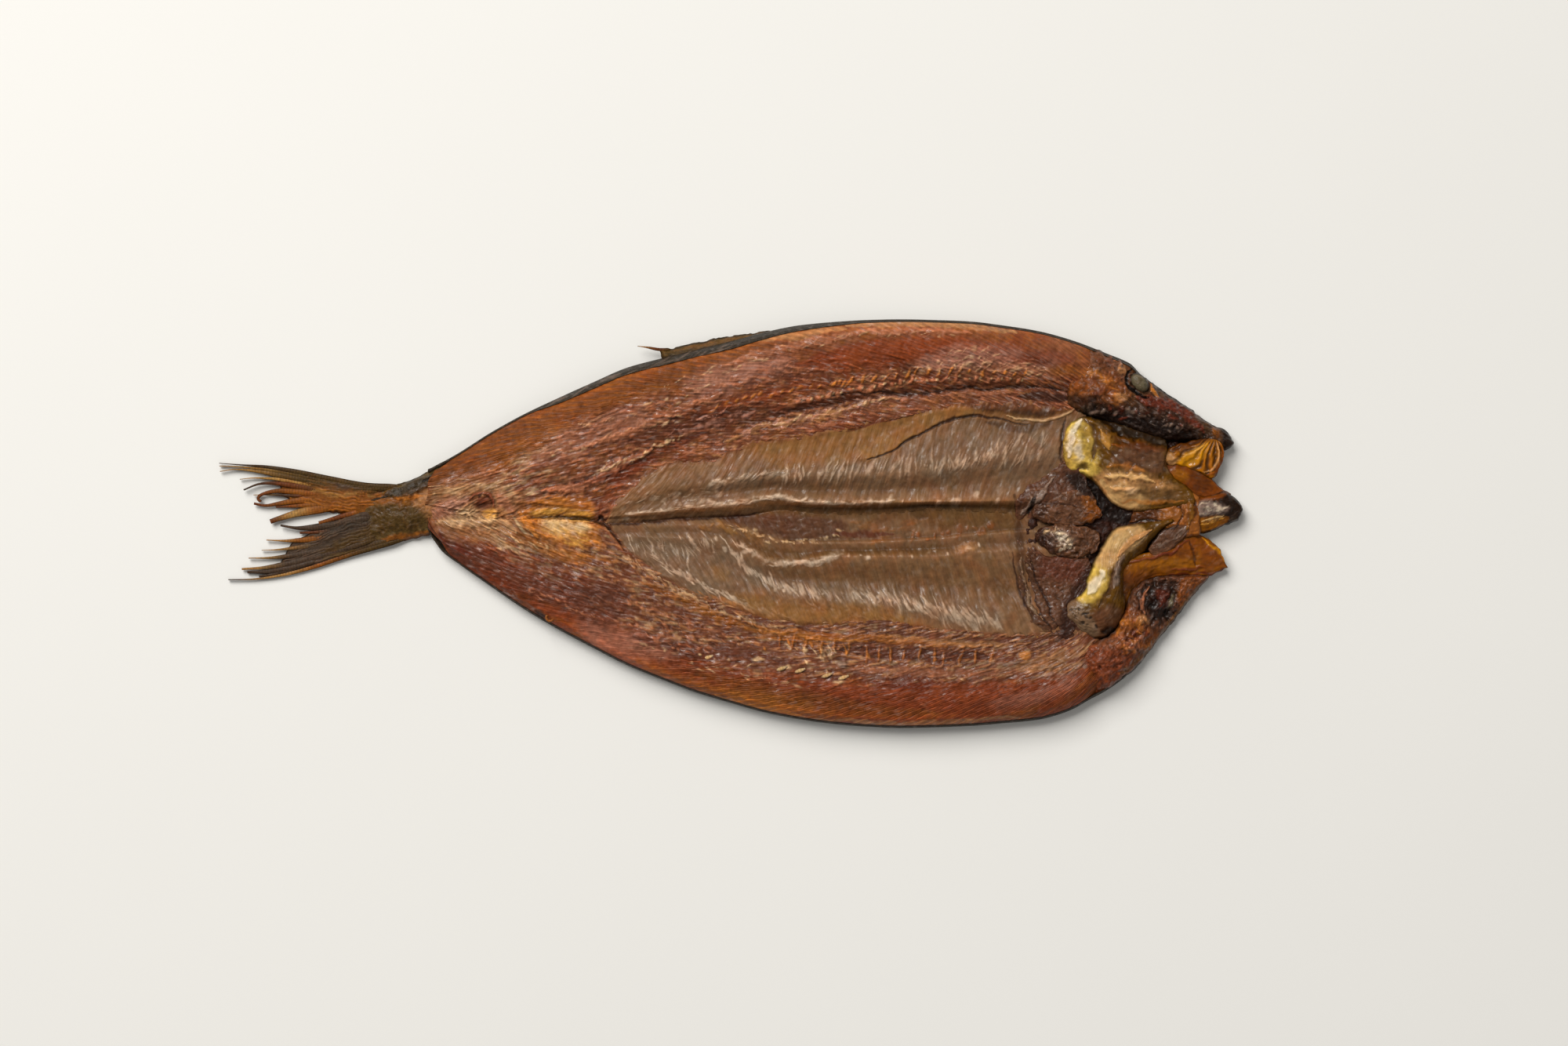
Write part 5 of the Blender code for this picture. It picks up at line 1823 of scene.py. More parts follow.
@dataclass
class BellyLining:
    """One half of the thin lining of the belly, with the ribs showing through.

    Attributes:
        side: Which half.
        stations: Grid points along it.
        points: Grid points across it.
        start: Where it begins, along the fish.
        end: Where it ends under the gills.
        under: Height of its underside.
        ribs: Distance between the ribs.
        wrinkles: Distance between the fine wrinkles.
        lean: How far the ribs lean back, as a slope, along the fish.
    """

    side: Side
    stations: int = 620
    points: int = 150
    start: float = -37.0
    end: float = 104.0
    under: float = 1.8
    ribs: float = 3.1
    wrinkles: float = 0.85
    lean: Line = Line(((-40, 1.0), (-20, 0.9), (0, 0.65), (30, 0.42), (60, 0.26), (100, 0.42)))

    def build(self, finisher: Finisher) -> bpy.types.Object:
        """Makes the half: the inner edge lies in the crease and the outer one is ragged.

        Args:
            finisher: Puts the mesh into the scene.

        Returns:
            The object.
        """
        sign, border = self.side.value, self.side.border
        along = np.linspace(self.start, self.end, self.stations)
        share = np.linspace(0.0, 1.0, self.points)
        x, v = np.meshgrid(along, share, indexing="ij")
        inner, outer = CREASE(along) + 0.25 - 0.35 * sign, border(along)
        y = inner[:, None] * (1.0 - v) + outer[:, None] * v
        y = y + 0.6 * sign * v**8 * noise(x, y * 0.0, 2.5, 61 + sign)
        tuck = smoothstep(0.7, 0.0, np.abs(y - inner[:, None])) * (0.5 - 0.35 * sign)
        tuck = tuck * (1.0 - 0.92 * smoothstep(2.0, 34.0, x))
        depth = np.abs(border(x) - y)
        ragged = depth - 1.3 - 1.5 * noise(x, y, 3.0, 81)
        sunk = 0.75 * (1.0 - smoothstep(-1.5, 1.5, ragged))
        canvas = Canvas(x, y, BODY.height(x, y) + 0.3 - tuck - sunk, Tone.LINING)
        self.relief(canvas, sign, depth)
        canvas.roughen(0.7, 4.0, 77)
        canvas.cloud(Tone.LINING_TAN, 0.6, (0.0, 0.8), 8.0, 79)
        canvas.cloud(Tone.LINING_OLIVE, 0.5, (0.1, 0.7), 5.0, 80)
        canvas.wet = np.full(x.shape, 0.8)
        canvas.dress(LINING_MARKS)
        seam = smoothstep(3.2, 0.4, depth + 1.6 * canvas.noise(2.5, 82))
        canvas.paint(seam, Tone.BROWN_FLESH, 0.8)
        canvas.cloud(Tone.TAN_FLESH, 0.6, (0.0, 0.6), 1.6, 83, within=seam)
        # Painted shade in the low places and painted light on the crests of the relief.
        canvas.paint_relief_shading(1.8, 0.8)
        canvas.paint_relief_shading(7.0, 0.25)
        return slab(self.side.named("belly_lining"), canvas, self.under).build(LINING, finisher)

    def relief(self, canvas: Canvas, sign: int, depth: Array) -> None:
        """Ribs under the lining, fine wrinkles between them, and a thin edge.

        Args:
            canvas: The surface.
            sign: 1 for the half beside the back fin's fillet, -1 for the other.
            depth: Distance from the outer border.
        """
        x, y = canvas.x, canvas.y
        edge = smoothstep(0.0, 0.8, depth)
        across = x - sign * self.lean(x) * (y - 3.0 * sign)
        rib = waves(across / self.ribs + 0.2 * canvas.noise(6.0, 71))
        fine = waves(across / self.wrinkles + 0.8 * canvas.noise(5.0, 72))
        far = smoothstep(5.0, 13.0, np.abs(y))
        canvas.grain = np.stack([y * 1.1, across * 0.9], axis=-1)
        patchy = smoothstep(-0.3, 0.4, canvas.noise(9.0, 74))
        canvas.lift(edge * far * rib * patchy, 0.16)
        canvas.lift(edge * (0.3 + 0.7 * far) * fine * canvas.noise(3.0, 75), 0.09)
        canvas.lift(edge * canvas.noise(3.5, 73), 0.22)
        canvas.lift(edge * canvas.flow_noise(1.2, 76, 4.0), 0.12)
        # Painted light: the raised ribs and wrinkles lighter.
        canvas.shade(0.9 + 0.2 * rib * far * patchy + 0.15 * fine * far * canvas.noise(3.0, 75))


SKIN_MARKS: tuple[Mark, ...] = (
    Beads(Tone.GREY_TISSUE_AND_GLINT, ((-54, 33.4), (-40, 39.6), (-28, 44.8), (-14, 48.6), (0, 52)), 2.2,
        (2.4, 0.25), 28, 0.6, 141, strength=0.55),
)


@dataclass
class Skin:
    """The skin: the underside and the rims, with a hidden top inside the flesh.

    Attributes:
        stations: Grid points along it.
        points: Grid points round it.
        back_lip: How far the skin shows on top of the back rim.
        front_lip: How far it shows on top of the front rim.
        hidden_inset: How far inside the lips the hidden top begins.
        hidden_height: Height of the hidden top.
        scale: Length and width of a scale.
        show_steps: Share of the lip at each step of a rim's roll.
        inset_steps: Distance inwards from the rim at each step.
        top_steps: Share of the flesh's height at each step.
        height_steps: Height added at each step.
    """

    stations: int = 330
    points: int = 190
    back_lip: Line = Line((
        (-89, 0.3), (-60, 0.3), (-55, 0.8), (-48, 1.6), (-30, 1.9), (-12, 2.1), (0, 2.2),
        (12, 1.8), (24, 1.3), (40, 0.6), (60, 0.4), (100, 0.5), (121, 0.9),
    ))
    front_lip: Line = Line(((-89, 0.3), (-60, 0.4), (0, 0.3), (60, 0.3), (121, 0.5)))
    hidden_inset: float = 0.6
    hidden_height: float = 2.2
    scale: tuple[float, float] = (3.4, 3.0)
    show_steps: tuple[float, ...] = (1.0, 0.5, 0.0, 0.0, 0.0, 0.0, 0.0, 0.0)
    inset_steps: tuple[float, ...] = (0.0, 0.0, -0.1, -0.35, 0.1, 1.2, 3.0, 6.0)
    top_steps: tuple[float, ...] = (1.0, 1.0, 1.0, 1.0, 0.0, 0.0, 0.0, 0.0)
    height_steps: tuple[float, ...] = (0.45, 0.45, 0.3, -0.8, 2.2, 1.0, 0.3, 0.0)

    def rolled(self, rim: Line, lip: Line, sign: int, along: Array) -> tuple[Array, Array]:
        """Across and height of a rim's roll, from its lip on top to the flat underside.

        Args:
            rim: The rim.
            lip: How far the skin shows on top.
            sign: 1 for the back rim and -1 for the front rim.
            along: Places along the fish.

        Returns:
            Two arrays with a row for each place and a column for each step of the roll.
        """
        inset = lip(along)[:, None] * np.array(self.show_steps) + np.array(self.inset_steps)
        y = rim(along)[:, None] - sign * inset
        top = BODY.height(np.broadcast_to(along[:, None], y.shape), y)
        return y, top * np.array(self.top_steps) + np.array(self.height_steps)

    def build(self, finisher: Finisher) -> bpy.types.Object:
        """Makes the skin: each row runs from the back rim, under the fish, to the front rim.

        Args:
            finisher: Puts the mesh into the scene.

        Returns:
            The object.
        """
        along = np.linspace(TAIL_CUT + 0.3, 120.0, self.stations)
        back_y, back_z = self.rolled(BACK_RIM, self.back_lip, 1, along)
        front_y, front_z = self.rolled(FRONT_RIM, self.front_lip, -1, along)
        ys = np.concatenate([back_y, front_y[:, ::-1]], axis=1)
        zs = np.concatenate([back_z, front_z[:, ::-1]], axis=1)
        steps = len(self.inset_steps)
        knots = np.concatenate([np.linspace(0.0, 0.22, steps), np.linspace(0.78, 1.0, steps)])
        share = np.linspace(0.0, 1.0, self.points)
        x = np.broadcast_to(along[:, None], (self.stations, self.points)).copy()
        y = np.stack([np.interp(share, knots, row) for row in ys])
        z = np.stack([np.interp(share, knots, row) for row in zs])
        canvas = Canvas(x, y, z, Tone.SKIN_COPPER)
        back, front = BACK_RIM(x), FRONT_RIM(x)
        outward = np.abs(y - (back + front) / 2) / ((back - front) / 2)
        canvas.paint(smoothstep(0.2, 0.6, outward), Tone.SKIN_SILVER, 0.7)
        canvas.paint(smoothstep(0.5, 0.85, outward), Tone.SKIN_OLIVE)
        canvas.paint(smoothstep(0.85, 0.97, outward), Tone.SKIN_DARK)
        along_scale, across_scale = x / self.scale[0], y / self.scale[1]
        scales = waves(along_scale + across_scale) * waves(along_scale - across_scale)
        canvas.shade(0.8 + 0.5 * scales)
        canvas.dress(SKIN_MARKS)
        canvas.wet = np.full(x.shape, 0.6)
        return self.close(canvas).build(SKIN, finisher)

    def close(self, canvas: Canvas) -> Piece:
        """Closes the skin with a hidden sheet between its two lips, inside the flesh.

        Args:
            canvas: The surface.

        Returns:
            The closed mesh.
        """
        index, top = canvas.index, canvas.points
        faces = cells(index)
        inner = []
        for column, sign in ((0, 1), (-1, -1)):
            hidden = top[index[:, column]].copy()
            hidden[:, 1] -= sign * self.hidden_inset
            hidden[:, 2] = self.hidden_height
            inner.append(hidden)
        first = index.size + np.arange(len(index))
        second = first + len(index)
        for start, end in ((index[:, 0], first), (first, second), (second, index[:, -1])):
            faces += np.stack([start[:-1], end[:-1], end[1:], start[1:]], -1).tolist()
        faces.append(index[0].tolist() + [second[0], first[0]])
        faces.append(index[-1].tolist() + [second[-1], first[-1]])
        source = np.concatenate([index.ravel(), index[:, 0], index[:, -1]])
        return Piece.from_canvas("skin", np.vstack([top, *inner]), faces, canvas, source)


# ---------------------------------------------------------------- head, gills and heart


@dataclass
class Leaf:
    """A plate or lobe between two edges that run from the tail's end to the snout's.

    Attributes:
        name: The piece's name.
        finish: The piece's finish.
        tone: Its first colour.
        upper: Points of the edge on the back fin's side.
        lower: Points of the other edge.
        low: Height of the lower edge at the start, middle and end.
        crest: Height of the middle at the start, middle and end.
        high: Height of the upper edge at the start, middle and end.
        under: Height of the underside.
        lumps: Height of its unevenness.
        lump: Size of its unevenness.
        lines: Height of the lines that run along it.
        pitch: Distance between those lines.
        body: Whether its heights are above the body's and not above the floor.
        step: Distance between grid points.
        wet: Oil level.
        hem: Width over which its edge turns down.
        ragged: How far its outline wanders.
        sink: How far its start dips into the flesh before it.
        marks: The marks on it.
        dip: Distance over which the start comes up again.
        least: Its least thickness.
    """

    name: str
    finish: Finish
    tone: Tone
    upper: Knots
    lower: Knots
    low: Trio
    crest: Trio
    high: Trio
    under: float = 2.0
    lumps: float = 0.2
    lump: float = 2.4
    lines: float = 0.0
    pitch: float = 1.2
    body: bool = False
    step: float = 0.28
    wet: float = 0.75
    hem: float = 0.8
    ragged: float = 0.35
    sink: float = 0.0
    marks: tuple[Mark, ...] = ()
    dip: float = 8.0
    least: float = 0.5

    def surface(self) -> Canvas:
        """The grid between the two edges, rounded over at all four sides.

        Returns:
            The surface.
        """
        upper, lower = Path(self.upper), Path(self.lower)
        length = max(upper.length(), lower.length())
        rows = max(12, round(length / self.step))
        high, low = upper.even(rows), lower.even(rows)
        widths = np.linalg.norm(high - low, axis=1)
        columns = max(8, round(float(widths.max()) / self.step))
        u, v = np.meshgrid(np.linspace(0, 1, rows), np.linspace(0, 1, columns), indexing="ij")
        place = low[:, None] * (1 - v)[..., None] + high[:, None] * v[..., None]
        x, y = place[..., 0], place[..., 1]
        wander = [self.ragged * noise(x, y, 1.8, self.seed + k, 2) for k in (1, 2)]
        x, y = x + wander[0], y + wander[1]
        stations = (0.0, 0.5, 1.0)
        tall = [Line(tuple(zip(stations, trio)))(u) for trio in (self.low, self.crest, self.high)]
        dome = 1.0 - np.abs(2.0 * v - 1.0) ** 2.3
        rim = tall[0] * (1.0 - v) + tall[2] * v
        z = rim + (tall[1] - (tall[0] + tall[2]) / 2.0) * dome
        width = widths[:, None]
        gap = np.minimum(np.minimum(u, 1.0 - u) * length, np.minimum(v, 1.0 - v) * width)
        z = z - self.hem * (1.0 - smoothstep(0.0, self.hem * 1.3, gap))
        z = z - self.sink * (1.0 - smoothstep(0.0, self.dip, u * length))
        if self.body:
            z = z + BODY.height(x, y)
        canvas = Canvas(x, y, z, self.tone)
        canvas.wet = np.full(x.shape, self.wet)
        canvas.grain = np.stack([u * length, v * width], axis=-1)
        self.gap = gap
        return canvas

    @property
    def seed(self) -> int:
        """A number for this piece's own unevenness."""
        return sum(map(ord, self.name))

    def shape(self, canvas: Canvas) -> None:
        """Adds the lumps and lines.

        Args:
            canvas: The surface.
        """
        hold = smoothstep(0.0, 1.0, self.gap)
        canvas.lift(hold * canvas.noise(self.lump, self.seed), self.lumps)
        canvas.lift(hold * canvas.noise(self.lump / 3.0, self.seed + 5), self.lumps * 0.3)
        wander = 0.7 * canvas.noise(4.0, self.seed + 3)
        lines = waves(canvas.grain[..., 1] / self.pitch + wander)
        lines = lines * smoothstep(-0.3, 0.3, canvas.flow_noise(2.0, self.seed + 4, 3.0))
        canvas.lift(hold * lines, self.lines)
        # Painted light: the raised lines lighter, the grooves between them darker.
        canvas.shade(1.0 + (lines - 0.4) * min(0.4, 2.0 * self.lines))
        canvas.roughen(0.8, 3.0, self.seed + 9)

    def piece(self) -> Piece:
        """The closed mesh.

        Returns:
            The closed mesh.
        """
        canvas = self.surface()
        self.shape(canvas)
        canvas.dress(self.marks)
        # Painted shade in the low places and painted light on the crests of the relief.
        canvas.paint_relief_shading(1.4, 1.4)
        # Painted shade where the edge turns down.
        canvas.shade(1.0 - 0.3 * smoothstep(self.hem, 0.0, self.gap))
        under = np.minimum(self.under, canvas.z - self.least)
        return slab(self.name, canvas, under)

    def build(self, finisher: Finisher) -> bpy.types.Object:
        """Makes the piece."""
        return self.piece().build(self.finish, finisher)


@dataclass
class Fan(Leaf):
    """A pleated membrane whose folds spread from a hinge.

    Attributes:
        hinge: Where the folds meet.
        pleats: Number of folds in a full turn.
        depth: Height of the folds.
    """

    hinge: tuple[float, float] = (0.0, 0.0)
    pleats: float = 40.0
    depth: float = 0.6

    def shape(self, canvas: Canvas) -> None:
        """Adds the folds: sharp valleys, darker than the crests, that open away from the hinge.

        Args:
            canvas: The surface.
        """
        dx, dy = canvas.x - self.hinge[0], canvas.y - self.hinge[1]
        angle = np.arctan2(dy, dx) / (2.0 * math.pi)
        away = np.hypot(dx, dy)
        fold = waves(angle * self.pleats + 0.7 * canvas.noise(3.5, 7))
        opened = smoothstep(0.5, 4.0, away) * smoothstep(0.0, 0.6, self.gap)
        canvas.lift(opened * fold, self.depth)
        # Painted shade: the fold valleys darker than the crests, and darker near the hinge and
        # edges.
        canvas.shade(0.35 + 0.85 * fold * opened + 0.3 * (1.0 - opened))
        canvas.grain = np.stack([away, angle * 60.0], axis=-1)
        canvas.roughen(0.3, 2.0, 17)


HEAD: tuple[Leaf, ...] = (
    Leaf("gill_tissue", TISSUE, Tone.BLOOD_AND_SHADOW, ((86, 30), (96, 33), (110, 33), (124, 30), (137, 24)),
        ((86, -30), (98, -35), (112, -34), (124, -20), (137, -8)), (3.4, 3.8, 2.6),
        (3.8, 4.0, 3.4), (3.4, 3.6, 2.6), 1.4, lumps=1.2, lump=2.6, wet=0.4, step=0.4, marks=(
        Stroke(Tone.BLACK, ((100, 14), (106, 9), (112, 3), (120, 1)), 2.6, 2),
        Beads(Tone.GREY_TISSUE_AND_GLINT, ((103, -14), (104, -10), (107, -7)), 1.2, (0.6, 0.4), 40, 0.9, 46,
            lift=0.6),
    )),
    Leaf("back_diaphragm", TISSUE, Tone.TROUGH, ((83.4, 8), (87, 11.6), (92, 14.4), (96, 17.6),
        (99.6, 18.4), (104, 14)), ((83, 0.6), (88, 0), (94, 0.4), (99, 3), (104, 5), (107, 7)),
        (-0.5, 0.3, 0.6), (0.8, 1.4, 1.2), (-0.5, 0.2, 0.4), body=True, lumps=0.35, wet=0.95,
        hem=0.5, ragged=0.8, marks=(
        Stroke(Tone.HEART_BROWN, ((84, 1), (87, 6), (91, 11), (96, 16)), 1.6, 1.4),
        Stroke(Tone.GREY_TISSUE_AND_GLINT, ((85, 3), (88, 6), (91.4, 9), (94, 13)), 0.8, 0.8, broken=1.2,
            lift=0.5),
        Stroke(Tone.BLACK, ((86, 1), (87.6, 4), (89, 8)), 0.5, 0.5, lift=-0.4),
        Beads(Tone.GREY_TISSUE_AND_GLINT, ((95, 9.6), (98, 11.6), (101, 9.6), (103.4, 8)), 1.2, (0.9, 0.4),
            20, 1, 42, lift=0.5),
        Area(Tone.BLACK, ((98, 15), (103, 14), (107, 8), (103, 8.6), (99, 11.6))),
    )),
    Leaf("front_diaphragm", TISSUE, Tone.TROUGH, ((83.4, 0), (87, -4), (92, -9), (98, -9.6),
        (104, -10), (106, -13)), ((84.6, -31), (89, -34.4), (95, -35), (101, -32.6), (104, -26),
        (106, -20)), (-0.6, 0.2, 0.6), (0.4, 1.1, 1.0), (-0.5, 0.9, 0.8), body=True, lumps=0.45,
        lump=1.8, lines=0.15, pitch=1.6, wet=0.7, hem=0.5, marks=(
        Area(Tone.LINING_DARK, ((84, 0), (88, -4), (90, -14), (92, -26), (94, -34), (86, -32),
            (84, -16)), 1.5, strength=0.5),
        Area(Tone.PURPLE_FLESH, ((91, -10), (103, -11), (103, -17), (96, -18), (91, -16)), 1.6),
        Area(Tone.HEART_BROWN, ((90, -17), (99, -17), (99, -24), (95, -31), (90, -27)), 1.6,
            strength=0.7),
        Stroke(Tone.BLOOD_AND_SHADOW, ((85, -4), (86, -12), (88, -20), (91, -27), (95, -32)), 0.6, 0.8,
            lift=-0.3),
        Stroke(Tone.BLOOD_AND_SHADOW, ((88, -10), (89.6, -17), (93, -25), (96, -31)), 0.4, broken=0.8,
            lift=-0.2),
        # Painted sheen: grey streaks on the wet membrane.
        Stroke(Tone.LINING_GREY_AND_SHEEN, ((86.6, -20), (88, -24), (90, -27)), 0.7, 0.8, broken=1.2,
            lift=0.4, oil=1),
        Stroke(Tone.LINING_GREY_AND_SHEEN, ((84.6, -6), (85.4, -14), (87.4, -21)), 0.5, broken=1.2,
            strength=0.7, lift=0.3, oil=1),
        Spot(Tone.YELLOW_FAT, (89, -31.8), (1.5, 1), -30, lift=0.3),
        Area(Tone.BLOOD_AND_SHADOW, ((98, -22), (103, -14), (106, -12), (106, -20), (103, -28), (97, -34),
            (96, -30)), 1.2),
    )),
    Leaf("upper_heart", HEART, Tone.HEART_BROWN, ((87.6, 4), (90, 7.6), (95, 9.8), (101, 9.8),
        (106, 8), (108.6, 4.4)), ((88.4, 1.4), (92, 0.2), (97, -0.4), (102, -0.4), (106, 0.4),
        (108.6, 2.4)), (5.4, 6.4, 5.4), (6.2, 7.6, 6.2), (5.4, 6.8, 5.2), lumps=0.6, lump=2.0,
        wet=0.8, hem=0.4, ragged=0.8, marks=(
        Spot(Tone.BLOOD_AND_SHADOW, (90.6, 3.4), (2.4, 2.4), strength=0.6),
        Area(Tone.HEART_ORANGE, ((102.6, 8), (107, 6.6), (108.4, 3.4), (106.4, 0.6), (103, 0.8),
            (104.4, 4)), 1.2, lift=0.3),
        Stroke(Tone.BLOOD_AND_SHADOW, ((90, 5.6), (95, 5.8), (101, 5)), 0.7, 1.4, broken=1.4, strength=0.6,
            lift=-0.3),
    )),
    Leaf("lower_heart", HEART, Tone.HEART_BROWN, ((89, -3.4), (91, -1), (96, -0.2), (102, -0.2),
        (107.6, -2)), ((89.6, -5), (93.6, -8.6), (98, -9.8), (104, -9.8), (108.6, -6)),
        (5.4, 6.0, 5.6), (6.4, 7.8, 6.8), (5.4, 6.6, 5.8), lumps=1.0, lump=1.8, wet=1.0, hem=0.4,
        ragged=0.8, marks=(
        Area(Tone.BLOOD_AND_SHADOW, ((88, -2), (92, -1), (95, -7), (92, -8.4))),
        # Painted highlights on the wet heart: a grey sheen with pale and silver glints.
        Spot(Tone.GREY_TISSUE_AND_GLINT, (96.6, -3.8), (3.4, 2.6), -20, strength=0.6, lift=0.4),
        Beads(Tone.CREAM_AND_GLINT, ((91.4, -2.4), (94, -1.6), (97, -3), (99, -5.4)), 1, (0.7, 0.45), 20, 1,
            44, lift=0.5),
        Beads(Tone.GILL_SILVER_AND_HIGHLIGHT, ((94, -2.4), (98, -3.4), (95, -4.4), (99, -5.4), (96, -6.4),
            (100, -6.8), (97, -7.4)), 0.6, (0.6, 0.35), 20, 1, 47, lift=0.35),
    )),
    Leaf("back_skull", TISSUE, Tone.LINING_DARK, ((100, 53.2), (106, 51.2), (111, 49.2),
        (117, 46.6), (120, 43.8), (125, 40), (130, 36.6), (135, 33.4), (140, 29.8), (143, 28.2),
        (145.8, 26.4), (147, 24.2)), ((98, 34.6), (104, 31.6), (110, 30), (116, 27.6), (122, 25.4),
        (129, 24), (136, 24), (142, 22.2), (145, 21.6), (147, 23)), (8.0, 6.2, 4.2),
        (10.8, 9.2, 5.4), (5.8, 4.2, 3.4), lumps=0.8, lump=2.2, wet=0.8, sink=3.4, marks=(
        Area(Tone.BROWN_FLESH, ((96, 53), (110, 50), (117, 46), (116, 40), (110, 38), (96, 40)), 2,
            strength=0.55),
        Area(Tone.ORANGE_FLESH, ((96, 46), (105, 44), (111, 43), (116, 38), (113, 34), (108, 36),
            (96, 39)), 2.6),
        Beads(Tone.ORANGE_FAT, ((100, 44.6), (105, 43), (110, 41.4), (113, 38), (112, 34.6)), 1.8,
            (1.3, 0.8), -20, 1, 57, strength=0.7, lift=0.3),
        Beads(Tone.PURPLE_FLESH, ((108, 47.4), (112, 46.8), (110, 44.4), (106, 40), (109, 38)),
            1.7, (1.1, 0.7), 20, 1, 58, lift=0.3),
        # Partly rose flesh, partly painted sparkles.
        Beads(Tone.ROSE_FLESH, ((111, 42.6), (113, 42), (112, 46), (115, 45), (111, 48)), 1.3,
            (0.7, 0.5), 20, 1, 59, lift=0.4, oil=1),
        Spot(Tone.TAN_FLESH, (113.8, 36.6), (1.9, 1.3), -20, lift=0.5, oil=1),
        Spot(Tone.TAN_FLESH, (114.6, 44.8), (1.4, 1.4), strength=0.7, lift=0.3),
        Area(Tone.BLOOD_AND_SHADOW, ((98, 37), (106, 37), (110, 35), (117, 34), (124, 36), (134, 31),
            (133, 25), (118, 27), (104, 31)), 1.6, strength=0.7),
        Stroke(Tone.BLACK, ((119.6, 46), (117, 45), (115.4, 42.4), (116.6, 39.4), (119.6, 37.4),
            (122.6, 36.8)), 0.6, lift=-0.4),
        Stroke(Tone.LINING_OLIVE, ((116.4, 44.6), (118.2, 45.2), (121, 43), (123, 40.4)), 0.4,
            lift=0.5, oil=1),
        Stroke(Tone.ORANGE_FAT, ((123, 40.4), (123.4, 38.6), (125.4, 36.8)), 0.5, lift=0.4, oil=1),
        Spot(Tone.HEART_ORANGE, (142, 26.6), (1, 1.6), 10, lift=0.4, oil=1),
        # Painted shadow along the skull's lower edge, over the mouth's roof.
        Area(Tone.BLACK, ((104, 34), (118, 32), (126, 30), (138, 26), (141, 24), (130, 23),
            (104, 28)), 2, lift=-0.8),
        # Painted sparkles on the dark, wet mass.
        Beads(Tone.GREY_TISSUE_AND_GLINT, ((102, 33), (107, 33), (112, 33.4), (118, 33), (124, 31.6),
            (129, 30)), 1.3, (0.8, 0.5), 20, 1, 51, strength=0.6, lift=0.5, oil=1),
        Beads(Tone.DEEP_RED, ((109, 34.6), (114, 32), (120, 33), (126, 33), (131, 29)), 1.6,
            (1, 0.6), 0, 0.9, 52, lift=0.4, oil=1),
        # Painted sparkles on the dark, wet mass.
        Beads(Tone.GREY_TISSUE_AND_GLINT, ((124, 29), (128, 28), (132, 27.6), (130, 30.6)), 1.2, (0.8, 0.4),
            40, 1, 60, lift=0.5, oil=1),
        Stroke(Tone.DEEP_RED, ((118, 37), (122, 36), (127, 35), (132, 32)), 1.6, 1.4, lift=0.3),
        Stroke(Tone.BLACK, ((119.6, 46), (117, 45), (115.4, 42.4), (116.6, 39.4), (119.6, 37.4),
            (122.6, 36.8)), 0.6, lift=-0.4),
        Stroke(Tone.JAW_DARK, ((119, 46.2), (122, 43.2), (124, 40.6), (124.4, 38.4)), 0.6,
            lift=0.2),
        Spot(Tone.BLACK, (119.4, 41), (3.6, 2.4), -48, lift=-1),
        Stroke(Tone.DEEP_RED, ((128, 36), (133, 32.4), (136, 29), (138, 26.6)), 1.3, 1.6),
        Stroke(Tone.JAW_DARK, ((121, 43), (126, 39.4), (131, 36), (136, 32.8), (141, 29.4)), 0.8,
            0.7),
        Area(Tone.BLACK, ((140, 29.8), (144, 28), (147, 26), (147, 22), (144.6, 20.8), (144, 23),
            (143.6, 26.4)), 0.6),
    )),
    Leaf("front_skull", TISSUE, Tone.TROUGH, ((101, -34.6), (107, -34.4), (112, -31.6),
        (115, -25.6), (118, -18.6), (124, -15.6), (132, -15), (140, -15)), ((104, -51.6),
        (110, -48.6), (115, -45), (120, -40.8), (125, -34.2), (130, -28.2), (135, -21.7),
        (140, -16.2)), (5.4, 4.1, 3.4), (10.4, 8.4, 5.6), (7.4, 6.6, 5.0), lumps=0.9, lump=2.0,
        wet=0.8, sink=3.2, marks=(
        Area(Tone.RED_FLESH, ((100, -34), (110, -35), (116, -34), (119, -39), (112, -47),
            (100, -52)), 2, strength=0.6),
        Area(Tone.BROWN_FLESH, ((100, -34), (106, -36), (112, -36), (116, -33), (112, -31)), 1.2,
            strength=0.7),
        Area(Tone.ORANGE_FLESH, ((112, -29), (117, -24), (122, -29), (125, -33), (120, -38),
            (113, -36)), 1.6),
        Beads(Tone.ORANGE_FAT, ((113, -31), (117, -28), (121, -30), (118, -34), (114, -35),
            (118, -39)), 1.7, (1.2, 0.8), 20, 1, 53, strength=0.7, lift=0.5),
        Beads(Tone.ROSE_FLESH, ((113, -33), (116, -34), (118, -36.6), (121, -34), (116, -36)), 1.5,
            (0.9, 0.6), 20, 1, 54, lift=0.5, oil=1),
        Beads(Tone.DEEP_RED, ((115, -27), (119, -31), (122, -31.6), (114, -33.6), (120, -36.6)),
            1.8, (1.1, 0.6), -30, 1, 63, lift=-0.4, oil=1),
        Area(Tone.BLACK, ((120, -19), (123, -17), (129, -17), (131, -20), (129, -26), (126, -29),
            (122, -27), (120, -23)), 2, lift=-1.6, oil=1),
        Spot(Tone.DEEP_RED, (126, -21.4), (2.4, 3), -20, lift=0.8, oil=1),
        Spot(Tone.BLACK, (124.4, -23), (1.2, 2.2), -30, lift=-0.4),
        Stroke(Tone.ROSE_FLESH, ((121, -26.4), (120.4, -22), (122, -18.4)), 0.5, 0.9, broken=1,
            lift=0.7, oil=1),
        Spot(Tone.EYE_GREEN, (129.2, -22.6), (0.8, 2), -20, lift=1, oil=1),
        Spot(Tone.BLACK, (127.6, -26.8), (1.1, 1.5), -40, lift=-1),
        Spot(Tone.TAN_FLESH, (120.4, -28), (2, 1), -10, lift=0.6, oil=1),
        Area(Tone.ORANGE_FLESH, ((131.6, -16), (138.4, -15.6), (136, -19.6), (132.4, -24),
            (130.8, -22)), 0.8),
        Stroke(Tone.LINING_OLIVE, ((114, -44), (118, -40.6), (123, -35.6), (128, -29.6),
            (133, -23.4), (137, -18.2)), 0.7, 0.9, 0.3, 0.6, strength=0.6),
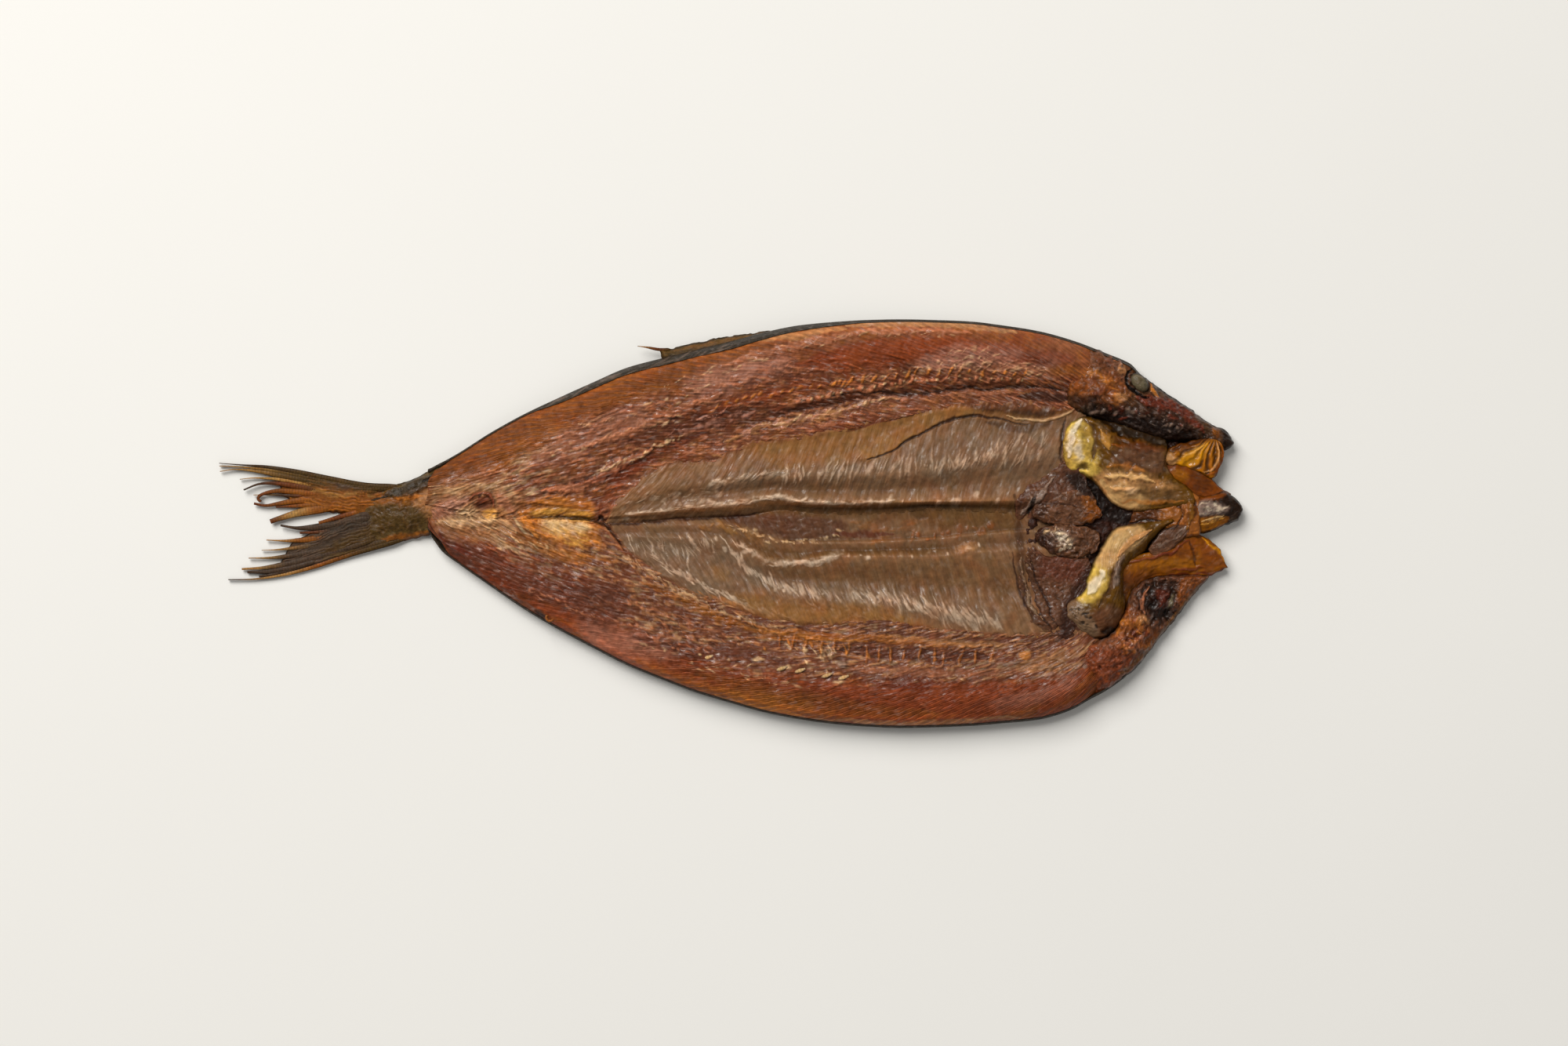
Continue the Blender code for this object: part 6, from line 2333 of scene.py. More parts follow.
        Stroke(Tone.JAW_DARK, ((112, -48), (117, -44), (121.6, -39.4), (126, -33.6), (131, -27.6),
            (137, -19.8)), 0.6, 0.6, 0.3),
    )),
    Leaf("back_jaw_web", MEMBRANE, Tone.AMBER_RED, ((122, 17), (128, 18.4), (132, 18), (136, 16.4),
        (139.6, 14.6), (142, 11.8), (146.4, 8.6)), ((122, 11), (128, 9.4), (132, 8), (136, 6.6),
        (139, 6), (142, 6.2), (145, 6.4)), (4.6, 4.8, 4.4), (5.4, 5.4, 4.8), (5.2, 5.2, 3.8),
        lumps=0.3, lump=3.0, lines=0.06, wet=0.9, hem=0.35, marks=(
        Area(Tone.AMBER_RED, ((127, 17), (134, 16), (136, 11), (130, 11.6), (126, 13)), lift=0.3),
        Spot(Tone.AMBER, (131.6, 14), (2.4, 1.8), -20, lift=0.3, oil=1),
        Area(Tone.AMBER_DARK, ((135, 16), (139, 14), (141, 11), (137, 9), (135, 11)),
            strength=0.6),
    )),
    Fan("amber_fan", MEMBRANE, Tone.AMBER, ((126, 19.6), (128, 22), (131, 23.2), (136, 24.4),
        (140, 25.4), (143, 24.6), (144.5, 21.6)), ((126, 18.4), (128.4, 16.8), (131, 17),
        (134.6, 15.6), (138, 14.4), (141, 13.2), (143.8, 17.4)), (5.6, 5.6, 4.8), (6.6, 6.6, 5.8),
        (6.0, 6.0, 5.4), lumps=0.1, wet=0.9, hem=0.35, hinge=(141.6, 26.4), pleats=26.0, depth=0.5,
        marks=(
        # Painted glow of light through the thin fan.
        Area(Tone.AMBER_BRIGHT, ((130, 17.6), (131.6, 19.6), (135, 21.6), (139, 23.4), (138, 19),
            (134, 16.6)), 0.8),
        Stroke(Tone.YELLOW_FAT, ((132, 19.4), (135.4, 21), (138.6, 23)), 0.4, 0.7, lift=0.2),
        Area(Tone.GILL_PINK, ((126.4, 20), (128.6, 20.4), (130.8, 18.4), (128, 17)), 0.7, lift=0.3,
            oil=1),
        Stroke(Tone.GILL_PINK, ((142.2, 23.4), (142.6, 19.4), (140.8, 15.8), (138, 14.8)), 0.35,
            0.5, lift=0.4, oil=1),
        # Painted shade along the fan's top, under the skull's edge.
        Area(Tone.AMBER_DARK, ((127, 22.6), (133, 24.4), (141, 26), (137, 23.2), (131, 21)), 0.8,
            lift=-0.3),
        Stroke(Tone.AMBER_RED, ((143.2, 23.4), (143.8, 19.4), (141.8, 15.2), (139, 14)), 0.6, 0.5,
            lift=0.3),
    )),
    Leaf("lower_jaw", GILL, Tone.JAW_DARK, ((131, 7), (136, 8.2), (140, 8.4), (144, 9.4),
        (146.4, 8.4), (148.6, 6.4), (150, 4.4)), ((131, -1.6), (136, -3), (140, -2.4), (144, -0.8),
        (146.6, 0.1), (148.8, 1.5), (150, 3.6)), (5.4, 5.0, 3.8), (7.2, 7.0, 4.8), (5.8, 5.4, 3.8),
        lumps=0.4, lump=1.6, lines=0.16, pitch=0.8, wet=0.9, hem=0.7, marks=(
        Area(Tone.AMBER_RED, ((133, 8.4), (141, 8.4), (144.6, 9), (141.6, 6.8), (136, 6)), 0.6),
        # Painted shine on top of the jaw, with painted glints.
        Area(Tone.JAW_SHINE, ((136.4, 5.8), (141, 6.4), (145, 4.8), (144.6, 3.4), (140, 2.2),
            (136.6, 2.4)), lift=0.5, oil=1),
        Beads(Tone.GILL_SILVER_AND_HIGHLIGHT, ((137, 3.2), (140, 3.8), (143.6, 4.4), (141, 5.2), (138, 5)), 0.9,
            (1, 0.22), 5, 0.7, 61, strength=0.6, lift=0.2, oil=1),
        Area(Tone.AMBER, ((136, 1.4), (143, 2.2), (145.6, 1.8), (143, -0.6), (137, -2.6)), 0.6),
        Spot(Tone.AMBER_FLESH, (133.4, 3), (1.6, 4.4)),
        Stroke(Tone.YELLOW_FAT, ((136.6, -0.8), (140, 0.4), (144.4, 2.2)), 0.2, 0.3, lift=0.25),
        Stroke(Tone.GILL_CREAM, ((136.6, 0.2), (140, 1.2), (144, 2.6)), 0.2, 0.3, lift=0.25),
        Stroke(Tone.AMBER_DARK, ((137, -0.2), (141, 0.8), (144.6, 2.2)), 0.12, 0.25, lift=-0.2),
        Beads(Tone.BLACK, ((137, 4), (140, 4.6), (138, 2.8), (141, 3.2)), 1, (1, 0.2), 5, 0.7, 62),
    )),
    Leaf("front_jaw_web", MEMBRANE, Tone.AMBER, ((110, -14), (113, -11.6), (118, -9.6),
        (124, -7.6), (129, -5), (134, -2.6), (137.6, -3.4), (140.6, -5), (143, -7.2)), ((110, -27),
        (115, -26), (118, -20), (122, -16.4), (128, -15.2), (134, -15.2), (139.6, -15.4),
        (143, -14.2), (145.4, -12.8)), (4.6, 5.0, 3.8), (6.8, 6.9, 4.8), (7.0, 6.6, 4.4),
        lumps=0.5, lump=4.0, lines=0.06, pitch=1.4, wet=0.85, hem=0.35, marks=(
        Area(Tone.AMBER_DARK, ((109, -16), (114, -15), (119, -15), (124, -14), (122, -17),
            (117, -21), (115, -27), (109, -28)), 1.6),
        Area(Tone.AMBER, ((114, -12.4), (120, -11), (130, -9), (134, -9), (130, -13),
            (116, -14.6)), strength=0.7),
        Area(Tone.AMBER_RED, ((123, -9), (130, -6), (136, -4), (136, -9), (130, -9.6)), 1.2),
        Stroke(Tone.DEEP_RED, ((113.6, -11.8), (118, -10.8), (124, -9.8), (129, -8), (134, -4.8)),
            0.4, 0.5, 0.4, lift=0.35),
        Area(Tone.AMBER_RED, ((112, -14), (122, -13), (132, -13), (136, -14), (124, -16),
            (114, -17)), 1.4, strength=0.6),
        Stroke(Tone.DEEP_RED, ((129, -13.6), (134, -13), (139, -12.8)), 0.45, lift=0.25),
        Area(Tone.AMBER_RED, ((137, -3), (141, -5), (146, -11), (145, -13), (137, -14)), 2),
        # Painted highlight along the web's edge.
        Stroke(Tone.AMBER_BRIGHT, ((138, -4.4), (142, -7.6), (144.6, -11)), 0.5, 1, lift=0.2),
        Stroke(Tone.AMBER_DARK, ((134.6, -5.4), (135.4, -9), (136, -12)), 0.5, 1.2, lift=-0.3),
        Stroke(Tone.DEEP_RED, ((124, -15.4), (133, -14.9), (140, -14.6), (144.4, -13.4)), 0.5, 0.6,
            0.4),
    )),
    Leaf("back_gill_cover", GILL, Tone.GILL_BRONZE, ((97.2, 21.6), (97.4, 25.6), (99.2, 29.2),
        (103, 31.2), (109, 30.8), (116, 29.2), (122, 27.4), (127.4, 24.6), (127.2, 19),
        (129, 14.4), (132.6, 11.6), (136, 8.4)), ((97.2, 21.4), (97.4, 18), (99.4, 15.2),
        (103, 14.4), (106.4, 12), (109.4, 8.4), (112, 5.6), (116, 4), (121, 3.6), (127, 4),
        (132, 4.6), (136, 5)), (6.6, 6.4, 5.8), (7.4, 9.6, 7.2), (6.6, 6.6, 6.2), 3.0, lumps=0.9,
        lump=5.0, lines=0.05, wet=0.95, hem=0.7, ragged=0.25, marks=(
        Area(Tone.GILL_GOLD, ((98, 29), (102, 30), (105, 28), (106, 24), (107, 18), (106, 14.6),
            (98.4, 15)), 1.8, strength=0.95),
        Area(Tone.GILL_BRONZE, ((102, 27), (106, 29), (108, 25), (108, 20), (105, 17), (104, 21)),
            1.2, strength=0.55, lift=-0.3),
        Stroke(Tone.HEART_BROWN, ((103.4, 30.4), (105.8, 27.6), (106.4, 23), (106, 18.6)), 0.7,
            1.2, broken=0.9, strength=0.7, lift=-0.4),
        Area(Tone.GILL_BRONZE, ((107, 29), (112, 28), (118, 26), (119, 21), (113, 21), (109, 19)),
            1.8),
        # Painted highlight, in yellow, on the cover's left part.
        Stroke(Tone.YELLOW_FAT, ((107.6, 27.6), (109.4, 24.6), (110, 21.6)), 1, 1.6, broken=1,
            strength=0.6, lift=0.3),
        Stroke(Tone.AMBER_RED, ((111, 23), (115, 22.6), (120, 22.4), (125, 20.6)), 1, 1.6,
            broken=0.8, strength=0.7, lift=0.3),
        Area(Tone.GILL_OLIVE, ((111, 21), (117, 21), (122, 20), (121, 17), (115, 18)), 1.4,
            strength=0.6, lift=-0.4),
        Area(Tone.HEART_BROWN, ((112, 21), (119, 23), (126, 22), (126, 15), (119, 16), (112, 17)),
            1.6),
        # Painted shadow under the skull's edge.
        Area(Tone.BLACK, ((106, 31.4), (118, 30), (128, 26), (127, 22.4), (120, 24), (112, 26.8),
            (108, 29)), 1.2, lift=-1.2),
        Area(Tone.AMBER_DARK, ((112, 26), (120, 24), (126.6, 21.6), (120, 21.4), (113, 23)), 1.2,
            strength=0.7),
        Area(Tone.GILL_PINK, ((107, 14), (111, 15), (118, 15), (125, 13), (130, 11), (122, 8),
            (118, 4), (110, 6)), 1.8),
        Area(Tone.GILL_CREAM, ((109, 11), (114, 12), (121, 10), (121, 5), (114, 5)), 2,
            strength=0.6, lift=0.3),
        Stroke(Tone.GILL_CREAM, ((108.4, 12.4), (110.6, 9.4), (113, 6.6), (117, 4.9)), 1.1, 1, 0.5,
            oil=0.7),
        # The cover's silver edge with a painted highlight on it, and a painted highlight spot.
        Stroke(Tone.GILL_SILVER_AND_HIGHLIGHT, ((102.8, 30), (100.4, 27.4), (99.1, 24), (98.8, 19.6)), 1.1, 1.2,
            0.6, lift=0.4, oil=1),
        Spot(Tone.GILL_SILVER_AND_HIGHLIGHT, (101.4, 21), (1.5, 3.2), 6, lift=0.3, oil=1),
        Spot(Tone.GILL_OLIVE, (103, 16.4), (1.7, 1), 10, lift=-0.6),
        Stroke(Tone.ORANGE_FAT, ((109.6, 16.4), (115, 17), (120.4, 15.4)), 0.9, 2.2, broken=1,
            strength=0.6, lift=0.2),
        # Painted highlight along the crest of the lobe.
        Stroke(Tone.GILL_CREAM, ((109, 13.6), (114, 13.8), (119, 13.4), (123.6, 12)), 0.8, 1.3,
            broken=0.8, strength=0.7, lift=0.7, oil=1),
        Stroke(Tone.GILL_PINK, ((110.6, 10.8), (114, 9.6), (118, 10.6)), 0.6, 0.7, lift=0.4,
            oil=1),
        # Painted highlight on a round bump.
        Spot(Tone.CREAM_AND_GLINT, (116.8, 9.6), (2, 1.2), 10, lift=0.7, oil=1),
        Area(Tone.LINING_OLIVE, ((119, 11.4), (126, 10.4), (131, 9.2), (130, 7), (121, 7.4)), 0.9),
        Stroke(Tone.ORANGE_FAT, ((114, 6.4), (119, 6.6), (125, 6.2), (132, 6.2)), 0.7, 0.8,
            strength=0.6),
    )),
    Leaf("throat", MEMBRANE, Tone.AMBER_FLESH, ((111, 2.6), (118, 4), (124, 4.6), (130, 6),
        (134, 9), (137, 8)), ((111, -1), (118, -2), (124, -2), (128, -3), (132, -4), (137, -3.6)),
        (4.4, 6.2, 6.6), (4.4, 6.4, 7.6), (4.2, 6.0, 6.6), 3.0, lumps=0.6, lump=2.0, lines=0.1,
        pitch=1.3, wet=0.9, hem=0.4, sink=3.4, marks=(
        Area(Tone.BLOOD_AND_SHADOW, ((108, 4), (118, 4), (126, 4), (122, 0), (110, -2)), 1.6),
        Stroke(Tone.BLACK, ((116, 0.6), (122, 0.8), (127, 0.6)), 0.3, 0.5, lift=-0.3),
        Stroke(Tone.AMBER_DARK, ((129.6, 9), (130.6, 6), (132, 3), (130.6, -1)), 0.5, 1,
            broken=0.8, lift=-0.4),
        Stroke(Tone.GILL_BRONZE, ((132.4, 8.4), (134, 6), (134.6, 2), (133, -2)), 0.6, 1,
            broken=0.6, lift=0.5, oil=1),
        Spot(Tone.AMBER_DARK, (135.6, 5), (0.8, 3.4), 10, lift=-0.3),
    )),
    Leaf("front_gill_cover", GILL, Tone.GILL_BRONZE, ((98.3, -26.4), (98.4, -23.2), (100.8, -21.6),
        (103.2, -19.6), (104.4, -15.6), (106.6, -10.4), (109.6, -4.8), (112.6, -1.2),
        (117.4, -0.2), (123, 0.8), (128.6, 1.8)), ((98.4, -27), (101, -30.6), (104.4, -32.8),
        (108.4, -33.4), (112.6, -31), (115.4, -25), (114.8, -17.6), (116, -12.4), (120.4, -8.6),
        (122.6, -5.6), (125.4, -2.6), (130, 0.6)), (6.0, 6.2, 6.8), (7.8, 11.0, 7.8),
        (6.4, 7.4, 6.4), 3.0, lumps=0.45, lump=3.0, lines=0.1, pitch=1.1, wet=0.85, hem=0.7,
        ragged=0.3, marks=(
        Area(Tone.GILL_GOLD, ((101.4, -21.6), (104, -18), (106, -11.6), (109, -11), (109.6, -17),
            (107, -22), (104, -23.6)), 1.4, strength=0.9),
        Stroke(Tone.HEART_BROWN, ((107, -24), (110.4, -19.4), (111.6, -14), (113.4, -10.4)), 0.9,
            1.3, broken=0.8, strength=0.7, lift=-0.4),
        Area(Tone.GILL_CREAM, ((106, -11.6), (109.4, -5), (113, -1), (119, -0.6), (121, -4),
            (115, -9), (112, -12.4)), 1.2),
        Area(Tone.GILL_BRONZE, ((105, -24), (110, -20), (115, -17), (116, -25), (112, -29),
            (106, -27)), 1.4),
        Area(Tone.HEART_BROWN, ((105, -26), (110, -24), (115, -26), (112, -33), (107, -33)), 1.4),
        # Painted highlight on the silver ridge of the cover.
        Stroke(Tone.GILL_SILVER_AND_HIGHLIGHT, ((104.8, -20.6), (106.6, -17.4), (108.4, -13.6)), 1.3, 1, 0.6,
            lift=0.4, oil=1),
        Stroke(Tone.GREY_TISSUE_AND_GLINT, ((111.4, -18.6), (112.6, -15), (113.4, -11.4), (115, -8.6)), 1,
            0.8, broken=0.6, lift=0.4, oil=1),
        # Painted highlight along the pink ridge.
        Stroke(Tone.GILL_PINK, ((112.6, -9.4), (115.6, -6.4), (119, -4), (123, -1.6)), 0.9, 0.8,
            broken=0.6, lift=0.4, oil=1),
        Area(Tone.LINING_GREY_AND_SHEEN, ((97.4, -22.4), (101, -22.4), (105.6, -27.6), (107.6, -32),
            (103, -33.4), (98, -28)), 0.8),
        Beads(Tone.BLACK, ((99.6, -25.6), (102, -28.6), (105, -29.4), (104, -26.6), (101.6, -25),
            (107, -30)), 0.8, (0.4, 0.28), 30, 1, 74, lift=-0.3),
        Spot(Tone.BLACK, (111, -31.4), (2.4, 1.5), lift=-0.6),
    )),
    Leaf("jaw_flap", TISSUE, Tone.HEART_BROWN, ((121.8, -7.4), (123.4, -5), (126, -2.2),
        (129, -0.6), (132, -0.2), (134.4, -0.6)), ((122.4, -8.8), (124.6, -9.6), (128, -8),
        (131, -5.6), (133.4, -3.4), (135, -1.8)), (7.2, 7.2, 6.6), (7.6, 8.0, 7.4),
        (7.6, 7.9, 7.2), 4.0, lump=1.2, lines=0.2, pitch=0.7, wet=0.95, hem=0.3, marks=(
        Stroke(Tone.BLACK, ((121.8, -7.2), (123.8, -4.4), (127, -1.7), (131, -0.4)), 0.3, 0.4,
            0.4),
        Beads(Tone.GREY_TISSUE_AND_GLINT, ((124, -7), (127, -5), (130, -3.4), (132.6, -2)), 0.6, (1.4, 0.22),
            34, 0.7, 144, lift=0.15, oil=1),
    )),
)


@dataclass
class Eye:
    """The dried eye, a low oval dome in its socket.

    Attributes:
        centre: Its middle.
        size: Its half axes.
        degrees: How far its long axis is turned from +X.
        base: Height of its rim.
        rise: Height of its middle over the rim.
        under: Height of its underside.
    """

    centre: tuple[float, float] = (119.3, 41.0)
    size: tuple[float, float] = (3.5, 2.3)
    degrees: float = -47.0
    base: float = 6.4
    rise: float = 2.4
    under: float = 3.5

    def build(self, finisher: Finisher) -> bpy.types.Object:
        """Makes the eye as a grid of strips across the oval.

        Args:
            finisher: Puts the mesh into the scene.

        Returns:
            The object.
        """
        rows, columns = 40, 32
        u, v = np.meshgrid(np.linspace(-1, 1, rows), np.linspace(-1, 1, columns), indexing="ij")
        reach = np.sqrt(1.0 - (0.985 * u) ** 2)
        along, across = u * self.size[0], v * reach * self.size[1]
        c, s = math.cos(math.radians(self.degrees)), math.sin(math.radians(self.degrees))
        x = self.centre[0] + along * c - across * s
        y = self.centre[1] + along * s + across * c
        level = np.clip(1.0 - u**2 - (v * reach) ** 2, 0.0, 1.0)
        canvas = Canvas(x, y, self.base + self.rise * np.sqrt(level), Tone.EYE_GREEN)
        canvas.lift(level * canvas.noise(1.4, 83), 0.3)
        canvas.wet = np.full(x.shape, 0.9)
        canvas.paint(smoothstep(0.5, 0.1, level), Tone.BLACK, 0.95)
        return slab("eye", canvas, self.under).build(EYE, finisher)


# ---------------------------------------------------------------- tail and fins


@dataclass
class Blade:
    """A thin tapering strip, such as a fin ray or a torn end.

    Attributes:
        path: Points of its middle line, from root to tip.
        width: Half its width at the root, middle and tip.
        height: Height of its top at the root, middle and tip.
        tones: Its colours from root to tip.
        thick: Its thickness.
        segments: Depth of the joints across it.
        joint: Distance from one joint to the next.
        step: Distance between grid points along it.
        columns: Grid points across it.
    """

    path: Knots
    width: Trio
    height: Trio
    tones: tuple[Tone, ...]
    thick: float = 0.7
    segments: float = 0.05
    joint: float = 0.85
    step: float = 0.25
    columns: int = 9

    def piece(self) -> Piece:
        """The closed strip: a low arch in section, with fine joints across it.

        Returns:
            The closed strip.
        """
        line = Path(self.path)
        length = line.length()
        rows = max(14, round(length / self.step))
        middle = line.even(rows)
        ahead = np.gradient(middle, axis=0)
        ahead /= np.linalg.norm(ahead, axis=1, keepdims=True)
        side = np.stack([-ahead[:, 1], ahead[:, 0]], axis=1)
        across = np.linspace(-1, 1, self.columns)
        u, v = np.meshgrid(np.linspace(0, 1, rows), across, indexing="ij")
        stations = (0.0, 0.5, 1.0)
        half = Line(tuple(zip(stations, self.width)))(u)
        root = 1.0 - smoothstep(0.0, 0.14, u)
        half = half * (1.0 - 0.6 * root)
        top = Line(tuple(zip(stations, self.height)))(u) - 0.9 * root**2
        place = middle[:, None] + side[:, None] * (half * v)[..., None]
        z = top - 0.35 * np.minimum(half, 1.2) * v**2
        canvas = Canvas(place[..., 0], place[..., 1], z, self.tones[0])
        share = u * (len(self.tones) - 1)
        for k, tone in enumerate(self.tones[1:]):
            canvas.paint(smoothstep(0.0, 1.0, share - k), tone)
        joints = waves(u * length / self.joint)
        canvas.lift(joints, self.segments)
        canvas.shade((0.8 + 0.35 * joints) * (1.0 + 0.25 * canvas.noise(3.0, 95)))
        # Painted shade on the sloping sides of the arch.
        canvas.shade(1.0 - 0.55 * v**4)
        canvas.grain = np.stack([u * length, half * v], axis=-1)
        canvas.wet = np.full(u.shape, 0.35)
        return slab("blade", canvas, canvas.z.min(axis=1, keepdims=True) - self.thick)


OLIVE, ORANGE, RED, STRAW, GREY = (
    Tone.FIN_OLIVE, Tone.FIN_ORANGE, Tone.FIN_RED, Tone.FIN_STRAW, Tone.FIN_GREY,
)
UPPER_RAYS: tuple[Blade, ...] = (
    Blade(((-93, 10.8), (-106, 11.1), (-118, 13.3), (-128, 15.4), (-136, 16.7), (-143, 17.2),
        (-149.6, 17.7)), (0.9, 0.8, 0.12), (2.6, 1.9, 1.6), (OLIVE, OLIVE, GREY)),
    Blade(((-95, 9.8), (-112, 11.2), (-124, 13.6), (-134, 15.7), (-143, 16.6), (-149.6, 16.9)),
        (0.9, 0.9, 0.12), (2.5, 1.8, 1.2), (OLIVE, OLIVE, STRAW)),
    Blade(((-100, 9.8), (-114, 10.6), (-126, 13), (-137, 15.1), (-144.6, 15.9), (-149.4, 15.3)),
        (0.9, 1.0, 0.12), (2.4, 1.8, 1.4), (OLIVE, OLIVE, STRAW)),
    Blade(((-101, 9.3), (-114, 9.8), (-124, 11.8), (-132, 13), (-139, 13.4), (-143.6, 13)),
        (0.9, 0.9, 0.1), (2.4, 1.7, 1.3), (OLIVE, ORANGE, STRAW, STRAW)),
    Blade(((-103, 8.9), (-116, 9.2), (-126, 10.8), (-133, 11.8), (-138, 11.6), (-142.4, 9.9)),
        (0.9, 1.0, 0.22), (2.4, 1.7, 1.9), (ORANGE, OLIVE, RED, GREY)),
    Blade(((-103, 8.2), (-116, 8.2), (-126, 9.2), (-132.6, 9.6), (-137, 8.6), (-138.2, 7.4),
        (-137.4, 6.4)), (0.9, 1.1, 0.4), (2.3, 1.7, 2.0), (ORANGE, RED, ORANGE, RED)),
    Blade(((-104, 7.3), (-116, 7), (-126, 6.8), (-132, 5.9), (-136, 5.3), (-139.4, 5.9)),
        (0.9, 1.1, 0.35), (2.2, 1.6, 1.7), (ORANGE, ORANGE, ORANGE, RED)),
    Blade(((-124, 8.2), (-130, 8.3), (-134.6, 8.5), (-139.6, 8.4)), (0.5, 0.4, 0.1),
        (1.6, 1.5, 1.3), (RED, GREY, STRAW)),
    Blade(((-106, 6.2), (-114, 5.4), (-120, 4.4), (-127, 3), (-132.4, 1.4), (-134.6, 0.6)),
        (1.0, 1.4, 0.7), (2.2, 1.8, 1.9), (ORANGE, ORANGE, ORANGE, STRAW, RED)),
    Blade(((-108, 3.6), (-113, 2.4), (-117, 1.2), (-120.4, 0.2)), (0.9, 0.7, 0.5), (2.2, 1.8, 1.9),
        (ORANGE, RED, ORANGE)),
    Blade(((-112, 5.8), (-120, 5.6), (-127, 5.2), (-133, 4.9)), (0.6, 0.7, 0.3), (2.0, 1.6, 1.4),
        (ORANGE, ORANGE, RED)),
)
LOWER_RAYS: tuple[Blade, ...] = (
    Blade(((-104, 1.9), (-111, 0.8), (-118, -0.6), (-126, -1.3), (-131.6, -0.5)), (1.0, 1.1, 0.3),
        (2.6, 2.0, 2.0), (GREY, GREY, GREY)),
    Blade(((-104, 0.4), (-112, -1), (-119, -2.2), (-126, -2.7)), (1.0, 1.0, 0.3), (2.4, 1.9, 1.5),
        (GREY, GREY, RED)),
    Blade(((-103, -1.2), (-112, -2.7), (-121, -4.3), (-129, -5), (-135.8, -4.8)), (1.0, 1.0, 0.15),
        (2.3, 1.7, 1.4), (OLIVE, GREY, ORANGE, STRAW)),
    Blade(((-103, -2.2), (-113, -4.6), (-123, -6.4), (-131, -7.5), (-137.2, -7.8)),
        (0.9, 0.9, 0.1), (2.3, 1.6, 1.3), (OLIVE, GREY, STRAW)),
    Blade(((-102, -3.2), (-113, -6.2), (-124, -8.6), (-133, -9.9), (-141, -10.1)),
        (0.9, 1.1, 0.15), (2.3, 1.6, 1.4), (OLIVE, GREY, GREY, STRAW)),
    Blade(((-102, -4), (-113, -7.4), (-125, -10.7), (-135, -12.7), (-143, -13.3)), (0.9, 1.2, 0.3),
        (2.3, 1.6, 1.5), (OLIVE, GREY, GREY, STRAW)),
    Blade(((-120, -10.6), (-128, -12.8), (-135, -14), (-141.4, -14.2)), (0.7, 0.9, 0.4),
        (1.7, 1.5, 1.3), (GREY, GREY, GREY)),
    Blade(((-96, -3.6), (-113, -8.4), (-125, -12.4), (-133, -14.6), (-138, -15.5)),
        (0.9, 1.1, 0.3), (2.2, 1.5, 1.3), (OLIVE, GREY, GREY)),
    Blade(((-93, -3.8), (-110, -8.6), (-122, -12.6), (-131, -15), (-139, -16.2), (-147, -16.4)),
        (0.9, 0.7, 0.15), (2.2, 1.4, 1.2), (OLIVE, OLIVE, ORANGE, STRAW, GREY)),
)

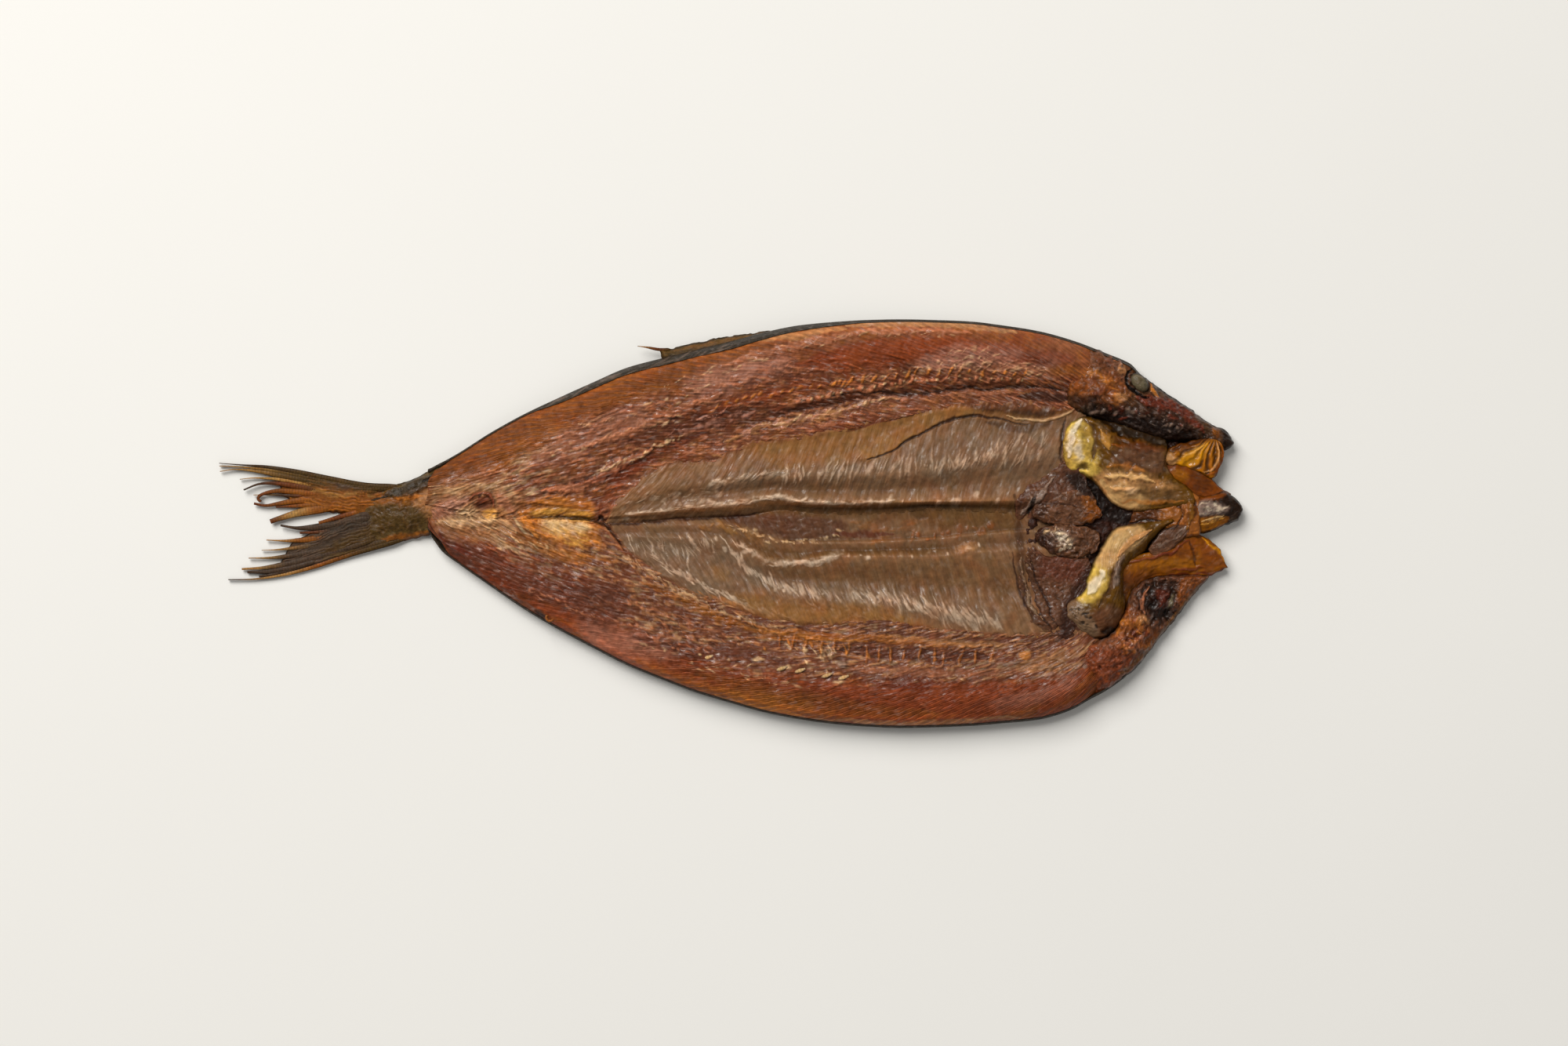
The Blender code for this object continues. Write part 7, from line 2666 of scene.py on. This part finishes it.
TAIL: tuple[Leaf, ...] = (
    Leaf("upper_tail_web", FIN, Tone.FIN_ORANGE, ((-89, 11), (-97, 10.8), (-108, 11.6),
        (-118, 13.4), (-128, 15.4), (-134, 16.4)), ((-92, 4), (-102, 2.6), (-110, 2.4),
        (-118, 3.6), (-126, 5.6), (-131, 8)), (1.2, 1.5, 1.0), (1.6, 2.2, 1.1), (1.4, 2.0, 1.0),
        under=0.4, lumps=0.08, lines=0.3, pitch=1.05, wet=0.35, marks=(
        Area(Tone.FIN_OLIVE, ((-90, 12), (-112, 13), (-134, 18), (-134, 13), (-118, 10),
            (-100, 9)), 1.6),
        Area(Tone.SKIN_DARK, ((-95, 12), (-104, 13), (-112, 13), (-106, 10), (-96, 9)), 1.6,
            strength=0.6),
        Stroke(Tone.FIN_GREY, ((-102, 10.6), (-110, 10.8), (-118, 11.8)), 0.9, 1, broken=0.6),
        Stroke(Tone.FIN_STRAW, ((-104, 8.4), (-116, 8.8), (-128, 11)), 0.7, 0.9, broken=0.6,
            strength=0.45),
    )),
    Leaf("lower_tail_web", FIN, Tone.FIN_GREY, ((-90, 3), (-101, 4.6), (-109, 3.6), (-116, 1),
        (-121, -2), (-128, -4.6)), ((-88, -2.4), (-98, -5.2), (-106, -7.7), (-116, -10.6),
        (-126, -13.5), (-134, -15.5)), (1.2, 1.6, 0.9), (1.6, 2.1, 1.0), (1.4, 2.0, 1.0),
        under=0.4, lumps=0.08, lines=0.3, pitch=1.05, wet=0.35, marks=(
        Area(Tone.FIN_OLIVE, ((-97, -1), (-104, 0), (-112, -4), (-120, -9), (-112, -11),
            (-98, -7)), 1.6),
        Stroke(Tone.FIN_ORANGE, ((-90, -3.4), (-100, -6), (-108, -8.6), (-118, -11.4)), 0.7, 0.9,
            strength=0.6),
        Area(Tone.SKIN_DARK, ((-104, 1.6), (-112, 0.8), (-118, -1.6), (-110, -2)), 1.2,
            strength=0.6),
    )),
    Leaf("tail_stock", SKIN, Tone.SKIN_OLIVE, ((-83, 18), (-86, 16.8), (-89, 15), (-93, 12.9),
        (-98, 11.4), (-104, 9.8), (-110, 7.6)), ((-86, -2.6), (-90, -3.8), (-95, -4.9),
        (-100, -5.9), (-106, -5), (-110, -2)), (2.6, 1.8, 1.4), (5.4, 4.0, 1.4), (2.8, 1.9, 1.4),
        under=0.3, lumps=0.5, lump=2.2, wet=0.6, marks=(
        Area(Tone.FIN_ORANGE, ((-86, 12), (-92, 10), (-98, 8), (-103, 6), (-97, 5), (-90, 4),
            (-86, 3)), 1.4),
        Area(Tone.TAN_FLESH, ((-86, 9), (-90, 9.6), (-93, 7.6), (-92, 4), (-88, 1), (-86, 2)),
            1.2),
        Area(Tone.FIN_OLIVE, ((-88, 3), (-95, 6), (-104, 5), (-112, 3), (-108, -3), (-98, -3),
            (-91, -2)), 1.6),
        Area(Tone.FIN_ORANGE, ((-99, 9.4), (-104, 9), (-112, 8), (-112, 5.6), (-102, 5.4)), 1.2),
        Stroke(Tone.FIN_ORANGE, ((-86, -2), (-92, -4), (-98, -5), (-106, -6)), 1.6, 1.2),
        Stroke(Tone.ORANGE_FAT, ((-90, 7.6), (-94, 8.2), (-98, 7.4)), 0.8, 1.2, broken=1,
            lift=0.3),
        Stroke(Tone.SKIN_DARK, ((-84.4, 15.8), (-86.4, 13.4), (-89, 11.8), (-94, 10.2),
            (-100, 8.6)), 1.9, 0.9, 0.5, 0.3, lift=0.6, oil=0.9),
        Stroke(Tone.BLACK, ((-84.6, 16.4), (-86.6, 13.6), (-90, 12)), 0.6, lift=-0.3),
    )),
    Leaf("tail_fold", SKIN, Tone.SKIN_DARK, ((-87, 13), (-93, 11.1), (-99, 9.2), (-104, 7.4),
        (-110, 6)), ((-87, 11.6), (-93, 9.6), (-99, 7.9), (-104, 6.4), (-110, 5.5)),
        (3.6, 2.9, 1.9), (4.8, 3.7, 2.3), (3.6, 2.9, 1.9), under=1.0, lumps=0.25, lump=1.5,
        lines=0.12, pitch=0.7, wet=0.6),
    Leaf("back_fin", FIN, Tone.FIN_OLIVE, ((-20.6, 51), (-17, 51.2), (-12, 52.5), (-5, 54),
        (0, 54.9), (6, 55.7), (12, 56.6), (17, 56.9)), ((-19.6, 47.6), (-15, 48.2), (-10, 49.3),
        (-5, 50.4), (0, 51.7), (6, 53.2), (12, 54.8), (17, 56)), (4.6, 4.6, 4.4), (4.4, 4.2, 4.3),
        (3.4, 3.2, 3.8), under=2.2, lumps=0.08, lines=0.16, pitch=0.7, wet=0.35, marks=(
        Stroke(Tone.SKIN_DARK, ((-20, 48.6), (-10, 50), (0, 52.2), (12, 55)), 0.6, 0.8),
        Stroke(Tone.LINING_OLIVE, ((-18, 50.6), (-10, 51.8), (0, 53.9), (10, 55.8)), 0.5, 0.7,
            broken=0.6, strength=0.7),
    )),
)

SPIKE = Blade(((-17, 50.9), (-20.6, 50.9), (-24, 51.5), (-27, 51.9)), (0.5, 0.42, 0.1),
    (3.7, 3.6, 3.8), (OLIVE, RED, STRAW), 0.5)

BONES: tuple[Blade, ...] = tuple(
    Blade(((x, y), (x + 1.6, y + 0.5), (x + 3.2, y + 1.1)), (0.35, 0.6, 0.3), (z, z + 0.2, z),
          (Tone.CREAM_AND_GLINT, Tone.PALE_FAT, Tone.CREAM_AND_GLINT), thick=0.8, segments=0.0)
    for x, y, z in ((-8, -39.4, 9.9), (13.5, -42.6, 10.1), (18.8, -43.2, 10.1),
                    (26.6, -44.6, 10.1), (31.4, -45.2, 10.2))
)


@dataclass
class ScaleRing:
    """A single scale that stands on edge on the front rim, where a fin was cut away.

    Attributes:
        centre: Its middle.
        radius: Its outer radius.
        tube: Half its thickness.
        height: Height of its middle.
    """

    centre: tuple[float, float] = (-52.4, -27.3)
    radius: float = 1.05
    tube: float = 0.38
    height: float = 6.9

    def build(self, finisher: Finisher) -> bpy.types.Object:
        """Makes the ring: a circle carried round a circle.

        Args:
            finisher: Puts the mesh into the scene.

        Returns:
            The object.
        """
        around, tube = 36, 12
        a = np.linspace(0, 2 * math.pi, around, endpoint=False)[:, None]
        b = np.linspace(0, 2 * math.pi, tube, endpoint=False)[None, :]
        reach = self.radius + self.tube * np.cos(b)
        x = self.centre[0] + reach * np.cos(a)
        y = self.centre[1] + reach * np.sin(a)
        z = self.height + self.tube * np.sin(b) + 0.0 * a
        canvas = Canvas(x, y, z, Tone.AMBER_FLESH)
        faces = cells(np.pad(canvas.index, ((0, 1), (0, 1)), mode="wrap"))
        source = canvas.index.ravel()
        piece = Piece.from_canvas("scale_ring", canvas.points, faces, canvas, source)
        return piece.build(BONE, finisher)


# ---------------------------------------------------------------- camera, light and floor


@dataclass(frozen=True)
class Lamp:
    """A square area light that points at the fish.

    Attributes:
        name: Its name.
        place: Where it hangs, in metres.
        size: Length of its side, in metres.
        watts: Its power.
        colour: Its colour.
    """

    name: str
    place: Trio
    size: float
    watts: float
    colour: Colour = (1.0, 0.98, 0.95)

    def build(self) -> None:
        """Makes the light."""
        lamp = bpy.data.lights.new(self.name, "AREA")
        lamp.size, lamp.energy, lamp.color = self.size, self.watts, self.colour
        stand = bpy.data.objects.new(self.name, lamp)
        stand.location = self.place
        stand.rotation_euler = (-stand.location).to_track_quat("-Z", "Y").to_euler()
        bpy.context.scene.collection.objects.link(stand)


@dataclass
class Studio:
    """A pale floor, a large soft light and a camera straight above.

    Attributes:
        view_width: How much of the floor the picture is wide, in metres.
        centre: Where the camera looks.
        level: Height of the surface that the width is meant for, in metres.
        lens: Focal length in millimetres.
        sensor: Width of the sensor in millimetres.
        lamps: The lights.
        sky: Colour of the surroundings.
        slab: Colour of the floor.
        floor_width: Width of the floor, in metres.
        floor_gap: How far the floor lies below the fish, in metres.
    """

    view_width: float = 0.4573
    centre: tuple[float, float] = (0.0158, 0.0002)
    level: float = 0.006
    lens: float = 85.0
    sensor: float = 36.0
    lamps: tuple[Lamp, ...] = (
        Lamp("softbox", (-0.84, 1.22, 1.76), 1.5, 58.5), Lamp("fill", (0.7, -0.5, 1.1), 0.9, 1.4),
    )
    sky: Colour = (1.0, 0.98, 0.955)
    slab: Colour = (0.862, 0.853, 0.818)
    floor_width: float = 6.0
    floor_gap: float = 0.0001

    def build(self) -> None:
        """Makes the floor, the lights, the surroundings and the camera."""
        self.floor()
        for lamp in self.lamps:
            lamp.build()
        world = bpy.data.worlds.new("surroundings")
        world.use_nodes = True
        background = world.node_tree.nodes["Background"]
        background.inputs["Color"].default_value = (*self.sky, 1.0)
        background.inputs["Strength"].default_value = 0.2
        bpy.context.scene.world = world
        camera = bpy.data.cameras.new("camera")
        camera.lens, camera.sensor_width = self.lens, self.sensor
        stand = bpy.data.objects.new("camera", camera)
        height = self.view_width * self.lens / self.sensor + self.level
        stand.location = (*self.centre, height)
        bpy.context.scene.collection.objects.link(stand)
        bpy.context.scene.camera = stand
        bpy.context.scene.view_settings.view_transform = "Standard"

    def floor(self) -> None:
        """A pale slab, a little warm and uneven."""
        mesh, half = bpy.data.meshes.new("floor"), self.floor_width / 2.0
        corners = [(-half, -half, 0), (half, -half, 0), (half, half, 0), (-half, half, 0)]
        mesh.from_pydata(corners, [], [(0, 1, 2, 3)])
        slab_top = bpy.data.objects.new("floor", mesh)
        slab_top.location.z = -self.floor_gap
        bpy.context.scene.collection.objects.link(slab_top)
        nodes = Nodes("floor")
        place = nodes.add("ShaderNodeTexCoord", {}, {}).outputs["Object"]
        clouds = nodes.texture(place, [7.0] * 3, 4.0)
        colour = nodes.shaded(self.slab, 0.985 + clouds * 0.03)
        inputs = {"Base Color": colour, "Roughness": 0.55, "Specular IOR Level": 0.3}
        shader = nodes.add("ShaderNodeBsdfPrincipled", {}, inputs)
        nodes.add("ShaderNodeOutputMaterial", {}, {"Surface": shader.outputs[0]})
        mesh.materials.append(nodes.material)


def main() -> None:
    """Builds the fish piece by piece."""
    logging.basicConfig(level=logging.INFO, format="%(name)s %(message)s")
    finisher = Finisher()
    Studio().build()
    for side in Side:
        Fillet(side).build(finisher)
        BellyLining(side).build(finisher)
    Skin().build(finisher)
    for leaf in HEAD + TAIL:
        leaf.build(finisher)
    Eye().build(finisher)
    for name, rays in (("upper_tail_rays", UPPER_RAYS), ("lower_tail_rays", LOWER_RAYS)):
        Piece.joined(name, [ray.piece() for ray in rays]).build(FIN, finisher)
    Piece.joined("fin_spike", [SPIKE.piece()]).build(FIN, finisher)
    Piece.joined("rib_ends", [bone.piece() for bone in BONES]).build(BONE, finisher)
    ScaleRing().build(finisher)


if __name__ == "__main__":
    main()
